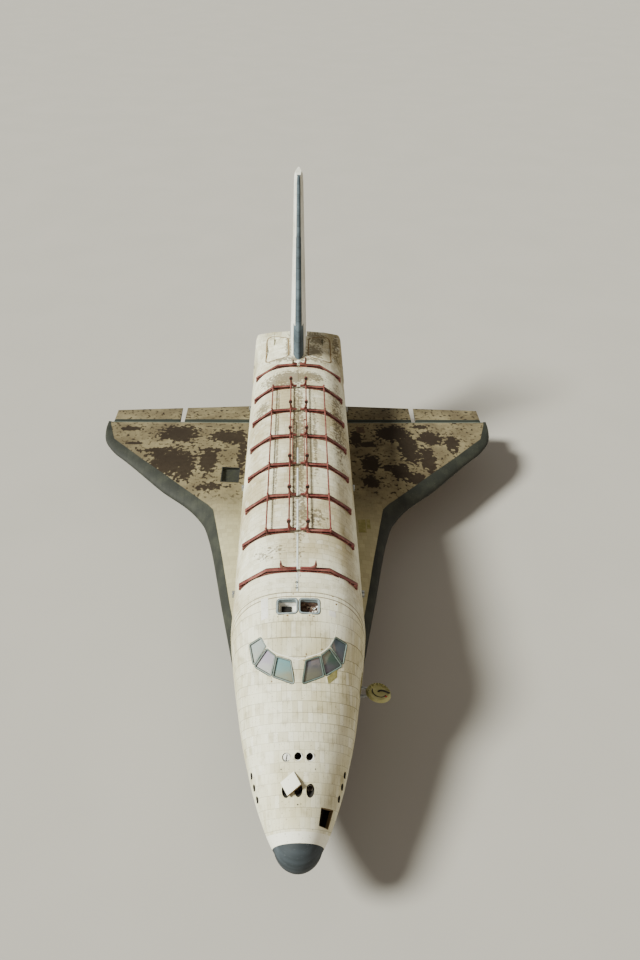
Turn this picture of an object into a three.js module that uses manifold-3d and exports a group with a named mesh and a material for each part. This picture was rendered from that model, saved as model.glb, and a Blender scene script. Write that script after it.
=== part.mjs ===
// A delta-winged space shuttle orbiter standing on its wheels, at real size, in millimetres.
// +Z is up, the nose points to -Y, +X is the port side, and the floor is z = 0.
// Stations are distances aft of the nose tip, and at() turns one into a Y coordinate.
import * as THREE from "three";
import { mergeVertices } from "three/addons/utils/BufferGeometryUtils.js";
import Module from "manifold-3d";

const wasm = await Module();
wasm.setup();

// Driving dimensions
const LENGTH = 36370; // nose tip to the fin tip's trailing edge
const HALF_SPAN = 11960;
const HEIGHT = 16350;
const BELLY_Z = 1950;
const ROOF_Z = 7850;
const FIT = 0.3; // gap between pieces that touch
const RUN = 8; // gap between pieces that move past each other
const SEAM = { bowl: 700, cabin: 8900, bay: 27600, tail: 31500 }; // stations where the body sections meet

const at = (station) => station - LENGTH / 2;
const lerp = (a, b, t) => a + (b - a) * t;

// The value of a table's named column at a key, straight between rows.
function between(table, key, column, value) {
  let i = 1;
  while (i < table.length - 1 && table[i][key] < value) i++;
  const a = table[i - 1];
  const b = table[i];
  const t = Math.min(1, Math.max(0, (value - a[key]) / (b[key] - a[key])));
  return lerp(a[column], b[column], t);
}

// Solids
const solidOf = (geometry) => {
  const bare = geometry.clone();
  bare.deleteAttribute("normal");
  bare.deleteAttribute("uv");
  const merged = mergeVertices(bare, 1e-3);
  const made = new wasm.Manifold(
    new wasm.Mesh({
      numProp: 3,
      vertProperties: merged.attributes.position.array,
      triVerts: new Uint32Array(merged.index.array),
    }),
  );
  return made;
};

const geometryOf = (solid) => {
  const mesh = solid.getMesh();
  const geometry = new THREE.BufferGeometry();
  const positions = new Float32Array(mesh.numVert * 3);
  for (let i = 0; i < mesh.numVert; i++) {
    const start = i * mesh.numProp;
    positions.set(mesh.vertProperties.subarray(start, start + 3), i * 3);
  }
  geometry.setAttribute("position", new THREE.BufferAttribute(positions, 3));
  geometry.setIndex(new THREE.BufferAttribute(mesh.triVerts, 1));
  geometry.computeVertexNormals();
  return geometry;
};

const joined = (solids) => solids.reduce((a, b) => a.add(b));

// A closed body through rings of points, all with the same count, with flat ends.
// Faces on the starboard side are split the other way, so that both sides match.
function loft(rings) {
  const count = rings[0].length;
  const positions = [];
  const index = [];
  rings.forEach((ring) => ring.forEach((p) => positions.push(p.x, p.y, p.z)));
  for (let r = 0; r + 1 < rings.length; r++) {
    for (let i = 0; i < count; i++) {
      const a = r * count + i;
      const b = r * count + ((i + 1) % count);
      const side = positions[3 * a] + positions[3 * b];
      if (side < 0) index.push(a, a + count, b + count, a, b + count, b);
      else index.push(a, a + count, b, b, a + count, b + count);
    }
  }
  [rings[0], rings[rings.length - 1]].forEach((ring, end) => {
    const centre = ring.reduce((sum, p) => sum.add(p), new THREE.Vector3()).divideScalar(count);
    const hub = positions.length / 3;
    const first = end ? (rings.length - 1) * count : 0;
    positions.push(centre.x, centre.y, centre.z);
    for (let i = 0; i < count; i++) {
      const a = first + i;
      const b = first + ((i + 1) % count);
      if (end) index.push(hub, b, a);
      else index.push(hub, a, b);
    }
  });
  const geometry = new THREE.BufferGeometry();
  geometry.setAttribute("position", new THREE.Float32BufferAttribute(positions, 3));
  geometry.setIndex(index);
  const made = solidOf(geometry);
  if (made.volume() > 0) return made;
  const turned = [];
  for (let i = 0; i < index.length; i += 3) turned.push(index[i], index[i + 2], index[i + 1]);
  geometry.setIndex(turned);
  return solidOf(geometry);
}

const block = (low, high) => {
  const size = new THREE.Vector3().subVectors(high, low);
  const middle = new THREE.Vector3().addVectors(low, high).multiplyScalar(0.5);
  return solidOf(new THREE.BoxGeometry(size.x, size.y, size.z).translate(middle.x, middle.y, middle.z));
};

const box = (x0, x1, y0, y1, z0, z1) => block(new THREE.Vector3(x0, y0, z0), new THREE.Vector3(x1, y1, z1));

// A round bar from one point to another, or a cone if its two radii differ.
function bar(from, to, radius, sides = 12, endRadius = radius) {
  const run = new THREE.Vector3().subVectors(to, from);
  const turn = new THREE.Quaternion().setFromUnitVectors(new THREE.Vector3(0, 1, 0), run.clone().normalize());
  const middle = new THREE.Vector3().addVectors(from, to).multiplyScalar(0.5);
  const geometry = new THREE.CylinderGeometry(endRadius, radius, run.length(), sides)
    .applyQuaternion(turn)
    .translate(middle.x, middle.y, middle.z);
  return solidOf(geometry);
}

const v = (x, y, z) => new THREE.Vector3(x, y, z);

// An outline in the X and Y plane, raised from one height to another.
function prism(outline, low, high) {
  const shape = new THREE.Shape(outline.map(([x, y]) => new THREE.Vector2(x, y)));
  const geometry = new THREE.ExtrudeGeometry(shape, { depth: high - low, bevelEnabled: false });
  return solidOf(geometry.translate(0, 0, low));
}

// An outline in the Y and Z plane, spread from one X to another.
function slab(outline, x0, x1) {
  const shape = new THREE.Shape(outline.map(([y, z]) => new THREE.Vector2(y, z)));
  const geometry = new THREE.ExtrudeGeometry(shape, { depth: x1 - x0, bevelEnabled: false });
  const turn = new THREE.Matrix4().makeBasis(v(0, 1, 0), v(0, 0, 1), v(1, 0, 0));
  return solidOf(geometry.applyMatrix4(turn).translate(x0, 0, 0));
}

// Body sections: half width, height of the widest line, belly, roof, and how square the two halves are.
const BODY = [
  { s: 700, wide: 850, waist: 3350, belly: 2460, roof: 4240, upper: 2.0, lower: 2.0 },
  { s: 1200, wide: 1090, waist: 3330, belly: 2320, roof: 4440, upper: 2.0, lower: 2.1 },
  { s: 2000, wide: 1390, waist: 3350, belly: 2190, roof: 4700, upper: 2.05, lower: 2.4 },
  { s: 3000, wide: 1710, waist: 3450, belly: 2080, roof: 5020, upper: 2.1, lower: 2.8 },
  { s: 4000, wide: 1960, waist: 3600, belly: 2010, roof: 5340, upper: 2.15, lower: 3.4 },
  { s: 5000, wide: 2190, waist: 3800, belly: 1970, roof: 5650, upper: 2.2, lower: 4.2 },
  { s: 5900, wide: 2360, waist: 4020, belly: 1950, roof: 5930, upper: 2.25, lower: 5.2 },
  { s: 6600, wide: 2470, waist: 4200, belly: 1950, roof: 6700, upper: 2.3, lower: 6.2 },
  { s: 7200, wide: 2570, waist: 4400, belly: 1950, roof: 7280, upper: 2.4, lower: 7.0 },
  { s: 7900, wide: 2680, waist: 4650, belly: 1950, roof: 7650, upper: 2.5, lower: 8.0 },
  { s: 8900, wide: 2800, waist: 4900, belly: 1950, roof: 7850, upper: 2.6, lower: 8.0 },
  { s: 27600, wide: 2800, waist: 4900, belly: 1950, roof: 7850, upper: 2.6, lower: 8.0 },
  { s: 31500, wide: 2620, waist: 4700, belly: 2000, roof: 7520, upper: 2.6, lower: 8.0 },
];
const ROOF_STEPS = 8; // points on a quarter of the upper half
const FLOOR_STEPS = 5;

// One body section as a ring of points, drawn in by an inset.
function bodyRing(station, inset = 0) {
  const get = (column) => between(BODY, "s", column, station);
  const wide = get("wide") - inset;
  const ring = [];
  const quarter = (steps, reach, power, side, backwards) => {
    for (let i = 0; i < steps; i++) {
      const angle = ((backwards ? steps - i : i) / steps) * (Math.PI / 2);
      const x = side * wide * Math.cos(angle) ** (2 / power);
      const z = get("waist") + reach * Math.sin(angle) ** (2 / power);
      ring.push(v(x, at(station), z));
    }
  };
  const up = get("roof") - inset - get("waist");
  const down = get("belly") + inset - get("waist");
  quarter(ROOF_STEPS, up, get("upper"), 1, false);
  quarter(ROOF_STEPS, up, get("upper"), -1, true);
  quarter(FLOOR_STEPS, down, get("lower"), -1, false);
  quarter(FLOOR_STEPS, down, get("lower"), 1, true);
  return ring;
}

const bodyStretch = (from, to, inset = 0) => {
  const inner = BODY.map((row) => row.s).filter((s) => s > from + 1 && s < to - 1);
  return loft([from, ...inner, to].map((s) => bodyRing(s, inset)));
};

// Height of the body's upper surface at a place.
function roofAt(x, station) {
  const get = (column) => between(BODY, "s", column, station);
  const share = 1 - Math.min(1, Math.abs(x) / get("wide")) ** get("upper");
  return get("waist") + (get("roof") - get("waist")) * share ** (1 / get("upper"));
}

const onRoof = (x, station) => v(x, at(station), roofAt(x, station));

// The outward direction of the upper surface at a place.
function roofNormal(x, station) {
  const step = 20;
  const along = new THREE.Vector3().subVectors(onRoof(x, station + step), onRoof(x, station - step));
  const across = new THREE.Vector3().subVectors(onRoof(x + step, station), onRoof(x - step, station));
  return across.cross(along).normalize();
}

// Nose: a round bowl ahead of the first body section, then the body up to a station
const BOWL = { reach: 950, steps: [4, 70, 200, 420] };
function noseStretch(to) {
  const round = (s) => Math.sqrt(1 - ((BOWL.reach - s) / BOWL.reach) ** 2);
  const rim = round(SEAM.bowl);
  const waist = BODY[0].waist;
  const bowl = BOWL.steps.map((s, i) => {
    const size = round(s) / rim;
    return bodyRing(SEAM.bowl).map((p) => v(p.x * size, at(i ? s : 0), waist + (p.z - waist) * size));
  });
  const inner = BODY.map((row) => row.s).filter((s) => s < to - 1);
  return loft([...bowl, ...[...inner, to].map((s) => bodyRing(s))]);
}

// The cap's rim lies on a plane that leans forward at the top
const RIM = { s: 800, z: 3350, lean: 0.295, low: 1500, high: 5500 };
const aheadOfRim = (shift) => {
  const line = [RIM.low, RIM.high].map((z) => [at(RIM.s + (RIM.z - z) * RIM.lean + shift), z]);
  return slab([[at(-200), RIM.low], line[0], line[1], [at(-200), RIM.high]], -1500, 1500);
};
const noseCap = () => noseStretch(1400).intersect(aheadOfRim(-FIT));

// Forward fuselage
const WALL = 160;
const CABIN = { front: 5750, back: 8740, floor: 2350, deck: 4850, deckThick: 80 };
const WINDOWS = [
  // corners in plan, as [x, station]: top inboard, top outboard, bottom outboard, bottom inboard
  { name: "inner", corners: [[310, 6490], [820, 6620], [960, 6180], [185, 5930]] },
  { name: "middle", corners: [[900, 6660], [1215, 6880], [1665, 6570], [1070, 6210]] },
  { name: "outer", corners: [[1275, 6980], [1455, 7260], [1880, 7230], [1730, 6640]] },
];
const PANE = { thick: 40, sunk: 45 };
const ROOF_LIGHT = { front: 7960, back: 8660, inner: 90, outer: 830, rim: 70, stand: 25 };
const PORTS = [
  // thruster mouths on the nose: place, radius, and how far the bore leans forward
  { x: -440, s: 3300, r: 155, lean: 0.45 },
  { x: 0, s: 3300, r: 155, lean: 0.45 },
  { x: 430, s: 3300, r: 155, lean: 0.45 },
  { x: -440, s: 2190, r: 151, lean: 2.25 },
  { x: 0, s: 2190, r: 151, lean: 2.25 },
  { x: 430, s: 2190, r: 151, lean: 2.25 },
];
const PORT_DEEP = 420;
const SIDE_PORTS = [2430, 2860, 3290]; // stations of the mouths on each flank
const SIDE_PORT = { share: 0.955, r: 120, deep: 350 };
const HOLLOW = [[810, 1760], [1260, 1920], [1050, 1270], [715, 1180]]; // the missing panel on the port side
// The crew hatch is a tapered plug: its radius grows from inner to outer between two X places
const HATCH = {
  s: 7130, z: 4270, from: 1500, to: 3200, inner: 230, outer: 710, wall: 150, open: 100,
  arms: [-60, 360], // where the hinge arms stand along the hull, from the middle
};
const HATCH_HINGE = { x: 2690, z: 3680 };

// A round bar along a thruster mouth's axis, between two distances from the skin.
function portBar(port, from, to, grow) {
  const mouth = onRoof(port.x, port.s);
  const axis = roofNormal(port.x, port.s).add(v(0, -port.lean, 0)).normalize();
  const ends = [from, to].map((distance) => mouth.clone().addScaledVector(axis, distance));
  return bar(...ends, port.r + grow, 10);
}

// The block that stands on four roof points and runs along their common normal.
function throughRoof(corners, outside, inside, grow = 0) {
  const points = corners.map(([x, s]) => onRoof(x, s));
  const middle = points.reduce((sum, p) => sum.add(p), new THREE.Vector3()).divideScalar(4);
  const first = new THREE.Vector3().subVectors(points[2], points[0]);
  const second = new THREE.Vector3().subVectors(points[3], points[1]);
  const normal = first.cross(second).normalize();
  if (normal.z < 0) normal.negate();
  const flat = points.map((p) => {
    const off = new THREE.Vector3().subVectors(p, middle);
    off.addScaledVector(normal, -off.dot(normal));
    return middle.clone().addScaledVector(off, 1 + grow / off.length());
  });
  const lift = (distance) => flat.map((p) => p.clone().addScaledVector(normal, distance));
  return loft([lift(-inside), lift(outside)]);
}

function forwardFuselage() {
  let body = noseStretch(SEAM.cabin - FIT).subtract(aheadOfRim(0));
  const hull = bodyStretch(CABIN.front, CABIN.back, WALL);
  const room = hull.intersect(box(-3000, 3000, at(0), at(9000), CABIN.floor, ROOF_Z));
  body = body.subtract(room);
  for (const window of WINDOWS) {
    const cut = throughRoof(window.corners, 300, 600);
    body = body.subtract(cut).subtract(mirrored(cut));
  }
  for (const side of [1, -1]) body = body.subtract(roofLight(side, 0, 400));
  for (const port of PORTS) body = body.subtract(portBar(port, -PORT_DEEP, PORT_DEEP, 0));
  for (const s of SIDE_PORTS) {
    const x = between(BODY, "s", "wide", s) * SIDE_PORT.share;
    const z = roofAt(x, s);
    for (const side of [1, -1]) {
      const inner = v(side * (x - SIDE_PORT.deep), at(s), z - 60);
      body = body.subtract(bar(inner, v(side * (x + 300), at(s), z + 50), SIDE_PORT.r, 8));
    }
  }
  body = body.subtract(throughRoof(HOLLOW, 200, 420));
  return body.subtract(hatchCone(RUN)).add(hatchEars());
}

const roofLight = (side, grow, deep) => {
  const { front, back, inner, outer } = ROOF_LIGHT;
  const xs = [side * (inner - grow), side * (outer + grow)].sort((a, b) => a - b);
  return box(xs[0], xs[1], at(front - grow), at(back + grow), ROOF_Z - 200 - deep, ROOF_Z + 100);
};

const mirrored = (solid) => {
  const geometry = geometryOf(solid).scale(-1, 1, 1);
  const index = geometry.index.array;
  for (let i = 0; i < index.length; i += 3) [index[i + 1], index[i + 2]] = [index[i + 2], index[i + 1]];
  return solidOf(geometry);
};

// Metal rims round the two roof lights, standing a little proud of the tiles
function roofLightRims() {
  const { rim, stand, front, back, outer } = ROOF_LIGHT;
  const outside = bodyStretch(front - 200, back + 200, -stand);
  const shell = outside.subtract(bodyStretch(front - 300, back + 300, -FIT));
  const outline = box(-outer - rim, outer + rim, at(front - rim), at(back + rim), 7000, 8200);
  const rims = shell.intersect(outline);
  return rims.subtract(roofLight(1, -10, 400)).subtract(roofLight(-1, -10, 400));
}

// Crew deck, instrument panel and two seats, seen through the glass
const SEAT = { x: 620, s: 7150, wide: 460, deep: 480, high: 420, back: 700, thick: 110 };
function flightDeck() {
  const hull = bodyStretch(CABIN.front + 20, CABIN.back - 20, WALL + FIT);
  const plate = hull.intersect(box(-3000, 3000, at(0), at(9000), CABIN.deck - CABIN.deckThick, CABIN.deck));
  const panel = hull.intersect(box(-1500, 1500, at(6050), at(6420), CABIN.deck - 20, 5850));
  const pieces = [plate, panel];
  for (const side of [1, -1]) {
    const x = side * SEAT.x;
    const half = SEAT.wide / 2;
    const cushion = CABIN.deck + SEAT.high;
    const end = SEAT.s + SEAT.deep;
    pieces.push(box(x - half, x + half, at(SEAT.s), at(end), CABIN.deck - 20, cushion));
    pieces.push(box(x - half, x + half, at(end - SEAT.thick), at(end), cushion - 20, cushion + SEAT.back));
  }
  return joined(pieces);
}

// Crew hatch, made in its closed place and then swung open about its hinge
const EAR = { thick: 40, pin: 15, bore: 15.32, sides: 16 }; // a pin with corners still turns in its bore
const hatchCone = (grow) => {
  const { s, z, from, to, inner, outer } = HATCH;
  return bar(v(from, at(s), z), v(to, at(s), z), inner + grow, 16, outer + grow);
};

function hatchEars() {
  const hinge = HATCH_HINGE;
  const pieces = [];
  for (const arm of HATCH.arms) {
    const y = at(HATCH.s) + arm;
    for (const edge of [1, -1]) {
      const ear = y + edge * (EAR.thick + FIT);
      const half = EAR.thick / 2;
      pieces.push(box(hinge.x - 220, hinge.x + 45, ear - half, ear + half, hinge.z - 60, hinge.z + 25));
    }
    pieces.push(bar(v(hinge.x, y - 80, hinge.z), v(hinge.x, y + 80, hinge.z), EAR.pin, EAR.sides));
  }
  return joined(pieces);
}

function hatch() {
  const hinge = HATCH_HINGE;
  const inside = bodyStretch(CABIN.front - 10, SEAM.cabin, HATCH.wall);
  let plug = bodyStretch(CABIN.front, SEAM.cabin - FIT).subtract(inside).intersect(hatchCone(0));
  for (const arm of HATCH.arms) {
    const y = at(HATCH.s) + arm;
    const half = EAR.thick / 2;
    const strap = box(hinge.x - 45, hinge.x + 45, y - half, y + half, hinge.z - 45, HATCH.z + 120);
    const inward = box(hinge.x - 160, hinge.x + 10, y - half, y + half, HATCH.z - 300, HATCH.z + 120);
    const bore = bar(v(hinge.x, y - 100, hinge.z), v(hinge.x, y + 100, hinge.z), EAR.bore, EAR.sides);
    plug = plug.add(strap).add(inward).subtract(bore);
  }
  const geometry = geometryOf(plug)
    .translate(-hinge.x, 0, -hinge.z)
    .rotateY(THREE.MathUtils.degToRad(HATCH.open))
    .translate(hinge.x, 0, hinge.z);
  return solidOf(geometry);
}

// Cover plate lying askew over the thruster mouths: it rests on its aft starboard edge
const COVER = { aft: [-165, 2775, 5005], starboard: [-640, 2460, 4800], port: [90, 2245, 5035], thick: 80 };
function portCover() {
  const [aft, starboard, port] = [COVER.aft, COVER.starboard, COVER.port].map(([x, s, z]) => v(x, at(s), z));
  const front = new THREE.Vector3().addVectors(starboard, port).sub(aft);
  const edge = new THREE.Vector3().subVectors(port, aft);
  const normal = new THREE.Vector3().subVectors(starboard, aft).cross(edge).normalize();
  if (normal.z < 0) normal.negate();
  const top = [aft, starboard, front, port];
  const plate = loft([top.map((p) => p.clone().addScaledVector(normal, -COVER.thick)), top]);
  return plate.subtract(bodyStretch(SEAM.bowl, 4000, -FIT));
}

// Payload bay: an open trough, with two doors hinged on its sills
const BAY = { radius: 2350, centreZ: 5200, front: 9150, back: 27350, sillZ: 5880, door: 110 };
const DOOR_HINGE = { x: 2800, z: 5880 };
const DOOR_HINGES = [10800, 18250, 25700]; // stations
const NOSE_BAY = { half: 560, front: 10550, back: 13200, top: 2650 };
const KNUCKLE = { thick: 60, half: 45 };

function midFuselage() {
  const outer = bodyStretch(SEAM.cabin, SEAM.bay - FIT);
  let body = outer.intersect(box(-4000, 4000, at(8000), at(29000), 1000, BAY.sillZ));
  const trough = bar(v(0, at(BAY.front), BAY.centreZ), v(0, at(BAY.back), BAY.centreZ), BAY.radius, 24);
  body = body.subtract(trough);
  const mouth = box(-BAY.radius, BAY.radius, at(BAY.front), at(BAY.back), BAY.centreZ, 9000);
  body = body.subtract(mouth);
  const { half: room, front, back, top } = NOSE_BAY;
  body = body.subtract(box(-room, room, at(front), at(back), 1000, top));
  const ears = [];
  for (const s of DOOR_HINGES) {
    for (const side of [1, -1]) {
      const x = side * DOOR_HINGE.x;
      for (const edge of [1, -1]) {
        const y = at(s) + edge * (KNUCKLE.thick + FIT);
        const reach = KNUCKLE.half;
        const xs = [x - side * 250, x + side * reach].sort((a, b) => a - b);
        const half = KNUCKLE.thick / 2;
        const { z } = DOOR_HINGE;
        ears.push(box(xs[0], xs[1], y - half, y + half, z - 300, z - 1));
        ears.push(box(x - reach, x + reach, y - half, y + half, z - 100, z + 30));
      }
      ears.push(bar(v(x, at(s) - 95, DOOR_HINGE.z), v(x, at(s) + 95, DOOR_HINGE.z), EAR.pin, EAR.sides));
    }
  }
  return body.add(joined(ears));
}

function bayDoor() {
  const outer = bodyStretch(SEAM.cabin + RUN, SEAM.bay - RUN);
  const inner = bodyStretch(SEAM.cabin, SEAM.bay, BAY.door);
  let door = outer.subtract(inner);
  door = door.intersect(box(RUN / 2, 4000, at(8000), at(29000), BAY.sillZ + RUN, 9000));
  for (const s of DOOR_HINGES) {
    const slots = box(2500, 3200, at(s) - 110, at(s) + 110, BAY.sillZ - 10, BAY.sillZ + 60);
    const half = KNUCKLE.thick / 2;
    const { x, z } = DOOR_HINGE;
    const pivot = (reach, r) => bar(v(x, at(s) - reach, z), v(x, at(s) + reach, z), r, EAR.sides);
    const lug = box(2620, x + 40, at(s) - half, at(s) + half, z + 25, z + 120).add(pivot(half, 42));
    door = door.subtract(slots).add(lug.subtract(pivot(half + 30, EAR.bore)));
  }
  return door;
}

// Red strongbacks bolted across the doors
const BEAM = {
  first: 10100, second: 12550, pitch: 2421, count: 8, wide: 170, deep: 170,
  inner: 70, short: 340, // X of the inner ends: at the centre line, and of the frames' beams at the rods
};
const BEND = { frame: 1400, front: 1300, rear: 1200 }; // X of the bend in each kind of beam
const FEET = [440, 2380];
const FOOT = { side: 120, low: 6300 };
const ROD = { inner: 410, outer: BEND.frame, r: 38, rise: 20, over: 90 }; // rise above the beams' top
const beamStation = (i) => (i ? BEAM.second + (i - 1) * BEAM.pitch : BEAM.first);
// Top line of a half beam from the centre out
const beamLine = (bend) => [{ x: BEAM.inner, z: 8030 }, { x: bend, z: 7930 }, { x: 2470, z: 7080 }];
const beamTop = (x, bend = BEND.frame) => between(beamLine(bend), "x", "z", x);

// Half a beam: a bent bar of even depth on two feet, from its inner end outwards.
function halfBeam(station, bend, inner) {
  const half = BEAM.wide / 2;
  const over = beamLine(bend);
  over[0] = { x: inner, z: beamTop(inner, bend) };
  const under = over.map(({ x, z }) => ({ x, z: z - BEAM.deep })).reverse();
  const shape = new THREE.Shape([...over, ...under].map(({ x, z }) => new THREE.Vector2(x, z)));
  const bent = new THREE.ExtrudeGeometry(shape, { depth: BEAM.wide, bevelEnabled: false })
    .rotateX(Math.PI / 2)
    .translate(0, at(station) + half, 0);
  const y = at(station);
  const foot = FOOT.side / 2;
  const feet = FEET.map((x) => {
    const top = beamTop(x, bend) - BEAM.deep / 2;
    return box(x - foot, x + foot, y - foot, y + foot, FOOT.low, top);
  });
  return joined([solidOf(bent), ...feet]);
}

const clearOfDoor = (solid) => solid.subtract(bodyStretch(SEAM.cabin - 100, SEAM.bay + 100, -FIT));

// Lifting claws beside the centre line: X of the foot, heel and neck, heights, and half the width of the head
const CLAWS = {
  hooked: { foot: 90, heel: 300, reach: 455, low: 7950, tip: 8560, head: 85 },
  prong: { foot: 90, heel: 560, reach: 760, low: 7950, tip: 8400, head: 30 },
  short: { foot: 90, heel: 330, reach: 470, low: 7970, tip: 8420, head: 45 },
  bent: { foot: 90, heel: 200, reach: 360, low: 7970, tip: 8290, head: 45 },
};
const CLAW = { thick: 80, arm: 80, neck: 80, point: 210 };
function claw(station, { foot, heel, reach, low, tip, head }) {
  const { thick, arm, neck, point } = CLAW;
  const middle = reach - neck / 2;
  const outline = new THREE.Shape();
  outline.moveTo(foot, low);
  outline.lineTo(heel, low);
  outline.quadraticCurveTo(reach - 10, low + arm / 2, reach, tip - point);
  outline.lineTo(middle + head, tip - point / 2);
  outline.lineTo(middle + head / 2, tip);
  outline.lineTo(middle - head / 2, tip);
  outline.lineTo(middle - head, tip - point / 2);
  outline.lineTo(reach - neck, tip - point);
  outline.quadraticCurveTo(reach - neck - 10, low + 1.5 * arm, heel - 60, low + arm);
  outline.lineTo(foot, low + arm);
  const settings = { depth: thick, bevelEnabled: false, curveSegments: 2 };
  const geometry = new THREE.ExtrudeGeometry(outline, settings);
  return solidOf(geometry.rotateX(Math.PI / 2).translate(0, at(station) + thick / 2, 0));
}

const singleBeam = (index, bend, kind) => {
  const station = beamStation(index);
  return clearOfDoor(halfBeam(station, bend, BEAM.inner).add(claw(station, kind)));
};

function doorFrame() {
  const parts = [];
  const last = BEAM.count - 2;
  for (let i = 1; i <= last; i++) {
    parts.push(halfBeam(beamStation(i), BEND.frame, BEAM.short), claw(beamStation(i), CLAWS.hooked));
  }
  const ends = [beamStation(1) - ROD.over, beamStation(last) + ROD.over];
  for (const x of [ROD.inner, ROD.outer]) {
    const z = beamTop(x) + ROD.rise;
    parts.push(bar(v(x, at(ends[0]), z), v(x, at(ends[1]), z), ROD.r, 6));
  }
  return clearOfDoor(joined(parts));
}

// Aft fuselage, and the two thruster pods at its corners
const POD = { back: 32250, flank: 2780 };
// A pod's section as [x, z], and how far its outer side is drawn in along its length
const POD_SECTION = {
  inner: [[1500, 4620], [1820, 4300]],
  side: [[2600, 4300], [2920, 4620]],
  shoulder: [[2660, 6950], [2380, 7270]],
  crest: [[1500, 7430]],
};
const POD_ROWS = [{ s: 29200, drawn: 760 }, { s: 30200, drawn: 170 }, { s: 31000, drawn: 0 }, { s: POD.back, drawn: 40 }];
const SHOULDER = [[520, 6750], [1560, 6450], [1560, 7400], [520, 7490]]; // the deck between the pods
const POD_MOUTHS = {
  r: 130, sideR: 120, deep: 300,
  back: [[2150, 5000], [2150, 5500], [2150, 6000], [2500, 5250], [2500, 5750]], // as [x, z]
  side: [30800, 31250, 31700], // stations
  sideZ: 5700,
};
function pod() {
  const { back, flank } = POD;
  const ring = ({ s, drawn }) => {
    const moved = (points, dx, dz) => points.map(([x, z]) => v(x - dx, at(s), z - dz));
    return [
      ...moved(POD_SECTION.inner, 0, 0),
      ...moved(POD_SECTION.side, drawn, 0),
      ...moved(POD_SECTION.shoulder, drawn, drawn / 2),
      ...moved(POD_SECTION.crest, 0, drawn / 2),
    ];
  };
  const deck = loft([SEAM.tail - 200, back].map((s) => SHOULDER.map(([x, z]) => v(x, at(s), z))));
  const { r: mouth, sideR, deep, sideZ } = POD_MOUTHS;
  const holes = POD_MOUTHS.back.map(([x, z]) => bar(v(x, at(back - deep), z), v(x, at(back + 100), z), mouth, 12));
  for (const s of POD_MOUTHS.side) {
    holes.push(bar(v(flank - deep, at(s), sideZ), v(flank + 200, at(s), sideZ), sideR, 12));
  }
  const whole = loft(POD_ROWS.map(ring)).add(deck);
  return whole.subtract(joined(holes)).subtract(bodyStretch(SEAM.bay, SEAM.tail + FIT, -FIT));
}

// Orbital engine bells that stand on the flat base
const ENGINE = { x: 720, z: 4550, block: 250, throat: 190, mouth: 420, long: 1150, wall: 25 };
function engineBell() {
  const { block, throat, mouth, long, wall } = ENGINE;
  // radius and distance aft of the base, out along the outside and back along the inside
  const profile = [
    [0, 0], [block, 0], [block, 260], [throat, 330], [mouth - 120, 700], [mouth, long],
    [mouth - wall, long], [mouth - 150, 700], [throat - 40, 380], [0, 360],
  ];
  const lathe = new THREE.LatheGeometry(profile.map(([x, y]) => new THREE.Vector2(x, y)), 14);
  return solidOf(lathe.translate(ENGINE.x, at(SEAM.tail) + FIT, ENGINE.z));
}

// Housing of the braking parachutes, on the base under the fin
const CHUTE = { half: 480, back: 31960, low: 6480, high: 7120, draw: 90 };
function chuteHousing() {
  const { half, back, low, high, draw } = CHUTE;
  const ring = (s, d) => {
    const corners = [[half - d, low + d], [half - d, high - d], [d - half, high - d], [d - half, low + d]];
    return corners.map(([x, z]) => v(x, at(s), z));
  };
  return loft([ring(SEAM.tail + FIT, 0), ring(back - draw, 0), ring(back, draw)]);
}

// Wing: sections across the span
const HINGE_S = 29130; // station of the elevon hinge line
const WING = [
  { x: 2200, lead: 6450, thick: 1250, plane: 2430, trail: 31350 },
  { x: 2880, lead: 9470, thick: 1240, plane: 2430, trail: 31300 },
  { x: 3640, lead: 13040, thick: 1220, plane: 2440, trail: 31235 },
  { x: 4720, lead: 18100, thick: 1160, plane: 2455, trail: 31145 },
  { x: 5116, lead: 19260, thick: 1110, plane: 2460, trail: 31110 },
  { x: 7910, lead: 22380, thick: 780, plane: 2520, trail: 30875 },
  { x: 10400, lead: 25150, thick: 500, plane: 2590, trail: 30665 },
  { x: 10850, lead: 25600, thick: 440, plane: 2600, trail: 30625 },
  { x: 11400, lead: 26350, thick: 370, plane: 2615, trail: 30580 },
  { x: 11700, lead: 26900, thick: 320, plane: 2622, trail: 30555 },
  { x: 11880, lead: 27500, thick: 270, plane: 2628, trail: 30540 },
  { x: HALF_SPAN, lead: 28150, thick: 200, plane: 2630, trail: 30530 },
];
const NOSE_SHARE = 0.35;
const WING_STEPS = [0, 0.01, 0.04, 0.1, 0.2, 0.35, 0.6, 0.8, 1];
const UP_SHARE = 0.62; // of the thickness lies above the wing's plane
const NOSE = { root: 262, tip: 92, rootX: 2200, tipX: HALF_SPAN }; // radius of the elevons' round front
const noseRadius = (x) => lerp(NOSE.root, NOSE.tip, (x - NOSE.rootX) / (NOSE.tipX - NOSE.rootX));
const hingeZ = (x) => lerp(2500, 2640, (x - NOSE.rootX) / (NOSE.tipX - NOSE.rootX));

function wingRing(row) {
  const upper = [];
  const lower = [];
  const radius = noseRadius(row.x);
  for (const share of WING_STEPS) {
    const s = lerp(row.lead, HINGE_S, share);
    const round = Math.sqrt(1 - Math.max(0, (NOSE_SHARE - share) / NOSE_SHARE) ** 2);
    const fade = Math.max(0, (share - NOSE_SHARE) / (1 - NOSE_SHARE)) ** 1.5;
    const top = lerp(row.plane + row.thick * UP_SHARE * round, hingeZ(row.x) + radius, fade);
    const bottom = lerp(row.plane - row.thick * (1 - UP_SHARE) * round, hingeZ(row.x) - radius, fade);
    upper.push(v(row.x, at(s), top));
    if (share) lower.push(v(row.x, at(s), bottom));
  }
  const edge = 18;
  upper.push(v(row.x, at(row.trail), hingeZ(row.x) + edge));
  lower.push(v(row.x, at(row.trail), hingeZ(row.x) - edge));
  return [...upper, ...lower.reverse()];
}

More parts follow.
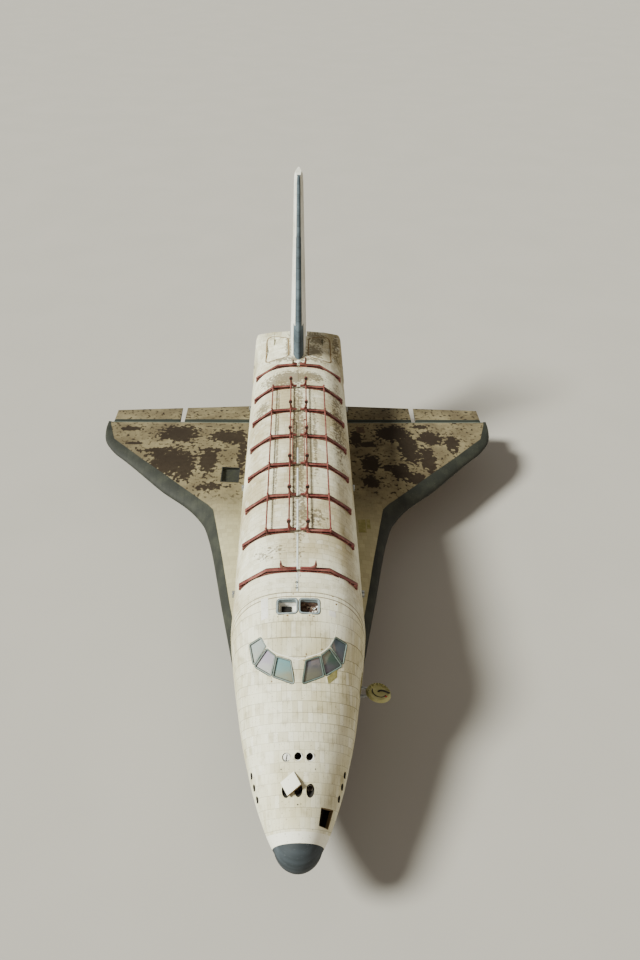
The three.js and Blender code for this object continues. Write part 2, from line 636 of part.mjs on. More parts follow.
const wholeWing = loft(WING.map(wingRing));
const INNER_EDGE = [
  // where the hard leading edge meets the wing's skin, as [x, station]
  [1900, 7300], [2500, 9470], [3260, 13040], [3800, 15950], [4280, 18350], [4590, 19850],
  [4990, 20450], [5850, 21380], [7760, 23340], [9280, 24900], [11230, 27000], [11760, 28800], [11760, HINGE_S + 10],
];
const edgeRegion = (shift) => {
  const line = INNER_EDGE.map(([x, s]) => [x + shift, at(s)]);
  return prism([...line, [13000, at(HINGE_S + 10)], [13000, at(5000)], [1900 + shift, at(5000)]], 500, 5000);
};

const ELEVONS = [
  { name: "inboard", x0: 2930, x1: 7200 },
  { name: "outboard", x0: 7500, x1: 11620 },
];
const SLOT = 0.75; // how far ahead of the hinge line the wing's skin stops, in nose radii
const skinEnd = (x) => at(HINGE_S) - noseRadius(x) * SLOT;
const skinLine = [1500, 12500].map((x) => [x, skinEnd(x)]);
const aheadOfSkinEnd = prism([[1500, at(5000)], ...skinLine, [12500, at(5000)]], 500, 5000);
const hingePoint = (x, radial = 0) => v(x, at(HINGE_S), hingeZ(x) + radial);
const BRACKET = { thick: 60, clear: 15, pin: 15, bore: 15.32, reach: 30 };

const bracketPlaces = ({ x0, x1 }) => [lerp(x0, x1, 0.22), lerp(x0, x1, 0.78)];

const noseBar = (x0, x1, grow) => {
  const a = hingePoint(x0);
  const b = hingePoint(x1);
  return bar(a, b, noseRadius(x0) + grow, 16, noseRadius(x1) + grow);
};

// A hinge plate on the wing's rear face, with a pin through it.
function bracket(x) {
  const r = noseRadius(x);
  const half = BRACKET.thick / 2;
  const z = hingeZ(x);
  const plate = box(x - half, x + half, at(HINGE_S) - r - 60, at(HINGE_S) + 40, z - 45, z + 45);
  const side = half + BRACKET.clear + BRACKET.reach - 2;
  return plate.add(bar(hingePoint(x - side), hingePoint(x + side), BRACKET.pin, EAR.sides));
}

function elevon(part) {
  const { x0, x1 } = part;
  const behind = box(x0, x1, at(HINGE_S), at(32500), 1500, 3500);
  let made = wholeWing.intersect(behind).add(noseBar(x0, x1, -1));
  for (const x of bracketPlaces(part)) {
    const r = noseRadius(x);
    const half = BRACKET.thick / 2 + BRACKET.clear;
    const z = hingeZ(x);
    made = made.subtract(box(x - half, x + half, at(HINGE_S) - r - 50, at(HINGE_S) + 60, z - r - 50, z + r + 50));
    const side = half + BRACKET.reach;
    made = made.subtract(bar(hingePoint(x - side), hingePoint(x + side), BRACKET.bore, EAR.sides));
  }
  return made;
}

const MAIN_BAY = { x0: 2980, x1: 4480, front: 21000, back: 24600, top: 2780 };
const WING_HOLE = { x0: 3420, x1: 4350, front: 22300, back: 23700, floor: 2920 };
function wingBody(holed) {
  let made = wholeWing.intersect(aheadOfSkinEnd).subtract(edgeRegion(0));
  made = made.subtract(bodyStretch(SEAM.bowl, SEAM.cabin, -FIT));
  made = made.subtract(bodyStretch(SEAM.cabin, SEAM.tail + 300, -FIT));
  for (const part of ELEVONS) made = made.subtract(noseBar(part.x0 - 150, part.x1 + 150, RUN));
  for (const part of ELEVONS) for (const x of bracketPlaces(part)) made = made.add(bracket(x));
  const { x0, x1, front, back, top } = MAIN_BAY;
  made = made.subtract(box(x0, x1, at(front), at(back), 500, top));
  if (holed) {
    const hole = WING_HOLE;
    made = made.subtract(box(hole.x0, hole.x1, at(hole.front), at(hole.back), hole.floor, 4500));
  }
  return made;
}

function leadingEdge() {
  let made = wholeWing.intersect(aheadOfSkinEnd).intersect(edgeRegion(FIT));
  made = made.subtract(bodyStretch(SEAM.bowl, SEAM.cabin, -FIT));
  return made.subtract(bodyStretch(SEAM.cabin, SEAM.tail, -FIT));
}

// Fin and split rudder
const FIN = [
  { z: 7200, lead: 27400, trail: 31900, thick: 940 },
  { z: 8600, lead: 28490, trail: 32600, thick: 920 },
  { z: 15900, lead: 34100, trail: 36150, thick: 560 },
  { z: 16200, lead: 34330, trail: 36300, thick: 500 },
  { z: HEIGHT, lead: 34520, trail: LENGTH, thick: 340 },
];
const RUDDER = { z0: 8720, z1: 15880, s0: 31150, s1: 35330, skin: 60, journal: 62, disc: 112, lug: 40, end: 44 };
const rudderShare = (z) => (z - RUDDER.z0) / (RUDDER.z1 - RUDDER.z0);
const rudderAxis = (z) => v(0, at(lerp(RUDDER.s0, RUDDER.s1, rudderShare(z))), z);
const finThick = (z) => between(FIN, "z", "thick", z);

function finRing(row) {
  const hinge = lerp(RUDDER.s0, RUDDER.s1, rudderShare(row.z));
  const half = row.thick / 2;
  const steps = [
    [0, 0], [0.02, 0.2], [0.08, 0.36], [0.45, 0.82], [1, 1],
  ];
  const side = steps.map(([share, width]) => [lerp(row.lead, hinge, share), width * half]);
  side.push([row.trail, 30]);
  const ring = side.map(([s, x]) => v(x, at(s), row.z));
  const back = side.slice(1).reverse().map(([s, x]) => v(-x, at(s), row.z));
  return [...ring, ...back];
}

const wholeFin = loft(FIN.map(finRing));
const AXIS_LEAN = Math.atan2(RUDDER.s1 - RUDDER.s0, RUDDER.z1 - RUDDER.z0);
const SQUARE_AFT = v(0, Math.cos(AXIS_LEAN), -Math.sin(AXIS_LEAN)); // aft, square to the hinge line
// A slab between two heights on the hinge line, cut square to it, from given reaches ahead of it to far behind.
function squareSlab(z0, z1, ahead0, ahead1, x0, x1) {
  const corner = (z, reach) => rudderAxis(z).addScaledVector(SQUARE_AFT, reach);
  const corners = [corner(z0, -ahead0), corner(z0, 3000), corner(z1, 3000), corner(z1, -ahead1)];
  return slab(corners.map((p) => [p.y, p.z]), x0, x1);
}
const rudderRadius = (z) => lerp(finThick(RUDDER.z0), finThick(RUDDER.z1), rudderShare(z)) / 2;
const rudderCone = (grow, z0, z1) =>
  bar(rudderAxis(z0), rudderAxis(z1), rudderRadius(z0) + grow, 16, rudderRadius(z1) + grow);
const rudderRound = (radius, z0, z1) => bar(rudderAxis(z0), rudderAxis(z1), radius, 12);

const EDGE_SHARE = 0.17; // of the fin's front that is the hard leading edge
function finEdgeRegion(shift) {
  const line = [FIN[0], FIN[FIN.length - 2]].map((row) => {
    const s = lerp(row.lead, row.trail, EDGE_SHARE) + shift;
    return [at(s), row.z];
  });
  const top = [line[1][0] + 120, HEIGHT + 50];
  const low = FIN[0].z - 100;
  const ahead = at(25000);
  return slab([[ahead, low], [line[0][0] - 60, low], line[0], line[1], top, [ahead, HEIGHT + 50]], -900, 900);
}

function fin() {
  const { z0, z1 } = RUDDER;
  const lips = [rudderRadius(z0) * SLOT, rudderRadius(z1) * SLOT];
  let made = wholeFin.subtract(finEdgeRegion(0)).subtract(squareSlab(z0 - RUN, z1 + RUN, ...lips, -900, 900));
  made = made.subtract(rudderCone(RUN, z0 - RUN, z1 + RUN));
  made = made.subtract(bodyStretch(SEAM.bay, SEAM.tail + FIT, -FIT));
  const pins = [rudderPin(z0 - 160, z0 + PIN.deep), rudderPin(z1 - PIN.deep, z1 + 120)];
  return made.add(joined(pins));
}

const PIN = { r: 30, bore: 30.29, deep: 120, sides: 24 };
const rudderPin = (low, high) => bar(rudderAxis(low), rudderAxis(high), PIN.r, PIN.sides);

function finEdge() {
  return wholeFin.intersect(finEdgeRegion(-FIT)).subtract(bodyStretch(SEAM.bay - 3000, SEAM.tail, -FIT));
}

const LEVELS = [70, 70 + RUDDER.lug + FIT]; // of the lugs of the port and the starboard half, from each end
const LUG_ROOM = LEVELS[1] + RUDDER.lug + FIT;

// The round spar that carries both rudder halves and turns in the fin.
function rudderSpar() {
  const { z0, z1, skin, journal } = RUDDER;
  const body = rudderCone(-skin, z0 + LUG_ROOM, z1 - LUG_ROOM);
  const made = body.add(rudderRound(journal, z0 + RUDDER.end, z1 - RUDDER.end));
  const bores = [[z0 - 20, z0 + PIN.deep + 20], [z1 - PIN.deep - 20, z1 + 20]];
  return made.subtract(joined(bores.map(([a, b]) => bar(rudderAxis(a), rudderAxis(b), PIN.bore, PIN.sides))));
}

// One half of the split rudder, on the port side, with its lugs at its own level.
function rudderHalf(own, other) {
  const { z0, z1, skin, journal, disc, lug } = RUDDER;
  let made = wholeFin.intersect(squareSlab(z0 + RUN, z1 - RUN, 0, 0, RUN / 2, 900));
  made = made.subtract(rudderCone(RUN - skin, z0 + LUG_ROOM - RUN, z1 - LUG_ROOM + RUN));
  for (const [end, up] of [[z0, 1], [z1, -1]]) {
    const ring = (radius, from, to) => rudderRound(radius, end + up * from, end + up * to);
    made = made.subtract(ring(disc + RUN, other - RUN, other + lug + RUN));
    made = made.add(ring(disc, own, own + lug));
  }
  return made.subtract(rudderRound(journal + 2.5, z0 - 50, z1 + 50));
}

// Body flap under the base
const FLAP = { half: 2350, hingeS: 31720, z: 2330, r: 170, trail: 33300, places: [-1500, 0, 1500] };
function bodyFlap() {
  const { half, hingeS, z, r, trail, places } = FLAP;
  const front = at(hingeS);
  const wedge = slab([[front, z + r], [front, z - r], [at(trail), z - 20], [at(trail), z + 20]], -half, half);
  let made = wedge.add(bar(v(-half, at(hingeS), z), v(half, at(hingeS), z), r, 20));
  for (const x of places) {
    made = made.subtract(box(x - 50, x + 50, at(hingeS) - r - 40, at(hingeS) + 60, z - r - 40, z + r + 40));
    made = made.subtract(bar(v(x - 80, at(hingeS), z), v(x + 80, at(hingeS), z), BRACKET.bore, EAR.sides));
  }
  return made;
}

function flapBrackets() {
  const { hingeS, z, places } = FLAP;
  return places.map((x) => {
    const plate = box(x - 30, x + 30, at(SEAM.tail) - 50, at(hingeS) + 40, z - 45, z + 45);
    return plate.add(bar(v(x - 76, at(hingeS), z), v(x + 76, at(hingeS), z), BRACKET.pin, EAR.sides));
  });
}

// Landing gear
const TYRE_SIDES = 18;
const flatRadius = (r) => r * Math.cos(Math.PI / TYRE_SIDES);
const MAIN = { x: 3500, s: 24000, r: 630, wide: 380, gap: 400, axle: 80, top: 2780 };
const NOSEGEAR = { s: 11000, r: 420, wide: 270, gap: 320, axle: 60, top: 2650 };

const HUB_SHARE = 0.55; // of the tyre's width
// Half the length of the boss that fits between the hubs of two wheels
const hubFace = ({ wide, gap }) => (gap + wide) / 2 - (wide / 2) * HUB_SHARE - FIT;

// Two tyres on one axle along X, centred at a place.
function twinWheels(gear, x) {
  const { r, wide, gap, axle } = gear;
  const half = wide / 2;
  const profile = [
    [0, -half * HUB_SHARE], [r * 0.5, -half * HUB_SHARE], [r * 0.6, -half], [r * 0.9, -half], [r, -half * 0.6],
    [r, half * 0.6], [r * 0.9, half], [r * 0.6, half], [r * 0.5, half * HUB_SHARE], [0, half * HUB_SHARE],
  ];
  const points = profile.map(([px, py]) => new THREE.Vector2(px, py));
  const z = flatRadius(r);
  const wheels = [1, -1].map((side) => {
    const geometry = new THREE.LatheGeometry(points, TYRE_SIDES)
      .rotateY(Math.PI / TYRE_SIDES)
      .rotateZ(-Math.PI / 2)
      .translate(x + (side * (gap + wide)) / 2, at(gear.s), z);
    return solidOf(geometry);
  });
  const reach = (gap + wide) / 2;
  return joined([...wheels, bar(v(x - reach, at(gear.s), z), v(x + reach, at(gear.s), z), axle, 16)]);
}

// Radii, heights and reaches of a main leg's parts
const MAIN_LEG = {
  barrel: 150, barrelLow: 1350, piston: 93, pistonTop: 1500, boss: 75,
  brace: 55, braceLow: 1450, braceReach: 1500, cross: 75, crossHalf: 480, link: 38, knee: 330,
};
function mainLeg() {
  const { x, s, r, axle, top } = MAIN;
  const m = MAIN_LEG;
  const z = flatRadius(r);
  const half = hubFace(MAIN);
  const boss = bar(v(x - half, at(s), z), v(x + half, at(s), z), axle + m.boss, 16);
  const piston = bar(v(x, at(s), z), v(x, at(s), m.pistonTop), m.piston, 16);
  const barrel = bar(v(x, at(s), m.barrelLow), v(x, at(s), top - FIT), m.barrel, 16);
  const brace = bar(v(x, at(s) - m.barrel, m.braceLow), v(x, at(s - m.braceReach), top - 60), m.brace, 10);
  const back = at(s - m.braceReach);
  const head = box(x - 120, x + 120, back - 150, back + 120, top - 160, top - FIT);
  const cross = bar(v(x - m.crossHalf, at(s), top - 130), v(x + m.crossHalf, at(s), top - 130), m.cross, 12);
  const knee = v(x, at(s) + m.knee, (z + m.barrelLow) / 2);
  const ends = [z + 80, m.barrelLow + 80].map((height) => v(x, at(s) + 60, height));
  const links = ends.map((end) => bar(end, knee, m.link, 8));
  const made = joined([boss, piston, barrel, brace, head, cross, ...links]);
  return made.subtract(bar(v(x - 400, at(s), z), v(x + 400, at(s), z), axle + 1.8, 16));
}

// The nose leg ends in a spigot, and the steered fork turns on it
const NOSE_LEG = { barrel: 120, brace: 50, braceLow: 1650, braceReach: 1450, cross: 65, spigot: 60, spigotLong: 220 };
const STEER = { top: 1500, low: 1180, piston: 95, collar: 150, socket: 63 };
const LAMP = { half: 160, front: 210, back: 90, low: 1230, high: 1400 };
function noseLeg() {
  const { s, top } = NOSEGEAR;
  const m = NOSE_LEG;
  const reach = NOSE_BAY.half - 30;
  const barrel = bar(v(0, at(s), STEER.top), v(0, at(s), top - FIT), m.barrel, 16);
  const cross = bar(v(-reach, at(s), top - 110), v(reach, at(s), top - 110), m.cross, 12);
  const brace = bar(v(0, at(s) + 100, m.braceLow), v(0, at(s + m.braceReach), top - 70), m.brace, 10);
  const head = box(-110, 110, at(s + m.braceReach) - 120, at(s + m.braceReach) + 110, top - 150, top - FIT);
  const spigot = bar(v(0, at(s), STEER.top - m.spigotLong), v(0, at(s), STEER.top + 20), m.spigot, 12);
  return joined([barrel, cross, brace, head, spigot]);
}

function noseFork() {
  const { s, r, axle } = NOSEGEAR;
  const z = flatRadius(r);
  const half = hubFace(NOSEGEAR);
  const upper = v(0, at(s), STEER.top - FIT);
  const boss = bar(v(-half, at(s), z), v(half, at(s), z), axle + 60, 16);
  const piston = bar(v(0, at(s), z), upper, STEER.piston, 16);
  const collar = bar(v(0, at(s), STEER.low), upper, STEER.collar, 16);
  const lamp = box(-LAMP.half, LAMP.half, at(s - LAMP.front), at(s - LAMP.back), LAMP.low, LAMP.high);
  const made = joined([boss, piston, collar, lamp]);
  const socketLow = STEER.top - NOSE_LEG.spigotLong - 20;
  const socket = bar(v(0, at(s), socketLow), v(0, at(s), STEER.top + 50), STEER.socket, 12);
  return made.subtract(bar(v(-300, at(s), z), v(300, at(s), z), axle + 1.5, 16)).subtract(socket);
}

// A gear door hanging open from the side of its bay.
function hangingDoor(x, front, back, drop, lean, thick, top) {
  const ends = [front + 40, back - 40];
  const hang = [[x, top], [x + thick, top], [x + thick + lean, top - drop], [x + lean, top - drop]];
  return loft(ends.map((s) => hang.map(([px, pz]) => v(px, at(s), pz))));
}

// How far each door hangs and leans out, its thickness, and the arms that hold it in its bay
const MAIN_DOOR = {
  top: 2080, drop: 1380, lean: 120, thick: 60, inset: 80,
  armEnd: 500, armHalf: 40, armTop: 2500,
};
const NOSE_DOOR = {
  top: BELLY_Z - 40, drop: 560, lean: 90, thick: 45, inset: 50,
  armEnd: 350, armHalf: 35, armTop: 2300,
};
const LINK = { r: 28, low: 1450, high: 1650, ahead: 300 };
function gearDoor(wall, front, back, d) {
  const x = wall - d.inset;
  const door = hangingDoor(x, front, back, d.drop, d.lean, d.thick, d.top);
  const arms = [front + d.armEnd, back - d.armEnd].map((s) =>
    box(x, wall - FIT, at(s) - d.armHalf, at(s) + d.armHalf, d.top - 60, d.armTop),
  );
  return joined([door, ...arms]);
}

function mainDoor() {
  const { x1, front, back } = MAIN_BAY;
  const low = v(x1 + 10, at(MAIN.s - LINK.ahead), LINK.low);
  const rod = bar(low, v(MAIN.x, at(MAIN.s) - 20, LINK.high), LINK.r, 8);
  const leg = bar(v(MAIN.x, at(MAIN.s), 1000), v(MAIN.x, at(MAIN.s), MAIN.top), MAIN_LEG.barrel + FIT, 16);
  return gearDoor(x1, front, back, MAIN_DOOR).add(rod.subtract(leg));
}

const noseDoor = () => gearDoor(NOSE_BAY.half, NOSE_BAY.front, NOSE_BAY.back, NOSE_DOOR);

// Pads on the belly where the launcher's struts bolt on
const ATTACH = [
  { name: "forward", x: 0, s: 8450, side: 420 },
  { name: "aft", x: 1350, s: 26900, side: 480 },
];
function attachPad(pad) {
  const half = pad.side / 2;
  const hull = bodyStretch(SEAM.cabin, SEAM.tail, -FIT).add(bodyStretch(SEAM.bowl, SEAM.cabin, -FIT));
  const y = at(pad.s);
  return box(pad.x - half, pad.x + half, y - half, y + half, BELLY_Z - 70, BELLY_Z + 120).subtract(hull);
}

// Finishes
const finish = (color, roughness, metalness = 0) =>
  new THREE.MeshStandardMaterial({ color, roughness, metalness });
const FELT = finish(0xd6cfbd, 0.9);
const TILE = finish(0x35373a, 0.8);
const CARBON = finish(0x4d5a63, 0.7);
const RED = finish(0x8c2f35, 0.6);
const GLASS = finish(0x9fb4b4, 0.15);
const METAL = finish(0x8b9096, 0.4, 0.8);
const RUBBER = finish(0x1c1c1c, 0.85);
const PRIMER = finish(0x8a8450, 0.7);

const orbiter = new THREE.Group();
function add(name, solid, material) {
  const mesh = new THREE.Mesh(geometryOf(solid), material);
  mesh.name = name;
  orbiter.add(mesh);
}

// A port piece and its mirror image on the starboard side.
function addPair(name, solid, material) {
  add(`${name}_port`, solid, material);
  add(`${name}_starboard`, mirrored(solid), material);
}

add("nose_cap", noseCap(), CARBON);
add("forward_fuselage", forwardFuselage(), FELT);
add("flight_deck", flightDeck(), METAL);
for (const window of WINDOWS) {
  const { sunk, thick } = PANE;
  addPair(`window_${window.name}`, throughRoof(window.corners, -sunk, sunk + thick, -FIT), GLASS);
}
add("roof_light_rims", roofLightRims(), METAL);
add("crew_hatch", hatch(), PRIMER);
add("port_cover", portCover(), FELT);
add("port_plug", portBar(PORTS[0], -70, -15, -FIT), FELT);
add("mid_fuselage", midFuselage(), FELT);
addPair("bay_door", bayDoor(), FELT);
addPair("door_frame", doorFrame(), RED);
addPair("front_beam", singleBeam(0, BEND.front, CLAWS.prong), RED);
add("rear_beam_port", singleBeam(BEAM.count - 1, BEND.rear, CLAWS.short), RED);
add("rear_beam_starboard", mirrored(singleBeam(BEAM.count - 1, BEND.rear, CLAWS.bent)), RED);
add("aft_fuselage", joined([bodyStretch(SEAM.bay, SEAM.tail), ...flapBrackets()]), FELT);
add("chute_housing", chuteHousing(), FELT);
addPair("thruster_pod", pod(), FELT);
addPair("engine_bell", engineBell(), METAL);
add("wing_port", wingBody(false), FELT);
add("wing_starboard", mirrored(wingBody(true)), FELT);
addPair("leading_edge", leadingEdge(), CARBON);
for (const part of ELEVONS) addPair(`elevon_${part.name}`, elevon(part), FELT);
add("fin", fin(), FELT);
add("fin_leading_edge", finEdge(), CARBON);
add("rudder_spar", rudderSpar(), METAL);
add("rudder_half_port", rudderHalf(LEVELS[0], LEVELS[1]), FELT);
add("rudder_half_starboard", mirrored(rudderHalf(LEVELS[1], LEVELS[0])), FELT);
add("body_flap", bodyFlap(), TILE);
addPair("main_leg", mainLeg(), METAL);
addPair("main_wheels", twinWheels(MAIN, MAIN.x), RUBBER);
addPair("main_gear_door", mainDoor(), TILE);
add("nose_leg", noseLeg(), METAL);
add("nose_fork", noseFork(), METAL);
add("nose_wheels", twinWheels(NOSEGEAR, 0), RUBBER);
addPair("nose_gear_door", noseDoor(), TILE);
add("forward_attach", attachPad(ATTACH[0]), METAL);
addPair("aft_attach", attachPad(ATTACH[1]), METAL);

export default orbiter;
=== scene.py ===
"""Dresses a delta-winged space shuttle orbiter in store. Metres, +Z up, nose to -Y, +X is the port side."""

import logging
import math
from contextlib import contextmanager
from dataclasses import astuple, dataclass, field
from enum import Enum
from typing import Callable, Iterator, Sequence

import bmesh
import bpy
import numpy as np
from mathutils import Euler, Matrix, Vector


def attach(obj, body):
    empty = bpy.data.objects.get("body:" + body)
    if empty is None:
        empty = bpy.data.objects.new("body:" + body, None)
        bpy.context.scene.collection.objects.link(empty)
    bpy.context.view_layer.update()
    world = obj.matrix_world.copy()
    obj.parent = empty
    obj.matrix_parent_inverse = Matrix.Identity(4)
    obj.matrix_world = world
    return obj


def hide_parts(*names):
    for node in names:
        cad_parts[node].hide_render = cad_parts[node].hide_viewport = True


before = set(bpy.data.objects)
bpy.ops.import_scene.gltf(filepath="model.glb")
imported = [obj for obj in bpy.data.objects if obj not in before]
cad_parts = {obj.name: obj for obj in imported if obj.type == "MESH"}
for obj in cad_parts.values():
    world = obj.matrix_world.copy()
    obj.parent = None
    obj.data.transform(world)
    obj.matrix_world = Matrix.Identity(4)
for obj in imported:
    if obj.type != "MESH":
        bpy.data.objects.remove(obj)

Piece = bpy.types.Object
Paint = bpy.types.Material
Socket = bpy.types.NodeSocket
EditMesh = bmesh.types.BMesh
Point = Sequence[float]
Pair = tuple[float, float]
Triple = tuple[float, float, float]

LOG = logging.getLogger("orbiter")
HALF_LENGTH = 18.185
HEIGHT = 16.35
SEAT = 0.0003  # gap between fixed pieces that touch
MIRROR = Matrix.Scale(-1, 4, (1, 0, 0))
SIDES = {"port": 1, "starboard": -1}
AIRFRAME = "airframe"
SURFACE = "surface"  # the UV map in metres that hull patterns follow
NOSE_BAY = (10.55, 13.2)  # stations of the wheel bays' ends
MAIN_BAY = (21.0, 24.6)


def at(station: float) -> float:
    """Turns a distance aft of the nose tip into a Y coordinate."""
    return station - HALF_LENGTH


class Slot(Enum):
    """The record's material slots."""

    FELT = "felt_tiles"
    BLACK = "black_tiles"
    CARBON = "carbon_edges"
    RED = "red_steel"
    GLASS = "cabin_glass"
    ALLOY = "alloy"
    TYRE = "tyres"
    PRIMER = "primer"


# Modelling tools


def choose(*pieces: Piece) -> None:
    """Selects pieces and nothing else; the first becomes the active one."""
    bpy.ops.object.select_all(action="DESELECT")
    bpy.context.view_layer.objects.active = pieces[0]
    for piece in pieces:
        piece.select_set(True)


@contextmanager
def editing(piece: Piece) -> Iterator[EditMesh]:
    """Opens a piece in edit mode with nothing selected.

    Args:
        piece: The object to shape.
    """
    choose(piece)
    bpy.context.tool_settings.mesh_select_mode = (False, False, True)
    bpy.ops.object.mode_set(mode="EDIT")
    bpy.ops.mesh.select_all(action="DESELECT")
    try:
        yield bmesh.from_edit_mesh(piece.data)
    finally:
        bpy.ops.object.mode_set(mode="OBJECT")


def pick(mesh: EditMesh, test: Callable[[bmesh.types.BMFace], bool]) -> None:
    """Selects the faces that pass a test, and nothing else."""
    bpy.ops.mesh.select_all(action="DESELECT")
    for face in mesh.faces:
        if test(face):
            face.select_set(True)


def stepped(piece: Piece, facing: Point, *steps: Pair) -> Piece:
    """Insets the faces that look one way and moves them, step after step.

    Args:
        piece: The piece to shape.
        facing: The direction that the faces look in.
        *steps: How far each step insets, and how far it then moves outwards.

    Returns:
        The same piece.
    """
    way = Vector(facing)
    with editing(piece) as mesh:
        pick(mesh, lambda face: face.normal.dot(way) > 0.9)
        for inset, out in steps:
            bpy.ops.mesh.inset(thickness=inset)
            bpy.ops.mesh.extrude_region_move(TRANSFORM_OT_translate={"value": tuple(way * out)})
    return piece


def settle(name: str) -> Piece:
    """Names the new primitive and moves its place into its mesh."""
    piece = bpy.context.object
    piece.name = name
    piece.data.name = name
    bpy.ops.object.transform_apply(location=True, rotation=True, scale=True)
    return piece


def block(name: str, low: Point, high: Point) -> Piece:
    """Adds a box between two corners.

    Args:
        name: Name of the piece.
        low: Lowest corner.
        high: Highest corner.

    Returns:
        The new piece.
    """
    bpy.ops.object.select_all(action="DESELECT")
    middle = [(a + b) / 2 for a, b in zip(low, high)]
    size = [b - a for a, b in zip(low, high)]
    bpy.ops.mesh.primitive_cube_add(size=1, location=middle, scale=size)
    return settle(name)


def rod(
    name: str, start: Point, end: Point, radius: float, sides: int = 24, tip: float | None = None
) -> Piece:
    """Adds a round bar, or a cone, from one point to another.

    Args:
        name: Name of the piece.
        start: Centre of the first end.
        end: Centre of the second end.
        radius: Radius at the first end.
        sides: Number of sides.
        tip: Radius at the second end, if it differs.

    Returns:
        The new piece.
    """
    bpy.ops.object.select_all(action="DESELECT")
    a, b = Vector(start), Vector(end)
    turn = (b - a).to_track_quat("Z", "Y").to_euler()
    bpy.ops.mesh.primitive_cone_add(
        vertices=sides,
        radius1=radius,
        radius2=radius if tip is None else tip,
        depth=(b - a).length,
        location=(a + b) / 2,
        rotation=turn,
    )
    return settle(name)


def apply_modifier(piece: Piece, kind: str, **settings: object) -> Piece:
    """Adds a modifier with its settings and applies it.

    Args:
        piece: The piece to change.
        kind: Blender's name for the modifier.
        **settings: The modifier's settings.

    Returns:
        The same piece.
    """
    choose(piece)
    modifier = piece.modifiers.new(kind.lower(), kind)
    for key, value in settings.items():
        setattr(modifier, key, value)
    bpy.ops.object.modifier_apply(modifier=modifier.name)
    return piece


def bevel(piece: Piece, width: float, segments: int = 2, angle: float = 30) -> Piece:
    """Rounds every edge that is sharper than an angle in degrees."""
    return apply_modifier(
        piece,
        "BEVEL",
        width=width,
        segments=segments,
        limit_method="ANGLE",
        angle_limit=math.radians(angle),
    )


def cut(piece: Piece, *tools: Piece, how: str = "DIFFERENCE") -> Piece:
    """Cuts a piece by other pieces, which are used up, and gives the cut faces the tools' finish.

    Args:
        piece: The piece to cut.
        *tools: The cutting solids.
        how: DIFFERENCE, INTERSECT or UNION.

    Returns:
        The same piece.
    """
    for tool in tools:
        apply_modifier(
            piece, "BOOLEAN", object=tool, operation=how, solver="EXACT", material_mode="TRANSFER"
        )
        bpy.data.objects.remove(tool)
    return piece


def joined(name: str, pieces: Sequence[Piece]) -> Piece:
    """Joins pieces into one object with a name."""
    choose(*pieces)
    bpy.ops.object.join()
    pieces[0].name = name
    pieces[0].data.name = name
    return pieces[0]


def copied(piece: Piece, name: str, move: Matrix = MIRROR) -> Piece:
    """Copies a piece with a mesh of its own, moved or mirrored.

    Args:
        piece: The piece to copy.
        name: Name of the copy.
        move: The matrix that places the copy.

    Returns:
        The copy.
    """
    twin = piece.copy()
    twin.data = piece.data.copy()
    twin.name = name
    twin.data.name = name
    twin.data.transform(move)
    if move.determinant() < 0:
        twin.data.flip_normals()
    bpy.context.scene.collection.objects.link(twin)
    return twin


def moved(x: float = 0.0, y: float = 0.0, z: float = 0.0) -> Matrix:
    """A matrix that shifts by a distance along each axis."""
    return Matrix.Translation((x, y, z))


def skin(
    name: str,
    rings: Sequence[np.ndarray],
    closed: bool = True,
    uv: Callable[[int, int], Pair] | None = None,
) -> Piece:
    """Makes a skin through rings of points with the same count, which no primitive can follow.

    Args:
        name: Name of the piece.
        rings: The sections, each an array of points.
        closed: Whether the first and last ring are closed by a face.
        uv: Gives the pattern's coordinates of a ring and a point; the point may be one past the last.

    Returns:
        The new piece, with its faces pointing out.
    """
    count = len(rings[0])
    mesh = bpy.data.meshes.new(name)
    shape = bmesh.new()
    rows = [[shape.verts.new(p) for p in ring] for ring in rings]
    layer = shape.loops.layers.uv.new(SURFACE)
    for r in range(len(rows) - 1):
        for i in range(count):
            j = (i + 1) % count
            face = shape.faces.new((rows[r][i], rows[r][j], rows[r + 1][j], rows[r + 1][i]))
            if uv:
                places = ((r, i), (r, i + 1), (r + 1, i + 1), (r + 1, i))
                for loop, place in zip(face.loops, places):
                    loop[layer].uv = uv(*place)
    if closed:
        for r, ring in ((0, rows[0][::-1]), (len(rows) - 1, rows[-1])):
            face = shape.faces.new(ring)
            if uv:
                for loop in face.loops:
                    loop[layer].uv = uv(r, 0)
    bmesh.ops.remove_doubles(shape, verts=shape.verts, dist=1e-5)
    bmesh.ops.recalc_face_normals(shape, faces=shape.faces)
    shape.to_mesh(mesh)
    shape.free()
    piece = bpy.data.objects.new(name, mesh)
    bpy.context.scene.collection.objects.link(piece)
    return piece


def upright(loop: Sequence[Point], s: float) -> np.ndarray:
    """Stands an outline of (x, z) up across the body at a station."""
    return np.array([(x, at(s), z) for x, z in loop])


def spun(name: str, profile: Sequence[Pair], steps: int = 48) -> Piece:
    """Spins a profile of (radius, height) round the Z axis into a closed body.

    Args:
        name: Name of the piece.
        profile: The outline, from the axis out and back to the axis, or a closed ring off the axis.
        steps: Number of steps round the axis.

    Returns:
        The new piece at the origin.
    """
    bpy.ops.object.select_all(action="DESELECT")
    bpy.ops.mesh.primitive_circle_add(vertices=len(profile), radius=1)
    piece = settle(name)
    with editing(piece) as mesh:
        mesh.verts.ensure_lookup_table()
        for vertex, (radius, height) in zip(mesh.verts, profile):
            vertex.co = (radius, 0, height)
        for edge in list(mesh.edges):
            if all(v.co.x < 1e-6 for v in edge.verts):
                mesh.edges.remove(edge)
        bpy.ops.mesh.select_all(action="SELECT")
        bpy.ops.mesh.spin(steps=steps, angle=math.tau, center=(0, 0, 0), axis=(0, 0, 1))
        bpy.ops.mesh.select_all(action="SELECT")
        bpy.ops.mesh.remove_doubles(threshold=1e-4)
        bpy.ops.mesh.normals_make_consistent(inside=False)
    return piece


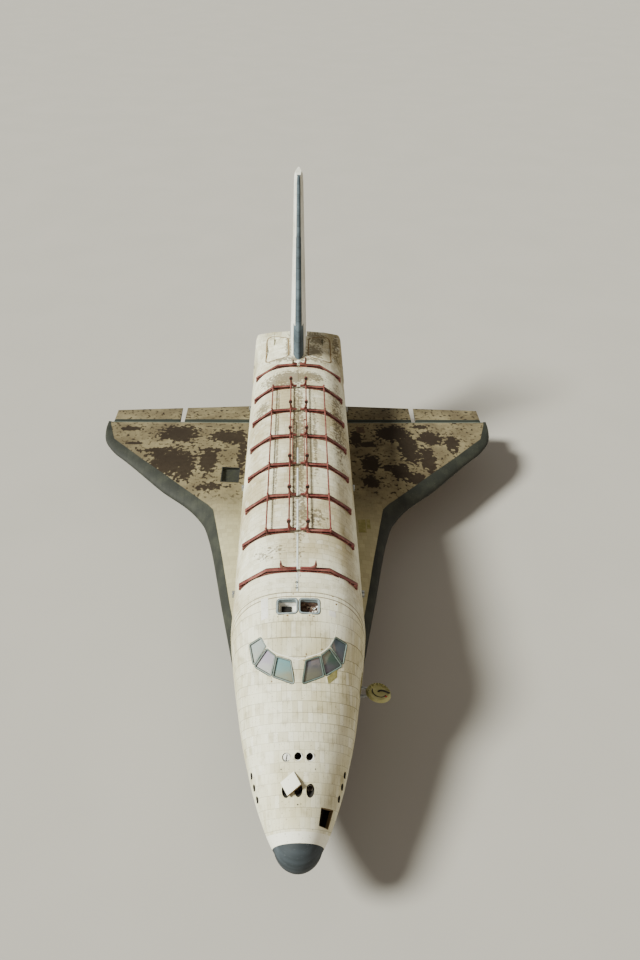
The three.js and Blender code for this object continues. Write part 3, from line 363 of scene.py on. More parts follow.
def placed(piece: Piece, place: Point, direction: Point) -> Piece:
    """Turns a piece that was made along +Z to point in a direction at a place."""
    turn = Vector(direction).to_track_quat("Z", "Y").to_matrix().to_4x4()
    piece.data.transform(Matrix.Translation(Vector(place)) @ turn)
    return piece


def hose(name: str, points: Sequence[Point], radius: float) -> Piece:
    """A pipe along a smooth line through points, as a mesh."""
    curve = bpy.data.curves.new(name, "CURVE")
    curve.dimensions = "3D"
    curve.bevel_depth = radius
    curve.bevel_resolution = 2
    curve.use_fill_caps = True
    spline = curve.splines.new("NURBS")
    spline.points.add(len(points) - 1)
    for point, place in zip(spline.points, points):
        point.co = (*place, 1)
    spline.use_endpoint_u = True
    spline.order_u = 3
    piece = bpy.data.objects.new(name, curve)
    bpy.context.scene.collection.objects.link(piece)
    choose(piece)
    bpy.ops.object.convert(target="MESH")
    return bpy.context.object


def place_on(
    piece: Piece,
    body: str,
    finishes: Sequence[Paint],
    nodes: Sequence[str] = (),
    smooth: float = 32,
) -> Piece:
    """Finishes a piece and makes it ride on its body.

    Args:
        piece: The piece.
        body: The moving body that carries it.
        finishes: Its materials; the cut faces may already have others.
        nodes: The plain nodes that it stands for.
        smooth: Edges sharper than this angle stay sharp.

    Returns:
        The same piece.
    """
    for number, material in enumerate(finishes):
        if number < len(piece.data.materials):
            piece.data.materials[number] = material
        else:
            piece.data.materials.append(material)
    choose(piece)
    bpy.ops.object.shade_smooth_by_angle(angle=math.radians(smooth))
    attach(piece, body)
    if nodes:
        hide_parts(*nodes)
    LOG.info("%s rides on %s with %d faces", piece.name, body, len(piece.data.polygons))
    return piece


def place_pair(
    piece: Piece,
    name: str,
    body: str,
    finishes: Sequence[Paint],
    nodes: Sequence[str] = (),
    smooth: float = 32,
    fresh: bool = False,
) -> None:
    """Finishes a port piece and its mirror image; a star in a name stands for the side.

    Args:
        piece: The port piece.
        name: Name of both pieces.
        body: The bodies that carry them.
        finishes: Their materials.
        nodes: The plain nodes that they stand for.
        smooth: Edges sharper than this angle stay sharp.
        fresh: Whether the mirror image is made first, so that it doesn't take over the port nodes.
    """
    twin = copied(piece, name) if fresh else None
    for side in SIDES:
        one = piece if side == "port" else twin or copied(piece, name)
        one.name = name.replace("*", side)
        named = [node.replace("*", side) for node in nodes]
        place_on(one, body.replace("*", side), finishes, named, smooth)


def dressed(piece: Piece, *materials: Paint) -> Piece:
    """Gives a piece its materials before it is cut."""
    for material in materials:
        piece.data.materials.append(material)
    return piece


def steady(keys: Point, values: Point, x: float | np.ndarray) -> float | np.ndarray:
    """A smooth line through points that never overshoots them.

    Args:
        keys: Rising places.
        values: The value at each place.
        x: Where to read the line.

    Returns:
        The line's value there.
    """
    k, v = np.asarray(keys, float), np.asarray(values, float)
    step = np.diff(k)
    slope = np.diff(v) / step
    rise = np.zeros_like(v)
    rise[0], rise[-1] = slope[0], slope[-1]
    for i in range(1, len(v) - 1):
        if slope[i - 1] * slope[i] > 0:
            a, b = 2 * step[i] + step[i - 1], step[i] + 2 * step[i - 1]
            rise[i] = (a + b) / (a / slope[i - 1] + b / slope[i])
    x = np.clip(x, k[0], k[-1])
    i = np.clip(np.searchsorted(k, x) - 1, 0, len(step) - 1)
    t = (x - k[i]) / step[i]
    a = v[i] * (1 + 2 * t) * (1 - t) ** 2 + rise[i] * step[i] * t * (1 - t) ** 2
    b = v[i + 1] * t**2 * (3 - 2 * t) - rise[i + 1] * step[i] * t**2 * (1 - t)
    return a + b


# Finishes


def linear(colour: str) -> tuple[float, float, float, float]:
    """Turns an sRGB hex colour into linear red, green, blue and alpha."""
    parts = [int(colour[i : i + 2], 16) / 255 for i in (0, 2, 4)]
    made = [c / 12.92 if c <= 0.04045 else ((c + 0.055) / 1.055) ** 2.4 for c in parts]
    return (made[0], made[1], made[2], 1.0)


class Shading:
    """A material's node tree while it is built."""

    def __init__(self, name: str) -> None:
        """Starts a material with a bare surface shader."""
        self.material = bpy.data.materials.new(name)
        self.material.use_nodes = True
        self.tree = self.material.node_tree
        self.shader = self.tree.nodes["Principled BSDF"]

    def add(self, kind: str, inputs: dict | None = None, **settings: object) -> bpy.types.Node:
        """Adds a node with its settings and links.

        Args:
            kind: The node's type, without its ShaderNode prefix.
            inputs: A value or a socket for each input.
            **settings: The node's own settings.

        Returns:
            The new node.
        """
        node = self.tree.nodes.new("ShaderNode" + kind)
        for key, value in settings.items():
            setattr(node, key, value)
        for key, value in (inputs or {}).items():
            if isinstance(value, Socket):
                self.tree.links.new(value, node.inputs[key])
            else:
                node.inputs[key].default_value = value
        return node

    def sum(self, how: str, *values: object) -> Socket:
        """The result of a sum of one to three values."""
        return self.add("Math", dict(enumerate(values)), operation=how).outputs[0]

    def blended(self, share: object, *colours: object) -> Socket:
        """A colour between two others, each a socket or a hex colour."""
        first, second = (linear(colour) if isinstance(colour, str) else colour for colour in colours)
        return self.add("Mix", {0: share, 6: first, 7: second}, data_type="RGBA").outputs[2]

    def faded(self, value: object, low: float, high: float) -> Socket:
        """0 up to low, 1 from high on, and smooth between; low may be the larger."""
        node = self.add("MapRange", {0: value, 1: low, 2: high}, interpolation_type="SMOOTHSTEP")
        return node.outputs[0]

    def place(self) -> Socket:
        """The place on the object, in metres."""
        return self.add("TexCoord").outputs["Object"]

    def cloud(
        self, size: float, where: object, detail: float = 4.0, stretch: tuple = (1, 1, 1)
    ) -> Socket:
        """Mottling from 0 to 1 whose patches measure about a size in metres."""
        scaled = self.add("Mapping", {"Vector": where, "Scale": stretch}).outputs[0]
        return self.add("TexNoise", {"Vector": scaled, "Scale": 1 / size, "Detail": detail}).outputs[0]

    def tiles(self, u: object, v: object, across: float, along: float, gap: float) -> tuple:
        """Lines between rows of tiles and between the tiles of a row, and a number for each tile.

        Args:
            u: Distance along a row.
            v: Distance across the rows.
            across: A tile's width in metres.
            along: A row's depth in metres.
            gap: Half the width of the line that is drawn, in metres.

        Returns:
            The rows' lines, the tiles' lines and the tile's number, from 0 to 1.
        """
        row = self.sum("FLOOR", self.sum("DIVIDE", v, along))
        lot = self.add("TexWhiteNoise", {"W": row}, noise_dimensions="1D").outputs[0]
        u = self.sum("MULTIPLY_ADD", lot, across * 3, u)
        rows = self.faded(self.sum("PINGPONG", v, along / 2), gap, gap * 0.2)
        columns = self.faded(self.sum("PINGPONG", u, across / 2), gap, gap * 0.2)
        cell = self.add(
            "CombineXYZ", {0: self.sum("FLOOR", self.sum("DIVIDE", u, across)), 1: row}
        ).outputs[0]
        return rows, columns, self.add(
            "TexWhiteNoise", {"Vector": cell}, noise_dimensions="3D"
        ).outputs[0]

    def black_tiles(self, u: object, v: object, dust: object) -> Socket:
        """The colour of near-black heat tiles with dust in patches."""
        rows, columns, number = self.tiles(u, v, 0.15, 0.15, 0.006)
        black = self.blended(number, "232526", "34373A")
        black = self.blended(self.sum("MAXIMUM", rows, columns), black, "0E0E0F")
        return self.blended(self.sum("MULTIPLY", self.faded(dust, 0.5, 0.8), 0.3), black, "6E6757")

    def raised(self, height: object, distance: float, strength: float = 1.0) -> None:
        """Gives the surface a relief of a real height in metres."""
        bump = self.add("Bump", {"Height": height, "Distance": distance, "Strength": strength})
        self.tree.links.new(bump.outputs[0], self.shader.inputs["Normal"])

    def set(self, **values: object) -> None:
        """Sets the surface shader's sockets, with _ for a space in a name."""
        for key, value in values.items():
            socket = self.shader.inputs[key.replace("_", " ")]
            if isinstance(value, Socket):
                self.tree.links.new(value, socket)
            else:
                socket.default_value = value


@dataclass(frozen=True)
class Stain:
    """A soft-edged patch at a place on the plan, with its half sizes in metres."""

    x: float
    s: float
    wide: float
    long: float
    strength: float = 1.0


def patches_at(*rows: Point) -> tuple[Stain, ...]:
    """Patches from rows of their place, half sizes and strength."""
    return tuple(Stain(*row) for row in rows)


def stained(
    shade: Shading, where: object, stains: Sequence[Stain], ragged: object, depth: float, soft: float
) -> Socket:
    """The mask of patches whose edges are broken up by a cloud.

    Args:
        shade: The material.
        where: The place on the object.
        stains: The patches.
        ragged: The cloud that breaks the edges.
        depth: How far the cloud eats into a patch.
        soft: Half the width of the edge's fade.

    Returns:
        The mask from 0 to 1.
    """
    total: object = 0.0
    for stain in stains:
        size = (1 / stain.wide, 1 / stain.long, 0)
        shift = (-stain.x / stain.wide, -at(stain.s) / stain.long, 0)
        flat = shade.add("Mapping", {"Vector": where, "Location": shift, "Scale": size}).outputs[0]
        reach = shade.add("VectorMath", {0: flat}, operation="LENGTH").outputs["Value"]
        patch = shade.sum("MULTIPLY", shade.faded(reach, 1.5, 0.2), stain.strength)
        total = shade.sum("MAXIMUM", total, patch)
    eaten = shade.sum("MULTIPLY", shade.sum("SUBTRACT", ragged, 0.5), depth)
    return shade.faded(shade.sum("ADD", total, eaten), 0.5 - soft, 0.5 + soft)


@dataclass(frozen=True)
class TiledHull:
    """White fired tiles and felt under decades of dust, with near-black tiles under the belly.

    The tiles are matt, their joints have gone brown, and each tile has aged a little differently.
    """

    name: str
    light: str = "E6E5CE"
    warm: str = "C4BE9B"
    joint: str = "4C3E27"
    across: float = 0.21
    along: float = 0.40
    rows: float = 0.75  # strength of the lines between rows
    columns: float = 0.5
    variety: float = 0.3
    ring: float = -9.0  # pattern coordinate up to which a plain white ring runs
    start: float = 0.0  # pattern coordinate of a joint between rows
    calm: float = -9.0  # pattern coordinate up to which the lines are faint
    belly: Pair = (2.95, 2.45)  # top of the black tiles at the nose and from the wings aft
    stains: tuple[Stain, ...] = ()
    stain_colour: str = "54472F"
    specks: float = 0.5  # strength of the small dark specks
    belts: tuple[float, ...] = ()  # stations of brown seams round the body
    uses_map: bool = True

    def material(self) -> Paint:
        """Builds the finish."""
        shade = Shading(self.name)
        where = shade.place()
        axes = shade.add("SeparateXYZ", {0: where}).outputs
        flat = shade.add("SeparateXYZ", {0: shade.add("UVMap", uv_map=SURFACE).outputs[0]}).outputs
        u, v = (flat[0], flat[1]) if self.uses_map else (axes[0], axes[1])
        wave = shade.add(
            "TexNoise", {"W": v, "Scale": 0.9, "Detail": 1.0}, noise_dimensions="1D"
        ).outputs[0]
        uneven = shade.sum("MULTIPLY_ADD", wave, self.along * 1.2, shade.sum("SUBTRACT", v, self.start))
        rows, columns, number = shade.tiles(u, uneven, self.across, self.along, 0.014)
        broad = shade.cloud(2.2, where, 6, (1, 0.45, 1))
        patchy = shade.cloud(0.45, where, 8)
        fine = shade.cloud(0.03, where, 3)
        tiled = shade.faded(v, self.ring - 0.004, self.ring + 0.004)
        colour = shade.blended(shade.faded(broad, 0.36, 0.68), self.light, self.warm)
        aged = shade.sum("MULTIPLY", shade.faded(number, 0.55, 1.0), self.variety)
        colour = shade.blended(aged, colour, "A59A74")
        fresh = shade.sum("MULTIPLY", shade.faded(number, 0.3, 0.0), self.variety)
        colour = shade.blended(fresh, colour, "F1F2E6")
        colour = shade.blended(
            shade.sum("MULTIPLY", shade.faded(patchy, 0.52, 0.76), 0.4), colour, "857A55"
        )
        worn = shade.faded(patchy, 0.3, 0.62)
        lines = shade.sum("MULTIPLY", columns, shade.sum("MULTIPLY", worn, self.columns))
        lines = shade.sum("MAXIMUM", lines, shade.sum("MULTIPLY", rows, self.rows))
        share = shade.sum("MULTIPLY_ADD", shade.faded(v, self.calm, self.calm + 0.8), 0.45, 0.55)
        share = shade.sum(
            "MULTIPLY", share, shade.sum("MULTIPLY_ADD", shade.faded(broad, 0.3, 0.6), 0.6, 0.4)
        )
        lines = shade.sum("MULTIPLY", lines, share)
        colour = shade.blended(lines, colour, self.joint)
        colour = shade.blended(tiled, "E9E9DA", colour)
        specks = shade.sum("MULTIPLY", shade.faded(shade.cloud(0.06, where, 5), 0.62, 0.7), self.specks)
        colour = shade.blended(specks, colour, "5C4A31")
        for station in self.belts:
            leaning = shade.sum("MULTIPLY_ADD", axes[2], -0.12, axes[1])
            away = shade.sum("ABSOLUTE", shade.sum("SUBTRACT", leaning, at(station) - 0.12 * 7.85))
            belt = shade.sum("MULTIPLY", shade.faded(away, 0.028, 0.012), 0.85)
            colour = shade.blended(belt, colour, "5A452B")
        if self.stains:
            mask = stained(shade, where, self.stains, shade.cloud(0.14, where, 10), 2.3, 0.16)
            colour = shade.blended(shade.sum("MULTIPLY", mask, 0.72), colour, self.stain_colour)
        nose_share = shade.faded(axes[1], at(7.0), at(1.0))
        top = shade.sum("MULTIPLY_ADD", nose_share, self.belly[0] - self.belly[1], self.belly[1])
        under = shade.faded(shade.sum("SUBTRACT", top, axes[2]), -0.004, 0.004)
        shade.set(Base_Color=shade.blended(under, colour, shade.black_tiles(u, v, patchy)))
        shade.set(Roughness=shade.sum("MULTIPLY_ADD", under, -0.3, 0.86), Specular_IOR_Level=0.3)
        shade.raised(shade.sum("SUBTRACT", shade.sum("MULTIPLY", fine, 0.25), lines), 0.004, 0.6)
        return shade.material


@dataclass(frozen=True)
class WingFelt:
    """Felt blankets on the wings' tops, tan with dust and kept dark partly as painted shade, with large
    damp-brown patches; black tiles below.
    """

    name: str
    stains: tuple[Stain, ...]
    # dust and pale are kept dark: partly the felt's dust and partly painted shade over the wings
    dust: str = "5F5641"
    pale: str = "7C7358"
    # painted light: a lighter colour at the front of the wing
    lit_strake: str = "A8A283"  # towards the front, where the wing is narrow
    damp: str = "1E140C"
    band: float = 0.0  # station up to which a dark sealing band covers the front

    def material(self) -> Paint:
        """Builds the finish."""
        shade = Shading(self.name)
        where = shade.place()
        axes = shade.add("SeparateXYZ", {0: where}).outputs
        rows, columns, number = shade.tiles(axes[0], axes[1], 0.3, 0.3, 0.009)
        line = shade.sum("MAXIMUM", rows, columns)
        broad = shade.cloud(1.5, where, 7)
        speck = shade.cloud(0.22, where, 12)
        colour = shade.blended(shade.faded(broad, 0.36, 0.66), self.dust, self.pale)
        ahead = shade.sum("ADD", axes[1], shade.sum("MULTIPLY", broad, 3.0))
        # painted light: the wing turns lighter towards its front
        colour = shade.blended(shade.faded(ahead, at(23.5), at(18.0)), colour, self.lit_strake)
        colour = shade.blended(shade.sum("MULTIPLY", number, 0.2), colour, "4A412E")
        dirty = shade.sum(
            "MULTIPLY", shade.faded(speck, 0.5, 0.66), shade.faded(axes[1], at(18.0), at(23.0))
        )
        colour = shade.blended(shade.sum("MULTIPLY", dirty, 0.6), colour, "443923")
        colour = shade.blended(shade.sum("MULTIPLY", line, 0.3), colour, "3A3122")
        mask = stained(shade, where, self.stains, shade.sum("ADD", speck, 0.08), 2.6, 0.1)
        mask = shade.sum("MULTIPLY", mask, shade.faded(axes[1], at(20.4), at(21.4)))
        colour = shade.blended(shade.sum("MULTIPLY", mask, 0.93), colour, self.damp)
        if self.band:
            covered = shade.faded(axes[1], at(self.band) + 0.01, at(self.band) - 0.01)
            colour = shade.blended(covered, colour, "262B26")
        facing = shade.add("SeparateXYZ", {0: shade.add("NewGeometry").outputs["Normal"]}).outputs[2]
        under = shade.faded(facing, -0.02, -0.06)
        shade.set(Base_Color=shade.blended(under, colour, shade.black_tiles(axes[0], axes[1], broad)))
        shade.set(Roughness=shade.sum("MULTIPLY_ADD", under, -0.35, 0.9), Specular_IOR_Level=0.25)
        shade.raised(shade.sum("SUBTRACT", shade.cloud(0.05, where, 4), line), 0.004, 0.5)
        return shade.material


@dataclass(frozen=True)
class CarbonEdge:
    """Grey-green hard carbon panels: matt, dusty on top, with a dark joint between panels."""

    name: str
    colour: str = "22251F"
    dust: str = "3A3D32"
    shadow: str = "171A16"
    speck: str = "5A5B4C"
    panel: float = 0.62  # distance between joints along the edge
    streaks: Triple = (1.0, 1.0, 1.0)  # how much shorter the dust's patches are by axis

    def material(self) -> Paint:
        """Builds the finish."""
        shade = Shading(self.name)
        where = shade.place()
        u = shade.add("SeparateXYZ", {0: shade.add("UVMap", uv_map=SURFACE).outputs[0]}).outputs[0]
        joint = shade.faded(
            shade.sum("PINGPONG", shade.sum("ADD", u, self.panel / 2), self.panel / 2), 0.012, 0.004
        )
        broad = shade.cloud(0.9, where, 6, self.streaks)
        speck = shade.cloud(0.07, where, 6, self.streaks)
        lot = shade.sum("FLOOR", shade.sum("DIVIDE", u, self.panel))
        number = shade.add("TexWhiteNoise", {"W": lot}, noise_dimensions="1D").outputs[0]
        colour = shade.blended(shade.sum("MULTIPLY", number, 0.35), self.colour, self.shadow)
        colour = shade.blended(
            shade.sum("MULTIPLY", shade.faded(broad, 0.4, 0.75), 0.6), colour, self.dust
        )
        colour = shade.blended(
            shade.sum("MULTIPLY", shade.faded(speck, 0.62, 0.72), 0.35), colour, self.speck
        )
        colour = shade.blended(joint, colour, "191B19")
        shade.set(Base_Color=colour, Roughness=0.72, Specular_IOR_Level=0.35)
        shade.raised(shade.sum("SUBTRACT", shade.sum("MULTIPLY", speck, 0.3), joint), 0.006, 0.7)
        return shade.material


@dataclass(frozen=True)
class Painted:
    """Paint or bare metal with faded patches, worn edges and a fine grain."""

    name: str
    colour: str
    worn: str
    dirt: str
    patch: float = 0.4  # size of a faded patch in metres
    wear: float = 0.35
    metallic: float = 0.0
    roughness: float = 0.55
    grain: float = 0.01
    relief: float = 0.001

    def material(self) -> Paint:
        """Builds the finish."""
        shade = Shading(self.name)
        where = shade.place()
        broad = shade.cloud(self.patch, where, 6)
        grain = shade.cloud(self.grain, where, 3)
        speck = shade.cloud(self.patch / 5, where, 8)
        colour = shade.blended(
            shade.sum("MULTIPLY", shade.faded(broad, 0.4, 0.7), self.wear * 2), self.colour, self.worn
        )
        colour = shade.blended(
            shade.sum("MULTIPLY", shade.faded(speck, 0.56, 0.7), self.wear), colour, self.dirt
        )
        shade.set(
            Base_Color=colour,
            Metallic=self.metallic,
            Roughness=shade.sum("MULTIPLY_ADD", speck, 0.2, self.roughness - 0.1),
        )
        shade.raised(grain, self.relief, 0.6)
        return shade.material


@dataclass(frozen=True)
class CabinGlass:
    """Thick laminated window glass: glossy, with bands of colour from its old coatings and dust on it."""

    name: str
    low: str  # colour of the film at the pane's foot
    high: str
    first: float  # stations of the pane's foot and head
    last: float
    clear: float = 0.05  # share of light that passes

    def material(self) -> Paint:
        """Builds the finish."""
        shade = Shading(self.name)
        where = shade.place()
        film = shade.cloud(0.3, where, 2, (0.5, 1, 1))
        y = shade.add("SeparateXYZ", {0: where}).outputs[1]
        y = shade.sum("MULTIPLY_ADD", shade.sum("SUBTRACT", film, 0.5), 0.5, y)
        colour = shade.blended(shade.faded(y, at(self.first), at(self.last)), self.low, self.high)
        dust = shade.cloud(0.12, where, 7)
        shade.set(
            Base_Color=colour,
            Roughness=shade.sum("MULTIPLY_ADD", shade.faded(dust, 0.4, 0.8), 0.25, 0.06),
        )
        shade.set(Transmission_Weight=self.clear, Coat_Weight=0.6, Coat_Roughness=0.04)
        return shade.material


# the narrow strip at x -1.05 is a painted shadow of the starboard outer rod; the other patches are stains
DOOR_STAINS_AND_ROD_SHADOW = patches_at(
    (-0.45, 25.75, 1.0, 0.9, 1.0), (0.75, 26.0, 0.9, 0.55, 0.85), (-1.3, 25.5, 0.7, 0.6, 0.8),
    (0.0, 19.0, 0.36, 9.0, 0.74), (-1.05, 20.0, 0.06, 6.4, 0.8), (-0.4, 25.9, 1.9, 0.7, 0.9),
    (0.16, 14.0, 0.3, 1.3, 0.75), (0.75, 13.6, 0.6, 0.7, 0.6), (-1.95, 23.2, 0.4, 0.7, 0.8),
    (0.85, 20.5, 0.16, 4.4, 0.62), (2.1, 22.0, 0.5, 5.0, 0.55), (-1.2, 11.4, 0.8, 0.5, 0.5),
)
AFT_STAINS = patches_at(
    (0.95, 29.2, 0.6, 1.3, 0.85), (1.1, 31.3, 0.7, 1.2, 0.8), (-0.6, 29.8, 0.25, 2.2, 0.75),
    (0.0, 28.0, 1.6, 0.35, 0.8), (-1.1, 28.1, 0.8, 0.25, 0.7), (2.3, 30.5, 0.3, 1.6, 0.7),
)
WING_STAINS_STARBOARD = patches_at(
    (-7.30, 27.53, 1.25, 1.0), (-4.43, 27.19, 0.95, 0.75, 0.95), (-7.40, 24.43, 1.40, 1.35),
    (-6.57, 23.64, 0.64, 1.05, 0.95), (-5.26, 24.43, 0.56, 1.35, 0.95),
    (-10.33, 28.14, 0.75, 0.27, 0.85), (-9.96, 26.43, 0.60, 0.16, 0.85), (-3.64, 27.11, 0.50, 1.0, 0.8),
    (-3.34, 25.25, 0.28, 2.3, 0.75), (-8.31, 25.64, 1.2, 0.22, 0.8), (-5.17, 25.57, 0.75, 0.22, 0.8),
    (-4.94, 21.84, 0.9, 0.36, 0.7),
)
WING_STAINS_PORT = patches_at(
    (5.84, 27.49, 1.1, 0.95), (6.65, 25.77, 0.6, 1.75), (8.07, 26.97, 0.7, 0.85),
    (9.37, 26.46, 0.5, 0.9, 0.95), (7.69, 24.78, 0.5, 1.4, 0.95), (5.92, 23.35, 0.56, 0.76, 0.95),
    (6.69, 22.74, 0.55, 0.53, 0.9), (4.22, 24.13, 0.56, 0.94, 0.9), (4.08, 22.29, 0.45, 0.6, 0.9),
    (4.17, 26.27, 0.5, 0.34, 0.85), (3.53, 26.96, 0.4, 1.0, 0.8), (7.64, 28.40, 0.65, 0.2, 0.85),
    (5.21, 23.66, 0.33, 0.39, 0.85),
)


@dataclass
class Finishes:
    """Every material of the orbiter, built once."""

    nose: Paint = field(init=False)

    def __post_init__(self) -> None:
        """Builds all the materials."""

        def paint(*row: object) -> Paint:
            """Builds a paint from its row of values."""
            return Painted(*row).material()

        self.nose = TiledHull(
            "fired_tiles_nose",
            across=0.19,
            columns=0.62,
            variety=0.3,
            ring=0.906,
            start=1.27,
            calm=3.6,
            belts=(8.68, 8.88),
        ).material()
        felt = {"across": 0.3, "along": 0.3}
        bare = {"belly": (0.0, 0.0), "uses_map": False}
        self.sides = TiledHull("felt_sides", rows=0.3, columns=0.3, **felt).material()
        self.doors = TiledHull(
            "felt_bay_doors",
            warm="B3A987",
            rows=0.5,
            columns=0.45,
            variety=0.25,
            belly=(0.0, 0.0),
            stains=DOOR_STAINS_AND_ROD_SHADOW,
            **felt,
        ).material()
        worn = {"warm": "A69D7C", "rows": 0.4, "columns": 0.4, "stains": AFT_STAINS, "specks": 0.85}
        self.aft = TiledHull("felt_aft_body", **worn, **felt).material()
        self.pods = TiledHull("felt_pods", **worn, **felt, **bare).material()
        self.fin = TiledHull(
            "felt_fin",
            light="E4E6E0",
            warm="CFCFC2",
            rows=0.25,
            columns=0.2,
            variety=0.12,
            **felt,
            **bare,
        ).material()
        plain = {"across": 9, "along": 9, "rows": 0.0, "columns": 0.0, "variety": 0.0}
        self.cover = TiledHull("cover_tile", light="B1AA8C", warm="979071", **plain, **bare).material()
        self.wing_port = WingFelt("felt_wing_port", WING_STAINS_PORT).material()
        self.wing_starboard = WingFelt("felt_wing_starboard", WING_STAINS_STARBOARD).material()
        self.elevons = WingFelt("felt_elevons", (), band=29.37).material()
        self.edge = CarbonEdge("carbon_wing_edges").material()
        self.fin_edge = CarbonEdge(
            "carbon_fin_edge", colour="3D4A52", dust="5F6F78", shadow="252E33", speck="7B8B92"
        ).material()
        self.cap = CarbonEdge(
            "carbon_nose_cap", "2B3236", "49525A", "20262A", "6A7074", panel=900, streaks=(0.25, 1.0, 3.0)
        ).material()
        self.red = paint("faded_red_paint", "66302C", "8E5A50", "341815", 0.35, 0.42)
        # painted shade: a darker copy of the red for the beams' webs, a strip on their far top edge, and the
        # claws' cheeks and pins
        self.groove = paint("shaded_red_paint", "2A1210", "4A2A25", "180A08", 0.5, 0.4)
        self.signal = paint("red_knob", "A8281C", "B84434", "5C1C16", 0.1, 0.2)
        # the port frames take a darker copy of the grey paint: painted shade on the port side
        self.frames = {
            "starboard": paint("grey_window_paint", "76837F", "9AA59F", "3C4542", 0.2, 0.3),
            "port": paint("dark_window_paint", "566560", "6B7870", "232B27", 0.2, 0.3),
        }
        self.light_rims = paint("grey_rim_paint", "7D8B90", "A0ABAC", "464E50", 0.2, 0.3)
        self.alloy = paint("aged_aluminium", "A6A9AB", "C4C6C7", "6B655A", 0.15, 0.35, 0.9, 0.38)
        self.steel = paint("burnt_nozzle_steel", "70695F", "9A948A", "2F2A25", 0.2, 0.4, 0.95, 0.42)
        self.chrome = paint("chromed_piston", "C9CCCE", "DDDFE0", "8A8C8E", 0.3, 0.1, 1.0, 0.14)
        self.primer = paint("yellow_green_primer", "77723F", "8F8A5C", "4B4528", 0.25, 0.4, 0.0, 0.7)
        # the hatch's primer is paler than elsewhere, partly its own tone and partly painted light against
        # the port flank's shade
        self.hatch_paint = paint("pale_green_primer", "A6A36C", "BDB98C", "66613A", 0.25, 0.3, 0.0, 0.6)
        # painted shade: near-black for the walls of mouths, holes and hollows, the flank liners and the roof
        # light's gap
        self.dark = paint("painted_shade_cavity", "15130F", "201C16", "0A0908", 0.3, 0.3, 0.0, 0.9)
        self.tray = paint("red_brown_tray", "4A342A", "8A7A66", "231A15", 0.15, 0.4, 0.0, 0.8)
        self.white = paint("white_enamel", "D9D9D2", "E8E8E3", "9A9484", 0.3, 0.3, 0.0, 0.45)
        self.bare_tile = paint("bare_tile_edge", "705B3A", "8A744E", "3E301E", 0.2, 0.4, 0.0, 0.9)
        self.cabin = paint("grey_cabin_paint", "7C8078", "90948C", "55584F", 0.3, 0.3, 0.0, 0.6)
        self.rubber = paint("tyre_rubber", "1D1D1C", "2C2B29", "4A4740", 0.2, 0.4, 0.0, 0.8, 0.006, 0.002)
        self.seal = paint("black_window_seal", "1B1C1B", "2A2B29", "0F0F0E", 0.1, 0.2, 0.0, 0.7)
        self.seal_paint = paint("grey_green_seal", "4C534B", "6C7167", "2C302B", 0.5, 0.35, 0.0, 0.8)
        self.pit = paint("shaded_primer", "14160E", "222514", "0B0C08", 0.2, 0.4, 0.0, 0.8)
        self.rust = paint("brown_patch", "3A2C1D", "54422C", "1E160E", 0.15, 0.5, 0.0, 0.9)
        self.strip = paint("pale_seam_strip", "C9D2D0", "DDE3E0", "8D948F", 0.6, 0.3, 0.0, 0.6)
        self.black = TiledHull("black_heat_tiles", belly=(90.0, 90.0), uses_map=False).material()
        films = {  # colours at the foot and the head of each pane
            "starboard": {
                "inner": ("8E8C76", "6F979C"),
                "middle": ("B9BFB6", "A79FB4"),
                "outer": ("A9AEA6", "9DA9A8"),
            },
            # painted shade: the port panes' colours are darker than the starboard ones
            "port": {
                "inner": ("7A7A66", "5A5A66"),
                "middle": ("6A6270", "3E5A4C"),
                "outer": ("74727E", "566874"),
            },
        }
        spans = {"inner": (5.93, 6.6), "middle": (6.2, 6.9), "outer": (6.6, 7.3)}
        self.glass = {
            side: {
                name: CabinGlass(f"glass_{side}_{name}", *pair, *spans[name]).material()
                for name, pair in row.items()
            }
            for side, row in films.items()
        }


# Body of the orbiter


@dataclass(frozen=True)
class Section:
    """A body section: half width, height of the widest line, belly, roof, and how square each half is."""

    s: float
    wide: float
    waist: float
    belly: float
    roof: float
    upper: float
    lower: float


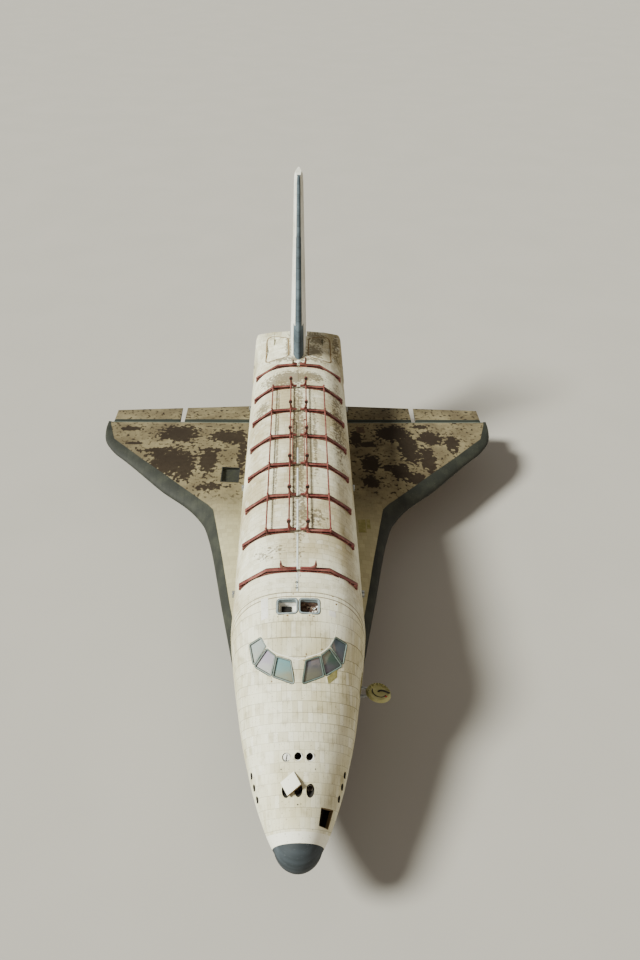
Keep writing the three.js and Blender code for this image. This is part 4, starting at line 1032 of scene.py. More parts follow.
@dataclass
class BodyShape:
    """The body's outer surface, as sections joined by smooth lines."""

    sections: tuple[Section, ...] = (
        Section(0.7, 0.85, 3.35, 2.46, 4.24, 2.0, 2.0),
        Section(1.2, 1.09, 3.33, 2.32, 4.44, 2.0, 2.1),
        Section(2.0, 1.39, 3.35, 2.19, 4.70, 2.05, 2.4),
        Section(3.0, 1.71, 3.45, 2.08, 5.02, 2.1, 2.8),
        Section(4.0, 1.96, 3.60, 2.01, 5.34, 2.15, 3.4),
        Section(5.0, 2.19, 3.80, 1.97, 5.65, 2.2, 4.2),
        Section(5.9, 2.36, 4.02, 1.95, 5.93, 2.25, 5.2),
        Section(6.6, 2.47, 4.20, 1.95, 6.70, 2.3, 6.2),
        Section(7.2, 2.57, 4.40, 1.95, 7.28, 2.4, 7.0),
        Section(7.9, 2.68, 4.65, 1.95, 7.65, 2.5, 8.0),
        Section(8.9, 2.80, 4.90, 1.95, 7.85, 2.6, 8.0),
        Section(27.6, 2.80, 4.90, 1.95, 7.85, 2.6, 8.0),
        Section(31.5, 2.62, 4.70, 2.00, 7.52, 2.6, 8.0),
    )
    reach: float = 0.95  # depth of the round bowl ahead of the first section
    lean: tuple[Pair, ...] = ((0.9, 0.295), (1.5, 0.42), (5.9, 0.42), (8.9, 0.0))
    low_steps: int = 34
    high_steps: int = 44

    def read(self, column: str, s: float) -> float:
        """Reads a column of the sections at a station."""
        keys = [row.s for row in self.sections]
        return float(steady(keys, [getattr(row, column) for row in self.sections], s))

    def half(self, s: float, inset: float = 0.0) -> np.ndarray:
        """Finely spaced points of the port half of a section, from the keel to the roof.

        Args:
            s: Station.
            inset: How far inside the skin.

        Returns:
            Rows of x, z and the distance run along the section.
        """
        wide, waist = self.read("wide", s) - inset, self.read("waist", s)
        angle = np.linspace(0, math.pi / 2, 160)
        parts = []
        for edge, power in (("belly", "lower"), ("roof", "upper")):
            reach = self.read(edge, s) - waist
            reach -= math.copysign(inset, reach)
            n = self.read(power, s)
            x = wide * np.abs(np.cos(angle)) ** (2 / n)
            z = waist + reach * np.sin(angle) ** (2 / n)
            parts.append(np.stack([x, z], 1))
        line = np.concatenate([parts[0][::-1], parts[1][1:]])
        line[0, 0] = line[-1, 0] = 0.0
        run = np.concatenate([[0], np.cumsum(np.hypot(*np.diff(line, axis=0).T))])
        return np.column_stack([line, run])

    def stretch(self, half: np.ndarray, start: float, end: float, steps: int) -> np.ndarray:
        """Evenly spaced points of a half section between two distances run."""
        even = np.linspace(start, end, steps + 1)
        return np.column_stack([np.interp(even, half[:, 2], half[:, k]) for k in (0, 1, 2)])

    def ring(self, s: float, inset: float = 0.0) -> tuple[np.ndarray, np.ndarray]:
        """A whole section from the keel up the port side and down the starboard side.

        Args:
            s: Station.
            inset: How far inside the skin.

        Returns:
            The points, and each point's distance from the roof's middle, with one more at the end.
        """
        half = self.half(s, inset)
        widest = half[int(np.argmax(half[:, 0])), 2]
        low = self.stretch(half, 0, widest, self.low_steps)
        high = self.stretch(half, widest, half[-1, 2], self.high_steps)
        port = np.concatenate([low, high[1:]])
        both = np.concatenate([port, (port * [-1, 1, 1])[::-1][1:-1]])
        points = np.column_stack([both[:, 0], np.full(len(both), at(s)), both[:, 1]])
        away = half[-1, 2] - both[:, 2]
        away[len(port) :] *= -1
        return points, np.append(away, -half[-1, 2])

    def body(self, name: str, rows: Sequence[Pair]) -> Piece:
        """A stretch of the body through (station, inset) rows, with its pattern map.

        Args:
            name: Name of the piece.
            rows: Stations with how far inside the skin each ring lies.

        Returns:
            The closed piece.
        """
        made = [self.ring(*row) for row in rows]
        return self.mapped(name, [points for points, _ in made], [away for _, away in made])

    def mapped(self, name: str, rings: list[np.ndarray], aways: list[np.ndarray]) -> Piece:
        """A skin whose rows of tiles lean forward at the top ahead of the bay.

        Args:
            name: Name of the piece.
            rings: The sections' points.
            aways: Each point's distance from the roof's middle.

        Returns:
            The closed piece.
        """
        keys, leans = zip(*self.lean)

        def chart(r: int, i: int) -> Pair:
            """Pattern coordinates of a ring and a point."""
            _, y, z = rings[r][i % len(rings[r])]
            s = y + HALF_LENGTH
            return aways[r][i], s + float(np.interp(s, keys, leans)) * (z - 4.3)

        return skin(name, rings, uv=chart)

    def nose(self, name: str, stations: Point, steps: int = 20) -> Piece:
        """The round bowl and the body behind it as one piece.

        Args:
            name: Name of the piece.
            stations: Stations of the body's sections behind the bowl.
            steps: Number of rings in the bowl.

        Returns:
            The closed piece.
        """
        first = self.sections[0]
        rim, away = self.ring(first.s)
        rings, aways = [], []
        for k in range(1, steps):
            s = first.s * (k / steps) ** 2
            share = math.sqrt(1 - ((self.reach - s) / self.reach) ** 2)
            share /= math.sqrt(1 - ((self.reach - first.s) / self.reach) ** 2)
            ring = rim * (share, 1, share) + (0, 0, first.waist * (1 - share))
            ring[:, 1] = at(s)
            rings.append(ring)
            aways.append(away * share)
        for s in stations:
            ring, away = self.ring(s)
            rings.append(ring)
            aways.append(away)
        return self.mapped(name, rings, aways)

    def height(self, x: float, s: float) -> float:
        """Height of the roof at a place."""
        share = 1 - min(1.0, abs(x) / self.read("wide", s)) ** self.read("upper", s)
        waist = self.read("waist", s)
        return waist + (self.read("roof", s) - waist) * share ** (1 / self.read("upper", s))

    def on(self, x: float, s: float, lift: float = 0.0) -> Vector:
        """A point on the roof, or above it along the surface's outward direction."""
        point = Vector((x, at(s), self.height(x, s)))
        return point + self.normal(x, s) * lift if lift else point

    def normal(self, x: float, s: float) -> Vector:
        """The outward direction of the roof at a place."""
        d = 0.02
        along = self.on(x, s + d) - self.on(x, s - d)
        across = self.on(x + d, s) - self.on(x - d, s)
        return across.cross(along).normalized()


def rounded(corners: Sequence[Point], radius: float | Point, steps: int = 6) -> list[Vector]:
    """A flat outline with round corners.

    Args:
        corners: The outline's corners.
        radius: Radius of the corners, or one for each.
        steps: Steps in each corner.

    Returns:
        The outline's points in the corners' order.
    """
    points = []
    flat = [Vector(c) for c in corners]
    radii = [radius] * len(flat) if isinstance(radius, float) else radius
    for i, corner in enumerate(flat):
        a = (flat[i - 1] - corner).normalized()
        b = (flat[(i + 1) % len(flat)] - corner).normalized()
        reach = radii[i] / math.tan(a.angle(b) / 2)
        start, end = corner + a * reach, corner + b * reach
        for k in range(steps + 1):
            t = k / steps
            points.append(start * (1 - t) ** 2 + corner * 2 * t * (1 - t) + end * t * t)
    return points


def grown(points: Sequence[Vector], by: float) -> list[Vector]:
    """An outline moved outwards by a distance in its own plane."""
    middle = sum(points, Vector((0, 0, 0))) / len(points)
    normal = (points[0] - middle).cross(points[len(points) // 3] - middle).normalized()
    made = []
    for i, point in enumerate(points):
        along = points[(i + 1) % len(points)] - points[i - 1]
        outward = along.cross(normal).normalized()
        if outward.dot(point - middle) < 0:
            outward.negate()
        made.append(point + outward * by)
    return made


def swept(a: Point, b: Point, c: Point, steps: int = 9) -> list[np.ndarray]:
    """Points of a curve that leaves one point towards a second and arrives at a third."""
    shares = np.linspace(0, 1, steps)
    return [
        np.array(a) * (1 - t) ** 2 + np.array(b) * 2 * t * (1 - t) + np.array(c) * t * t
        for t in shares
    ]


def collar(name: str, loops: Sequence[Sequence[Vector]]) -> Piece:
    """A closed ring of even outlines joined one after another, and the last to the first."""
    rings = [np.array(loop) for loop in loops]
    return skin(name, [*rings, rings[0]], closed=False)


@dataclass(frozen=True)
class Window:
    """A cabin window as corners on the roof: top inboard, top outboard, low outboard, low inboard."""

    name: str
    corners: tuple[Pair, ...]


@dataclass(frozen=True)
class Mouth:
    """A thruster mouth on the roof: its place, its radius and how far its bore leans forward."""

    x: float
    s: float
    r: float
    lean: float


@dataclass
class Nose:
    """The forward body: nose cap, tiled shell, windows, roof lights, thruster mouths and loose plates."""

    shape: BodyShape
    use: Finishes
    rim: Triple = (0.8, 3.35, 0.295)  # station and height on the cap's rim, and its lean
    back: float = 8.9 - SEAT
    wall: float = 0.16
    cabin: Triple = (5.75, 8.74, 2.35)  # front, back and floor of the room inside
    windows: tuple[Window, ...] = (
        Window("inner", ((0.31, 6.49), (0.82, 6.62), (0.96, 6.18), (0.185, 5.93))),
        Window("middle", ((0.90, 6.66), (1.215, 6.88), (1.665, 6.57), (1.07, 6.21))),
        Window("outer", ((1.275, 6.98), (1.455, 7.26), (1.88, 7.23), (1.73, 6.64))),
    )
    corner: float = 0.045
    light_corner: float = 0.08
    light: Point = (0.07, 0.81, 7.97, 8.54)  # a roof light's sides, front and back
    mouths: tuple[Mouth, ...] = (
        Mouth(-0.44, 3.3, 0.155, 0.45), Mouth(0.0, 3.3, 0.155, 0.45), Mouth(0.43, 3.3, 0.155, 0.45),
        Mouth(-0.44, 2.19, 0.151, 2.25), Mouth(0.0, 2.19, 0.151, 2.25), Mouth(0.43, 2.19, 0.151, 2.25),
    )
    bore: float = 0.42
    flank: tuple[float, ...] = (2.43, 2.86, 3.29)
    hollow: tuple[Pair, ...] = ((0.81, 1.76), (1.26, 1.92), (1.05, 1.27), (0.715, 1.18))

    def outline(self, corners: Sequence[Pair], radius: float) -> tuple[list[Vector], Vector]:
        """The flat rounded outline through four roof points and its outward direction."""
        points = [self.shape.on(*c) for c in corners]
        middle = sum(points, Vector((0, 0, 0))) / 4
        normal = (points[2] - points[0]).cross(points[3] - points[1]).normalized()
        if normal.z < 0:
            normal.negate()
        flat = [p - normal * (p - middle).dot(normal) for p in points]
        return rounded(flat, radius), normal

    def ringed(self, name: str, outline: Sequence[Vector], normal: Vector, *levels: Pair) -> Piece:
        """A closed ring along an outline through levels of (growth, height)."""
        return collar(name, [[p + normal * h for p in grown(outline, by)] for by, h in levels])

    def prism(
        self, name: str, outline: Sequence[Vector], normal: Vector, low: float, high: float
    ) -> Piece:
        """A solid over an outline between two distances along its normal."""
        return skin(name, [np.array([p + normal * h for p in outline]) for h in (low, high)])

    def axis(self, mouth: Mouth) -> tuple[Vector, Vector]:
        """Place and outward direction of a thruster mouth."""
        normal = self.shape.normal(mouth.x, mouth.s) + Vector((0, -mouth.lean, 0))
        return self.shape.on(mouth.x, mouth.s), normal.normalized()

    def flank_axis(self, s: float) -> tuple[Vector, Vector]:
        """Place and outward direction of a mouth on the port flank."""
        place = self.shape.on(self.shape.read("wide", s) * 0.97, s)
        return place, Vector((0.65, 0, 0.11)).normalized()

    def parted(self, piece: Piece, shift: float, ahead: bool) -> Piece:
        """Cuts a piece on the leaning plane of the cap's rim and keeps the part ahead of it or behind it."""
        s, z, lean = self.rim
        with editing(piece):
            bpy.ops.mesh.select_all(action="SELECT")
            bpy.ops.mesh.bisect(
                plane_co=(0, at(s + shift), z),
                plane_no=(0, 1, lean),
                use_fill=True,
                clear_outer=ahead,
                clear_inner=not ahead,
                threshold=1e-5,
            )
        return piece

    def nose_cap(self) -> None:
        """The round carbon cap with a rounded rim."""
        piece = self.parted(self.shape.nose("carbon_cap", np.arange(0.7, 1.5, 0.05)), -SEAT, True)
        bevel(piece, 0.009, 2, 60)
        place_on(piece, AIRFRAME, [self.use.cap], ["nose_cap"], 50)

    def tools(self) -> list[Piece]:
        """The solids that cut the windows, roof lights, mouths and the missing panel out of the shell."""
        made = []
        for window in self.windows:
            outline, normal = self.outline(window.corners, self.corner)
            tool = dressed(
                self.prism("window_tool", grown(outline, 0.056), normal, -0.6, 0.3), self.use.seal
            )
            made += [tool, copied(tool, "window_tool_b")]
        inner, outer, first, last = self.light
        plan = [(inner, first), (outer, first), (outer, last), (inner, last)]
        for side in (1, -1):
            corners = rounded([Vector((side * x, at(s), 0)) for x, s in plan], self.light_corner)
            made.append(
                dressed(
                    self.prism("light_tool", corners, Vector((0, 0, 1)), 7.1, 8.0), self.use.light_rims
                )
            )
        # the cut walls of the mouths, the flank holes and the hollow take near-black as painted shade
        for mouth in self.mouths:
            place, normal = self.axis(mouth)
            tool = rod("mouth_tool", place - normal * self.bore, place + normal * self.bore, mouth.r, 40)
            made.append(dressed(tool, self.use.dark))
        for s in self.flank:
            place, normal = self.flank_axis(s)
            tool = dressed(
                rod("flank_tool", place - normal * 0.35, place + normal * 0.3, 0.12, 28), self.use.dark
            )
            made += [tool, copied(tool, "flank_tool_b")]
        outline, normal = self.outline(self.hollow, 0.03)
        made.append(dressed(self.prism("hollow_tool", outline, normal, -0.42, 0.2), self.use.dark))
        return made

    def shell(self) -> None:
        """The tiled shell with its room, windows, hatchway and holes."""
        piece = self.shape.nose("forward_shell", [*np.arange(0.7, 8.85, 0.1), 8.87, self.back])
        bevel(dressed(self.parted(piece, 0.0, False), self.use.nose), 0.009, 2, 60)
        front, back, floor = self.cabin
        rings = []
        for s in np.linspace(front, back, 14):
            points, _ = self.shape.ring(s, self.wall)
            points[:, 2] = np.maximum(points[:, 2], floor)
            rings.append(points)
        cut(piece, dressed(skin("room", rings), self.use.cabin))
        cut(piece, *self.tools(), Hatch(self.use).cone(0.008, self.use.primer))
        place_on(piece, AIRFRAME, [self.use.nose], ["forward_fuselage"], 28)

    def glazing(self) -> None:
        """Panes, seals and grey frames of the six windows."""
        for window in self.windows:
            outline, normal = self.outline(window.corners, self.corner)
            levels = (
                (0.040, -0.11), (0.040, 0.002), (0.032, 0.012), (0.002, 0.008), (-0.010, -0.014),
                (-0.010, -0.11),
            )
            rim = self.ringed("frame", outline, normal, *levels)
            levels = (-0.006, -0.05), (-0.006, -0.018), (-0.022, -0.03), (-0.022, -0.05)
            seal = self.ringed("seal", outline, normal, *levels)
            pane = bevel(self.prism("pane", grown(outline, -0.012), normal, -0.085, -0.045), 0.006, 2)
            for side, sign in SIDES.items():
                parts = [part if sign > 0 else copied(part, "part") for part in (rim, seal, pane)]
                kinds = (
                    ("window_frame_", Slot.ALLOY, self.use.frames[side], []),
                    ("window_seal_", Slot.BLACK, self.use.seal, []),
                    (
                        "glass_",
                        Slot.GLASS,
                        self.use.glass[side][window.name],
                        [f"window_{window.name}_{side}"],
                    ),
                )
                for part, (name, slot, finish, nodes) in zip(parts, kinds):
                    part.name = name + window.name + "_" + side
                    place_on(part, AIRFRAME, [finish], nodes)

    def roof_lights(self) -> None:
        """The two roof lights: grey rims, a white tray to starboard and a dark one to port with scraps."""
        inner, outer, first, last = self.light
        rims, seals = [], []
        for sign in (1, -1):
            plan = [
                Vector((sign * x, s, 0))
                for x, s in ((inner, first), (outer, first), (outer, last), (inner, last))
            ]
            outline = rounded(plan, self.light_corner + 0.03)
            rim = (
                (0.048, -0.02), (0.046, 0.012), (0.036, 0.024), (0.004, 0.024), (-0.012, 0.012),
                (-0.014, -0.16),
            )
            seal = (0.066, -0.02), (0.066, 0.006), (0.044, 0.008), (0.044, -0.02)
            for made, levels in ((rims, rim), (seals, seal)):
                loops = [
                    [self.shape.on(p.x, p.y, lift) for p in grown(outline, by)]
                    for by, lift in levels
                ]
                made.append(collar("ring", loops))
        place_on(
            joined("roof_light_frames", rims), AIRFRAME, [self.use.light_rims],
            ["roof_light_rims"],
        )
        place_on(joined("roof_light_seals", seals), AIRFRAME, [self.use.seal])
        for side, sign, finish in (("port", 1, self.use.tray), ("starboard", -1, self.use.white)):
            xs = sorted((sign * (inner - 0.03), sign * (outer + 0.03)))
            tray = block(
                f"roof_light_tray_{side}", (xs[0], at(first - 0.03), 7.36), (xs[1], at(last + 0.03), 7.62)
            )
            stepped(tray, (0, 0, 1), (0.015, -0.23))
            place_on(bevel(tray, 0.012, 2), AIRFRAME, [finish])
        # a near-black block in the white tray stands for an opening: painted shade
        gap = block("roof_light_gap", (-0.66, at(8.24), 7.37), (-0.26, at(8.53), 7.425))
        place_on(bevel(gap, 0.015), AIRFRAME, [self.use.dark])
        random = np.random.default_rng(7)
        whites, browns = [], []
        for k in range(54):
            x, s = random.uniform(0.14, 0.76), random.uniform(8.0, 8.5)
            size = random.uniform(0.02, 0.09, 2)
            scrap = block("scrap", (0, 0, 0), (size[0], size[1], 0.012))
            turn = Euler(random.uniform(-0.7, 0.7, 3)).to_matrix().to_4x4()
            scrap.data.transform(moved(x, at(s), 7.40 + random.uniform(0, 0.06)) @ turn)
            (whites if x > 0.36 and k % 3 else browns).append(scrap)
        place_on(joined("torn_scraps", whites), AIRFRAME, [self.use.white])
        place_on(joined("rusty_scraps", browns), AIRFRAME, [self.use.tray])

    def patch(self, *corners: Pair) -> Piece:
        """A thin plate through four roof points that follows the tiles a hair above them."""
        a, b, c, d = (np.array(corner) for corner in corners)
        rings = []
        for t in np.linspace(0, 1, 6):
            first, last = a + (d - a) * t, b + (c - b) * t
            line = [first + (last - first) * k / 5 for k in range(6)]
            top = [self.shape.on(x, s, 0.006) for x, s in line]
            foot = [self.shape.on(x, s, -0.02) for x, s in line[::-1]]
            rings.append(np.array(top + foot))
        return skin("patch", rings)

    def patches(self) -> None:
        """Newer white tiles beside the roof lights, bare primer by a window, and chips at the edges."""
        white = [
            self.patch((-1.48, 8.73), (-1.20, 8.73), (-1.18, 8.30), (-1.46, 8.30)),
            self.patch((-1.46, 8.29), (-1.18, 8.29), (-1.18, 7.86), (-1.45, 7.84)),
            self.patch((1.20, 8.17), (1.46, 8.17), (1.47, 7.95), (1.20, 7.95)),
        ]
        place_on(joined("new_tiles", white), AIRFRAME, [self.use.white])
        bare = self.patch((1.10, 6.17), (1.50, 6.42), (1.50, 6.24), (1.16, 5.98))
        place_on(bare, AIRFRAME, [self.use.primer])
        random = np.random.default_rng(11)
        chips = []
        spots = [
            (0.26, 6.58), (0.22, 6.50), (0.30, 6.66), (-0.80, 7.84), (-0.42, 7.86), (0.44, 7.86),
            (0.60, 7.83),
        ]
        spots += [(1.36, 8.83), (-0.2, 8.8), (1.5, 8.5), (0.9, 6.83), (-1.02, 6.05)]
        for x, s in spots:
            place, up = self.shape.on(x, s), self.shape.normal(x, s)
            size = random.uniform(0.02, 0.045, 2)
            chip = bevel(
                block("chip", (-size[0], -size[1], -0.02), (size[0], size[1], 0.006)), 0.01, 1, 60
            )
            chips.append(placed(chip, place, up))
        place_on(joined("broken_edges", chips), AIRFRAME, [self.use.bare_tile])

    def thruster_mouths(self) -> None:
        """Nozzles deep in the mouths, thin liners round them, and the white plug in one of them."""
        nozzle = [
            (0.05, -0.36), (0.07, -0.30), (0.105, -0.2), (0.13, -0.13), (0.124, -0.125), (0.096, -0.2)
        ]
        nozzle += [(0.06, -0.30), (0.04, -0.36)]
        liner = [(0.149, -0.05), (0.149, 0.0), (0.153, 0.005), (0.158, 0.003), (0.158, -0.05)]
        parts, rings = [], []
        for number, mouth in enumerate(self.mouths):
            place, normal = self.axis(mouth)
            grow = Matrix.Scale(mouth.r / 0.155, 4)
            if number < 3:
                ring = spun("liner", liner, 36)
                ring.data.transform(grow)
                placed(ring, place, normal)
                if number:  # liners thick on their port side, whose white crescent stands for the lit inner wall: painted light
                    for vertex in ring.data.vertices:
                        away = Vector(vertex.co) - place
                        away -= normal * away.dot(normal)
                        if away.length < 0.151:
                            vertex.co -= away.normalized() * 0.016
                            vertex.co += Vector((-0.014, 0.012, 0.006))
                rings.append(ring)
            if number:
                part = spun("nozzle", nozzle, 36)
                part.data.transform(grow)
                parts.append(placed(part, place, normal))
        place_on(joined("thruster_nozzles", parts), AIRFRAME, [self.use.steel])
        place_on(joined("thruster_liners", rings), AIRFRAME, [self.use.white])
        # the flank liners are near-black: painted shade inside the flank mouths
        liners = []
        for s in self.flank:
            place, normal = self.flank_axis(s)
            part = placed(spun("flank_part", [(r * 0.79, h) for r, h in liner], 28), place, normal)
            liners += [part, copied(part, "flank_part_b")]
        place_on(joined("flank_liners", liners), AIRFRAME, [self.use.dark])
        place, normal = self.axis(self.mouths[0])
        plug = spun(
            "mouth_plug",
            [(0, -0.09), (0.135, -0.09), (0.137, -0.05), (0.12, -0.03), (0.05, -0.02), (0, -0.02)],
        )
        place.x += 0.01
        place_on(placed(plug, place, normal), AIRFRAME, [self.use.white], ["port_plug"])
        slit = block("plug_slit", (-0.012, -0.12, -0.022), (0.022, 0.10, -0.012))
        place_on(placed(bevel(slit, 0.004), place, normal), AIRFRAME, [self.use.seal])

    def loose_plates(self) -> None:
        """The cover plate askew over the mouths, and the broken tile edges of the missing panel."""
        corners = [self.shape.on(-0.165, 2.775), self.shape.on(-0.64, 2.46), self.shape.on(0.09, 2.245)]
        for corner, height in zip(corners, (5.005, 4.80, 5.035)):
            corner.z = height
        aft, starboard, port = corners
        up = (starboard - aft).cross(port - aft).normalized()
        if up.z < 0:
            up.negate()
        plate = self.prism("cover_plate", [aft, starboard, starboard + port - aft, port], up, -0.08, 0.0)
        stepped(plate, up, (0.012, 0.003))
        bevel(dressed(plate, self.use.cover, self.use.bare_tile), 0.006, 2)
        # the sides take the brown of a bare tile edge, partly the raw edge and partly painted shade
        for face in plate.data.polygons:
            face.material_index = int(face.normal.dot(up) < 0.5)
        place_on(plate, AIRFRAME, [self.use.cover, self.use.bare_tile], ["port_cover"])
        outline, normal = self.outline(self.hollow, 0.03)
        rim = self.ringed(
            "hollow_rim", outline, normal, (0.004, -0.14), (0.004, -0.004), (-0.022, -0.012),
            (-0.022, -0.14),
        )
        place_on(rim, AIRFRAME, [self.use.bare_tile])

    def brow(self) -> None:
        """The low step of the tiles over the windows and the small dark fittings on the nose."""
        line = [(0.0, 6.50), (0.3, 6.56), (0.82, 6.70), (1.2, 6.95), (1.43, 7.34), (1.5, 7.7)]
        steps = np.linspace(0, 5, 60)
        xs, ss = (steady(range(6), [p[k] for p in line], steps) for k in (0, 1))
        rings = []
        for x, s in zip(xs, ss):
            near, far, up = self.shape.on(x, s), self.shape.on(x, s + 0.03), self.shape.normal(x, s)
            lifts = (
                (near, -0.01), (near, 0.003), (near * 0.5 + far * 0.5, 0.006), (far, 0.001), (far, -0.01)
            )
            rings.append(np.array([place + up * lift for place, lift in lifts]))
        half = skin("brow_half", rings)
        both = joined("brow_edge", [half, copied(half, "brow_other")])
        place_on(both, AIRFRAME, [self.use.cover])
        dots = []
        for x, s, r in (
            (-0.62, 2.92, 0.024), (0.62, 2.92, 0.024), (-0.02, 1.72, 0.026), (0.09, 1.74, 0.015)
        ):
            part = spun("dot", [(0, -0.02), (r, -0.02), (r, 0.004), (r * 0.7, 0.008), (0, 0.008)], 16)
            dots.append(placed(part, self.shape.on(x, s), self.shape.normal(x, s)))
        place_on(joined("nose_fittings", dots), AIRFRAME, [self.use.seal])

    def build(self) -> None:
        """Builds the whole forward body."""
        self.nose_cap()
        self.shell()
        self.glazing()
        self.roof_lights()
        self.thruster_mouths()
        self.loose_plates()
        self.patches()
        self.brow()


@dataclass
class Hatch:
    """The crew hatch, hanging open on two arms, with its window, latch ring, lever and knob."""

    use: Finishes
    s: float = 7.13
    z: float = 4.27
    hinge: Pair = (2.69, 3.68)
    arms: Pair = (-0.06, 0.36)
    open: float = 100.0

    def cone(self, grow: float, finish: Paint) -> Piece:
        """The tapered plug that the hatch is cut from."""
        ends = [(x, at(self.s), self.z) for x in (1.5, 3.2)]
        return dressed(rod("plug", *ends, 0.230 + grow, 64, 0.710 + grow), finish)

    def swung(self, piece: Piece) -> Piece:
        """Turns a piece from its closed place to its open place."""
        pivot = Matrix.Translation((self.hinge[0], 0, self.hinge[1]))
        turn = Matrix.Rotation(math.radians(self.open), 4, "Y")
        piece.data.transform(pivot @ turn @ pivot.inverted())
        return piece

    def disc(self, profile: Sequence[Pair], y: float = 0, z: float = 0) -> Piece:
        """A spun part inside the closed hatch, with its heights along -X from the outer skin."""
        return placed(spun("hatch_disc", profile), (2.6, at(self.s) + y, self.z + z), (-1, 0, 0))

    def riding(self, name: str, parts: list[Piece], finish: Paint) -> None:
        """Joins parts made in the closed hatch and hangs them on the open one."""
        place_on(self.swung(joined(name, parts)), "crew_hatch", [finish])

    def build(self, shape: BodyShape) -> None:
        """Builds the hatch.

        Args:
            shape: The body's surface, which the outer face follows.
        """
        y0, (hx, hz) = at(self.s), self.hinge
        panel = dressed(
            shape.body("hatch_skin", [(s, 0.0) for s in np.linspace(6.4, 7.9, 14)]), self.use.sides
        )
        cut(panel, self.cone(0.0, self.use.hatch_paint), how="INTERSECT")
        inner = skin("inner", [shape.ring(s, 0.15)[0] for s in np.linspace(6.3, 8.0, 14)])
        cut(panel, dressed(inner, self.use.hatch_paint))
        finishes = [self.use.sides, self.use.hatch_paint]
        place_on(self.swung(panel), "crew_hatch", finishes, ["crew_hatch"], 28)
        details = [
            self.disc([(0.425, 0.14), (0.425, 0.20), (0.44, 0.206), (0.455, 0.20), (0.455, 0.14)]),
            self.disc(
                [(0.12, 0.15), (0.12, 0.185), (0.135, 0.195), (0.155, 0.185), (0.155, 0.15)], 0, 0.16
            ),
            self.disc([(0, 0.15), (0.09, 0.15), (0.09, 0.19), (0.06, 0.21), (0, 0.21)], -0.10, -0.14),
        ]
        for k in range(12):
            a = math.tau * k / 12
            y, z = y0 + 0.385 * math.cos(a), self.z + 0.385 * math.sin(a)
            details.append(
                bevel(block("latch", (2.37, y - 0.025, z - 0.03), (2.47, y + 0.025, z + 0.03)), 0.006, 2)
            )
        self.riding("hatch_details", details, self.use.hatch_paint)
        bolts = []
        for k in range(22):
            a = math.tau * (k + 0.5) / 22
            bolts.append(
                self.disc(
                    [(0, 0.19), (0.018, 0.19), (0.016, 0.214), (0, 0.214)],
                    0.44 * math.cos(a),
                    0.44 * math.sin(a),
                )
            )
        self.riding("hatch_bolts", bolts, self.use.seal)
        line = [
            (2.36, y0 + 0.30 * math.cos(a), self.z + 0.30 * math.sin(a))
            for a in np.linspace(2.2, 5.0, 12)
        ]
        lever = [hose("latch_rod", line, 0.02)]
        line = [
            (2.42, 0.02, -0.04), (2.33, 0.02, 0.0), (2.30, 0.0, 0.14), (2.32, -0.02, 0.28),
            (2.38, -0.02, 0.42),
        ]
        lever.append(hose("handle", [(x, y0 + y, self.z + z) for x, y, z in line], 0.036))
        self.riding("hatch_lever", lever, self.use.seal)
        knob = self.disc([(0, 0.15), (0.055, 0.15), (0.06, 0.22), (0.04, 0.25), (0, 0.25)], -0.24, 0.26)
        self.riding("hatch_knob", [knob], self.use.signal)
        bars, ears = [], []
        for y in self.arms:
            centre = y0 + y
            bar = block(
                "strap", (hx - 0.045, centre - 0.02, hz - 0.045), (hx + 0.045, centre + 0.02, 4.39)
            )
            bars.append(bevel(bar, 0.01, 2))
            bars.append(
                bevel(
                    block("lug", (hx - 0.16, centre - 0.02, 3.97), (hx + 0.01, centre + 0.02, 4.39)),
                    0.008,
                )
            )
            for edge in (-0.0403, 0.0403):
                low = (hx - 0.22, centre + edge - 0.02, hz - 0.06)
                ears.append(
                    bevel(block("ear", low, (hx + 0.045, centre + edge + 0.02, hz + 0.025)), 0.015, 3)
                )
            ears.append(rod("ear_pin", (hx, centre - 0.08, hz), (hx, centre + 0.08, hz), 0.015))
        self.riding("hatch_arms", bars, self.use.alloy)
        place_on(joined("hatch_hinges", ears), AIRFRAME, [self.use.alloy])


@dataclass(frozen=True)
class Claw:
    """A lifting claw: X of its foot, heel and neck, its lowest and highest points, half its head's width."""

    foot: float
    heel: float
    reach: float
    low: float
    tip: float
    head: float


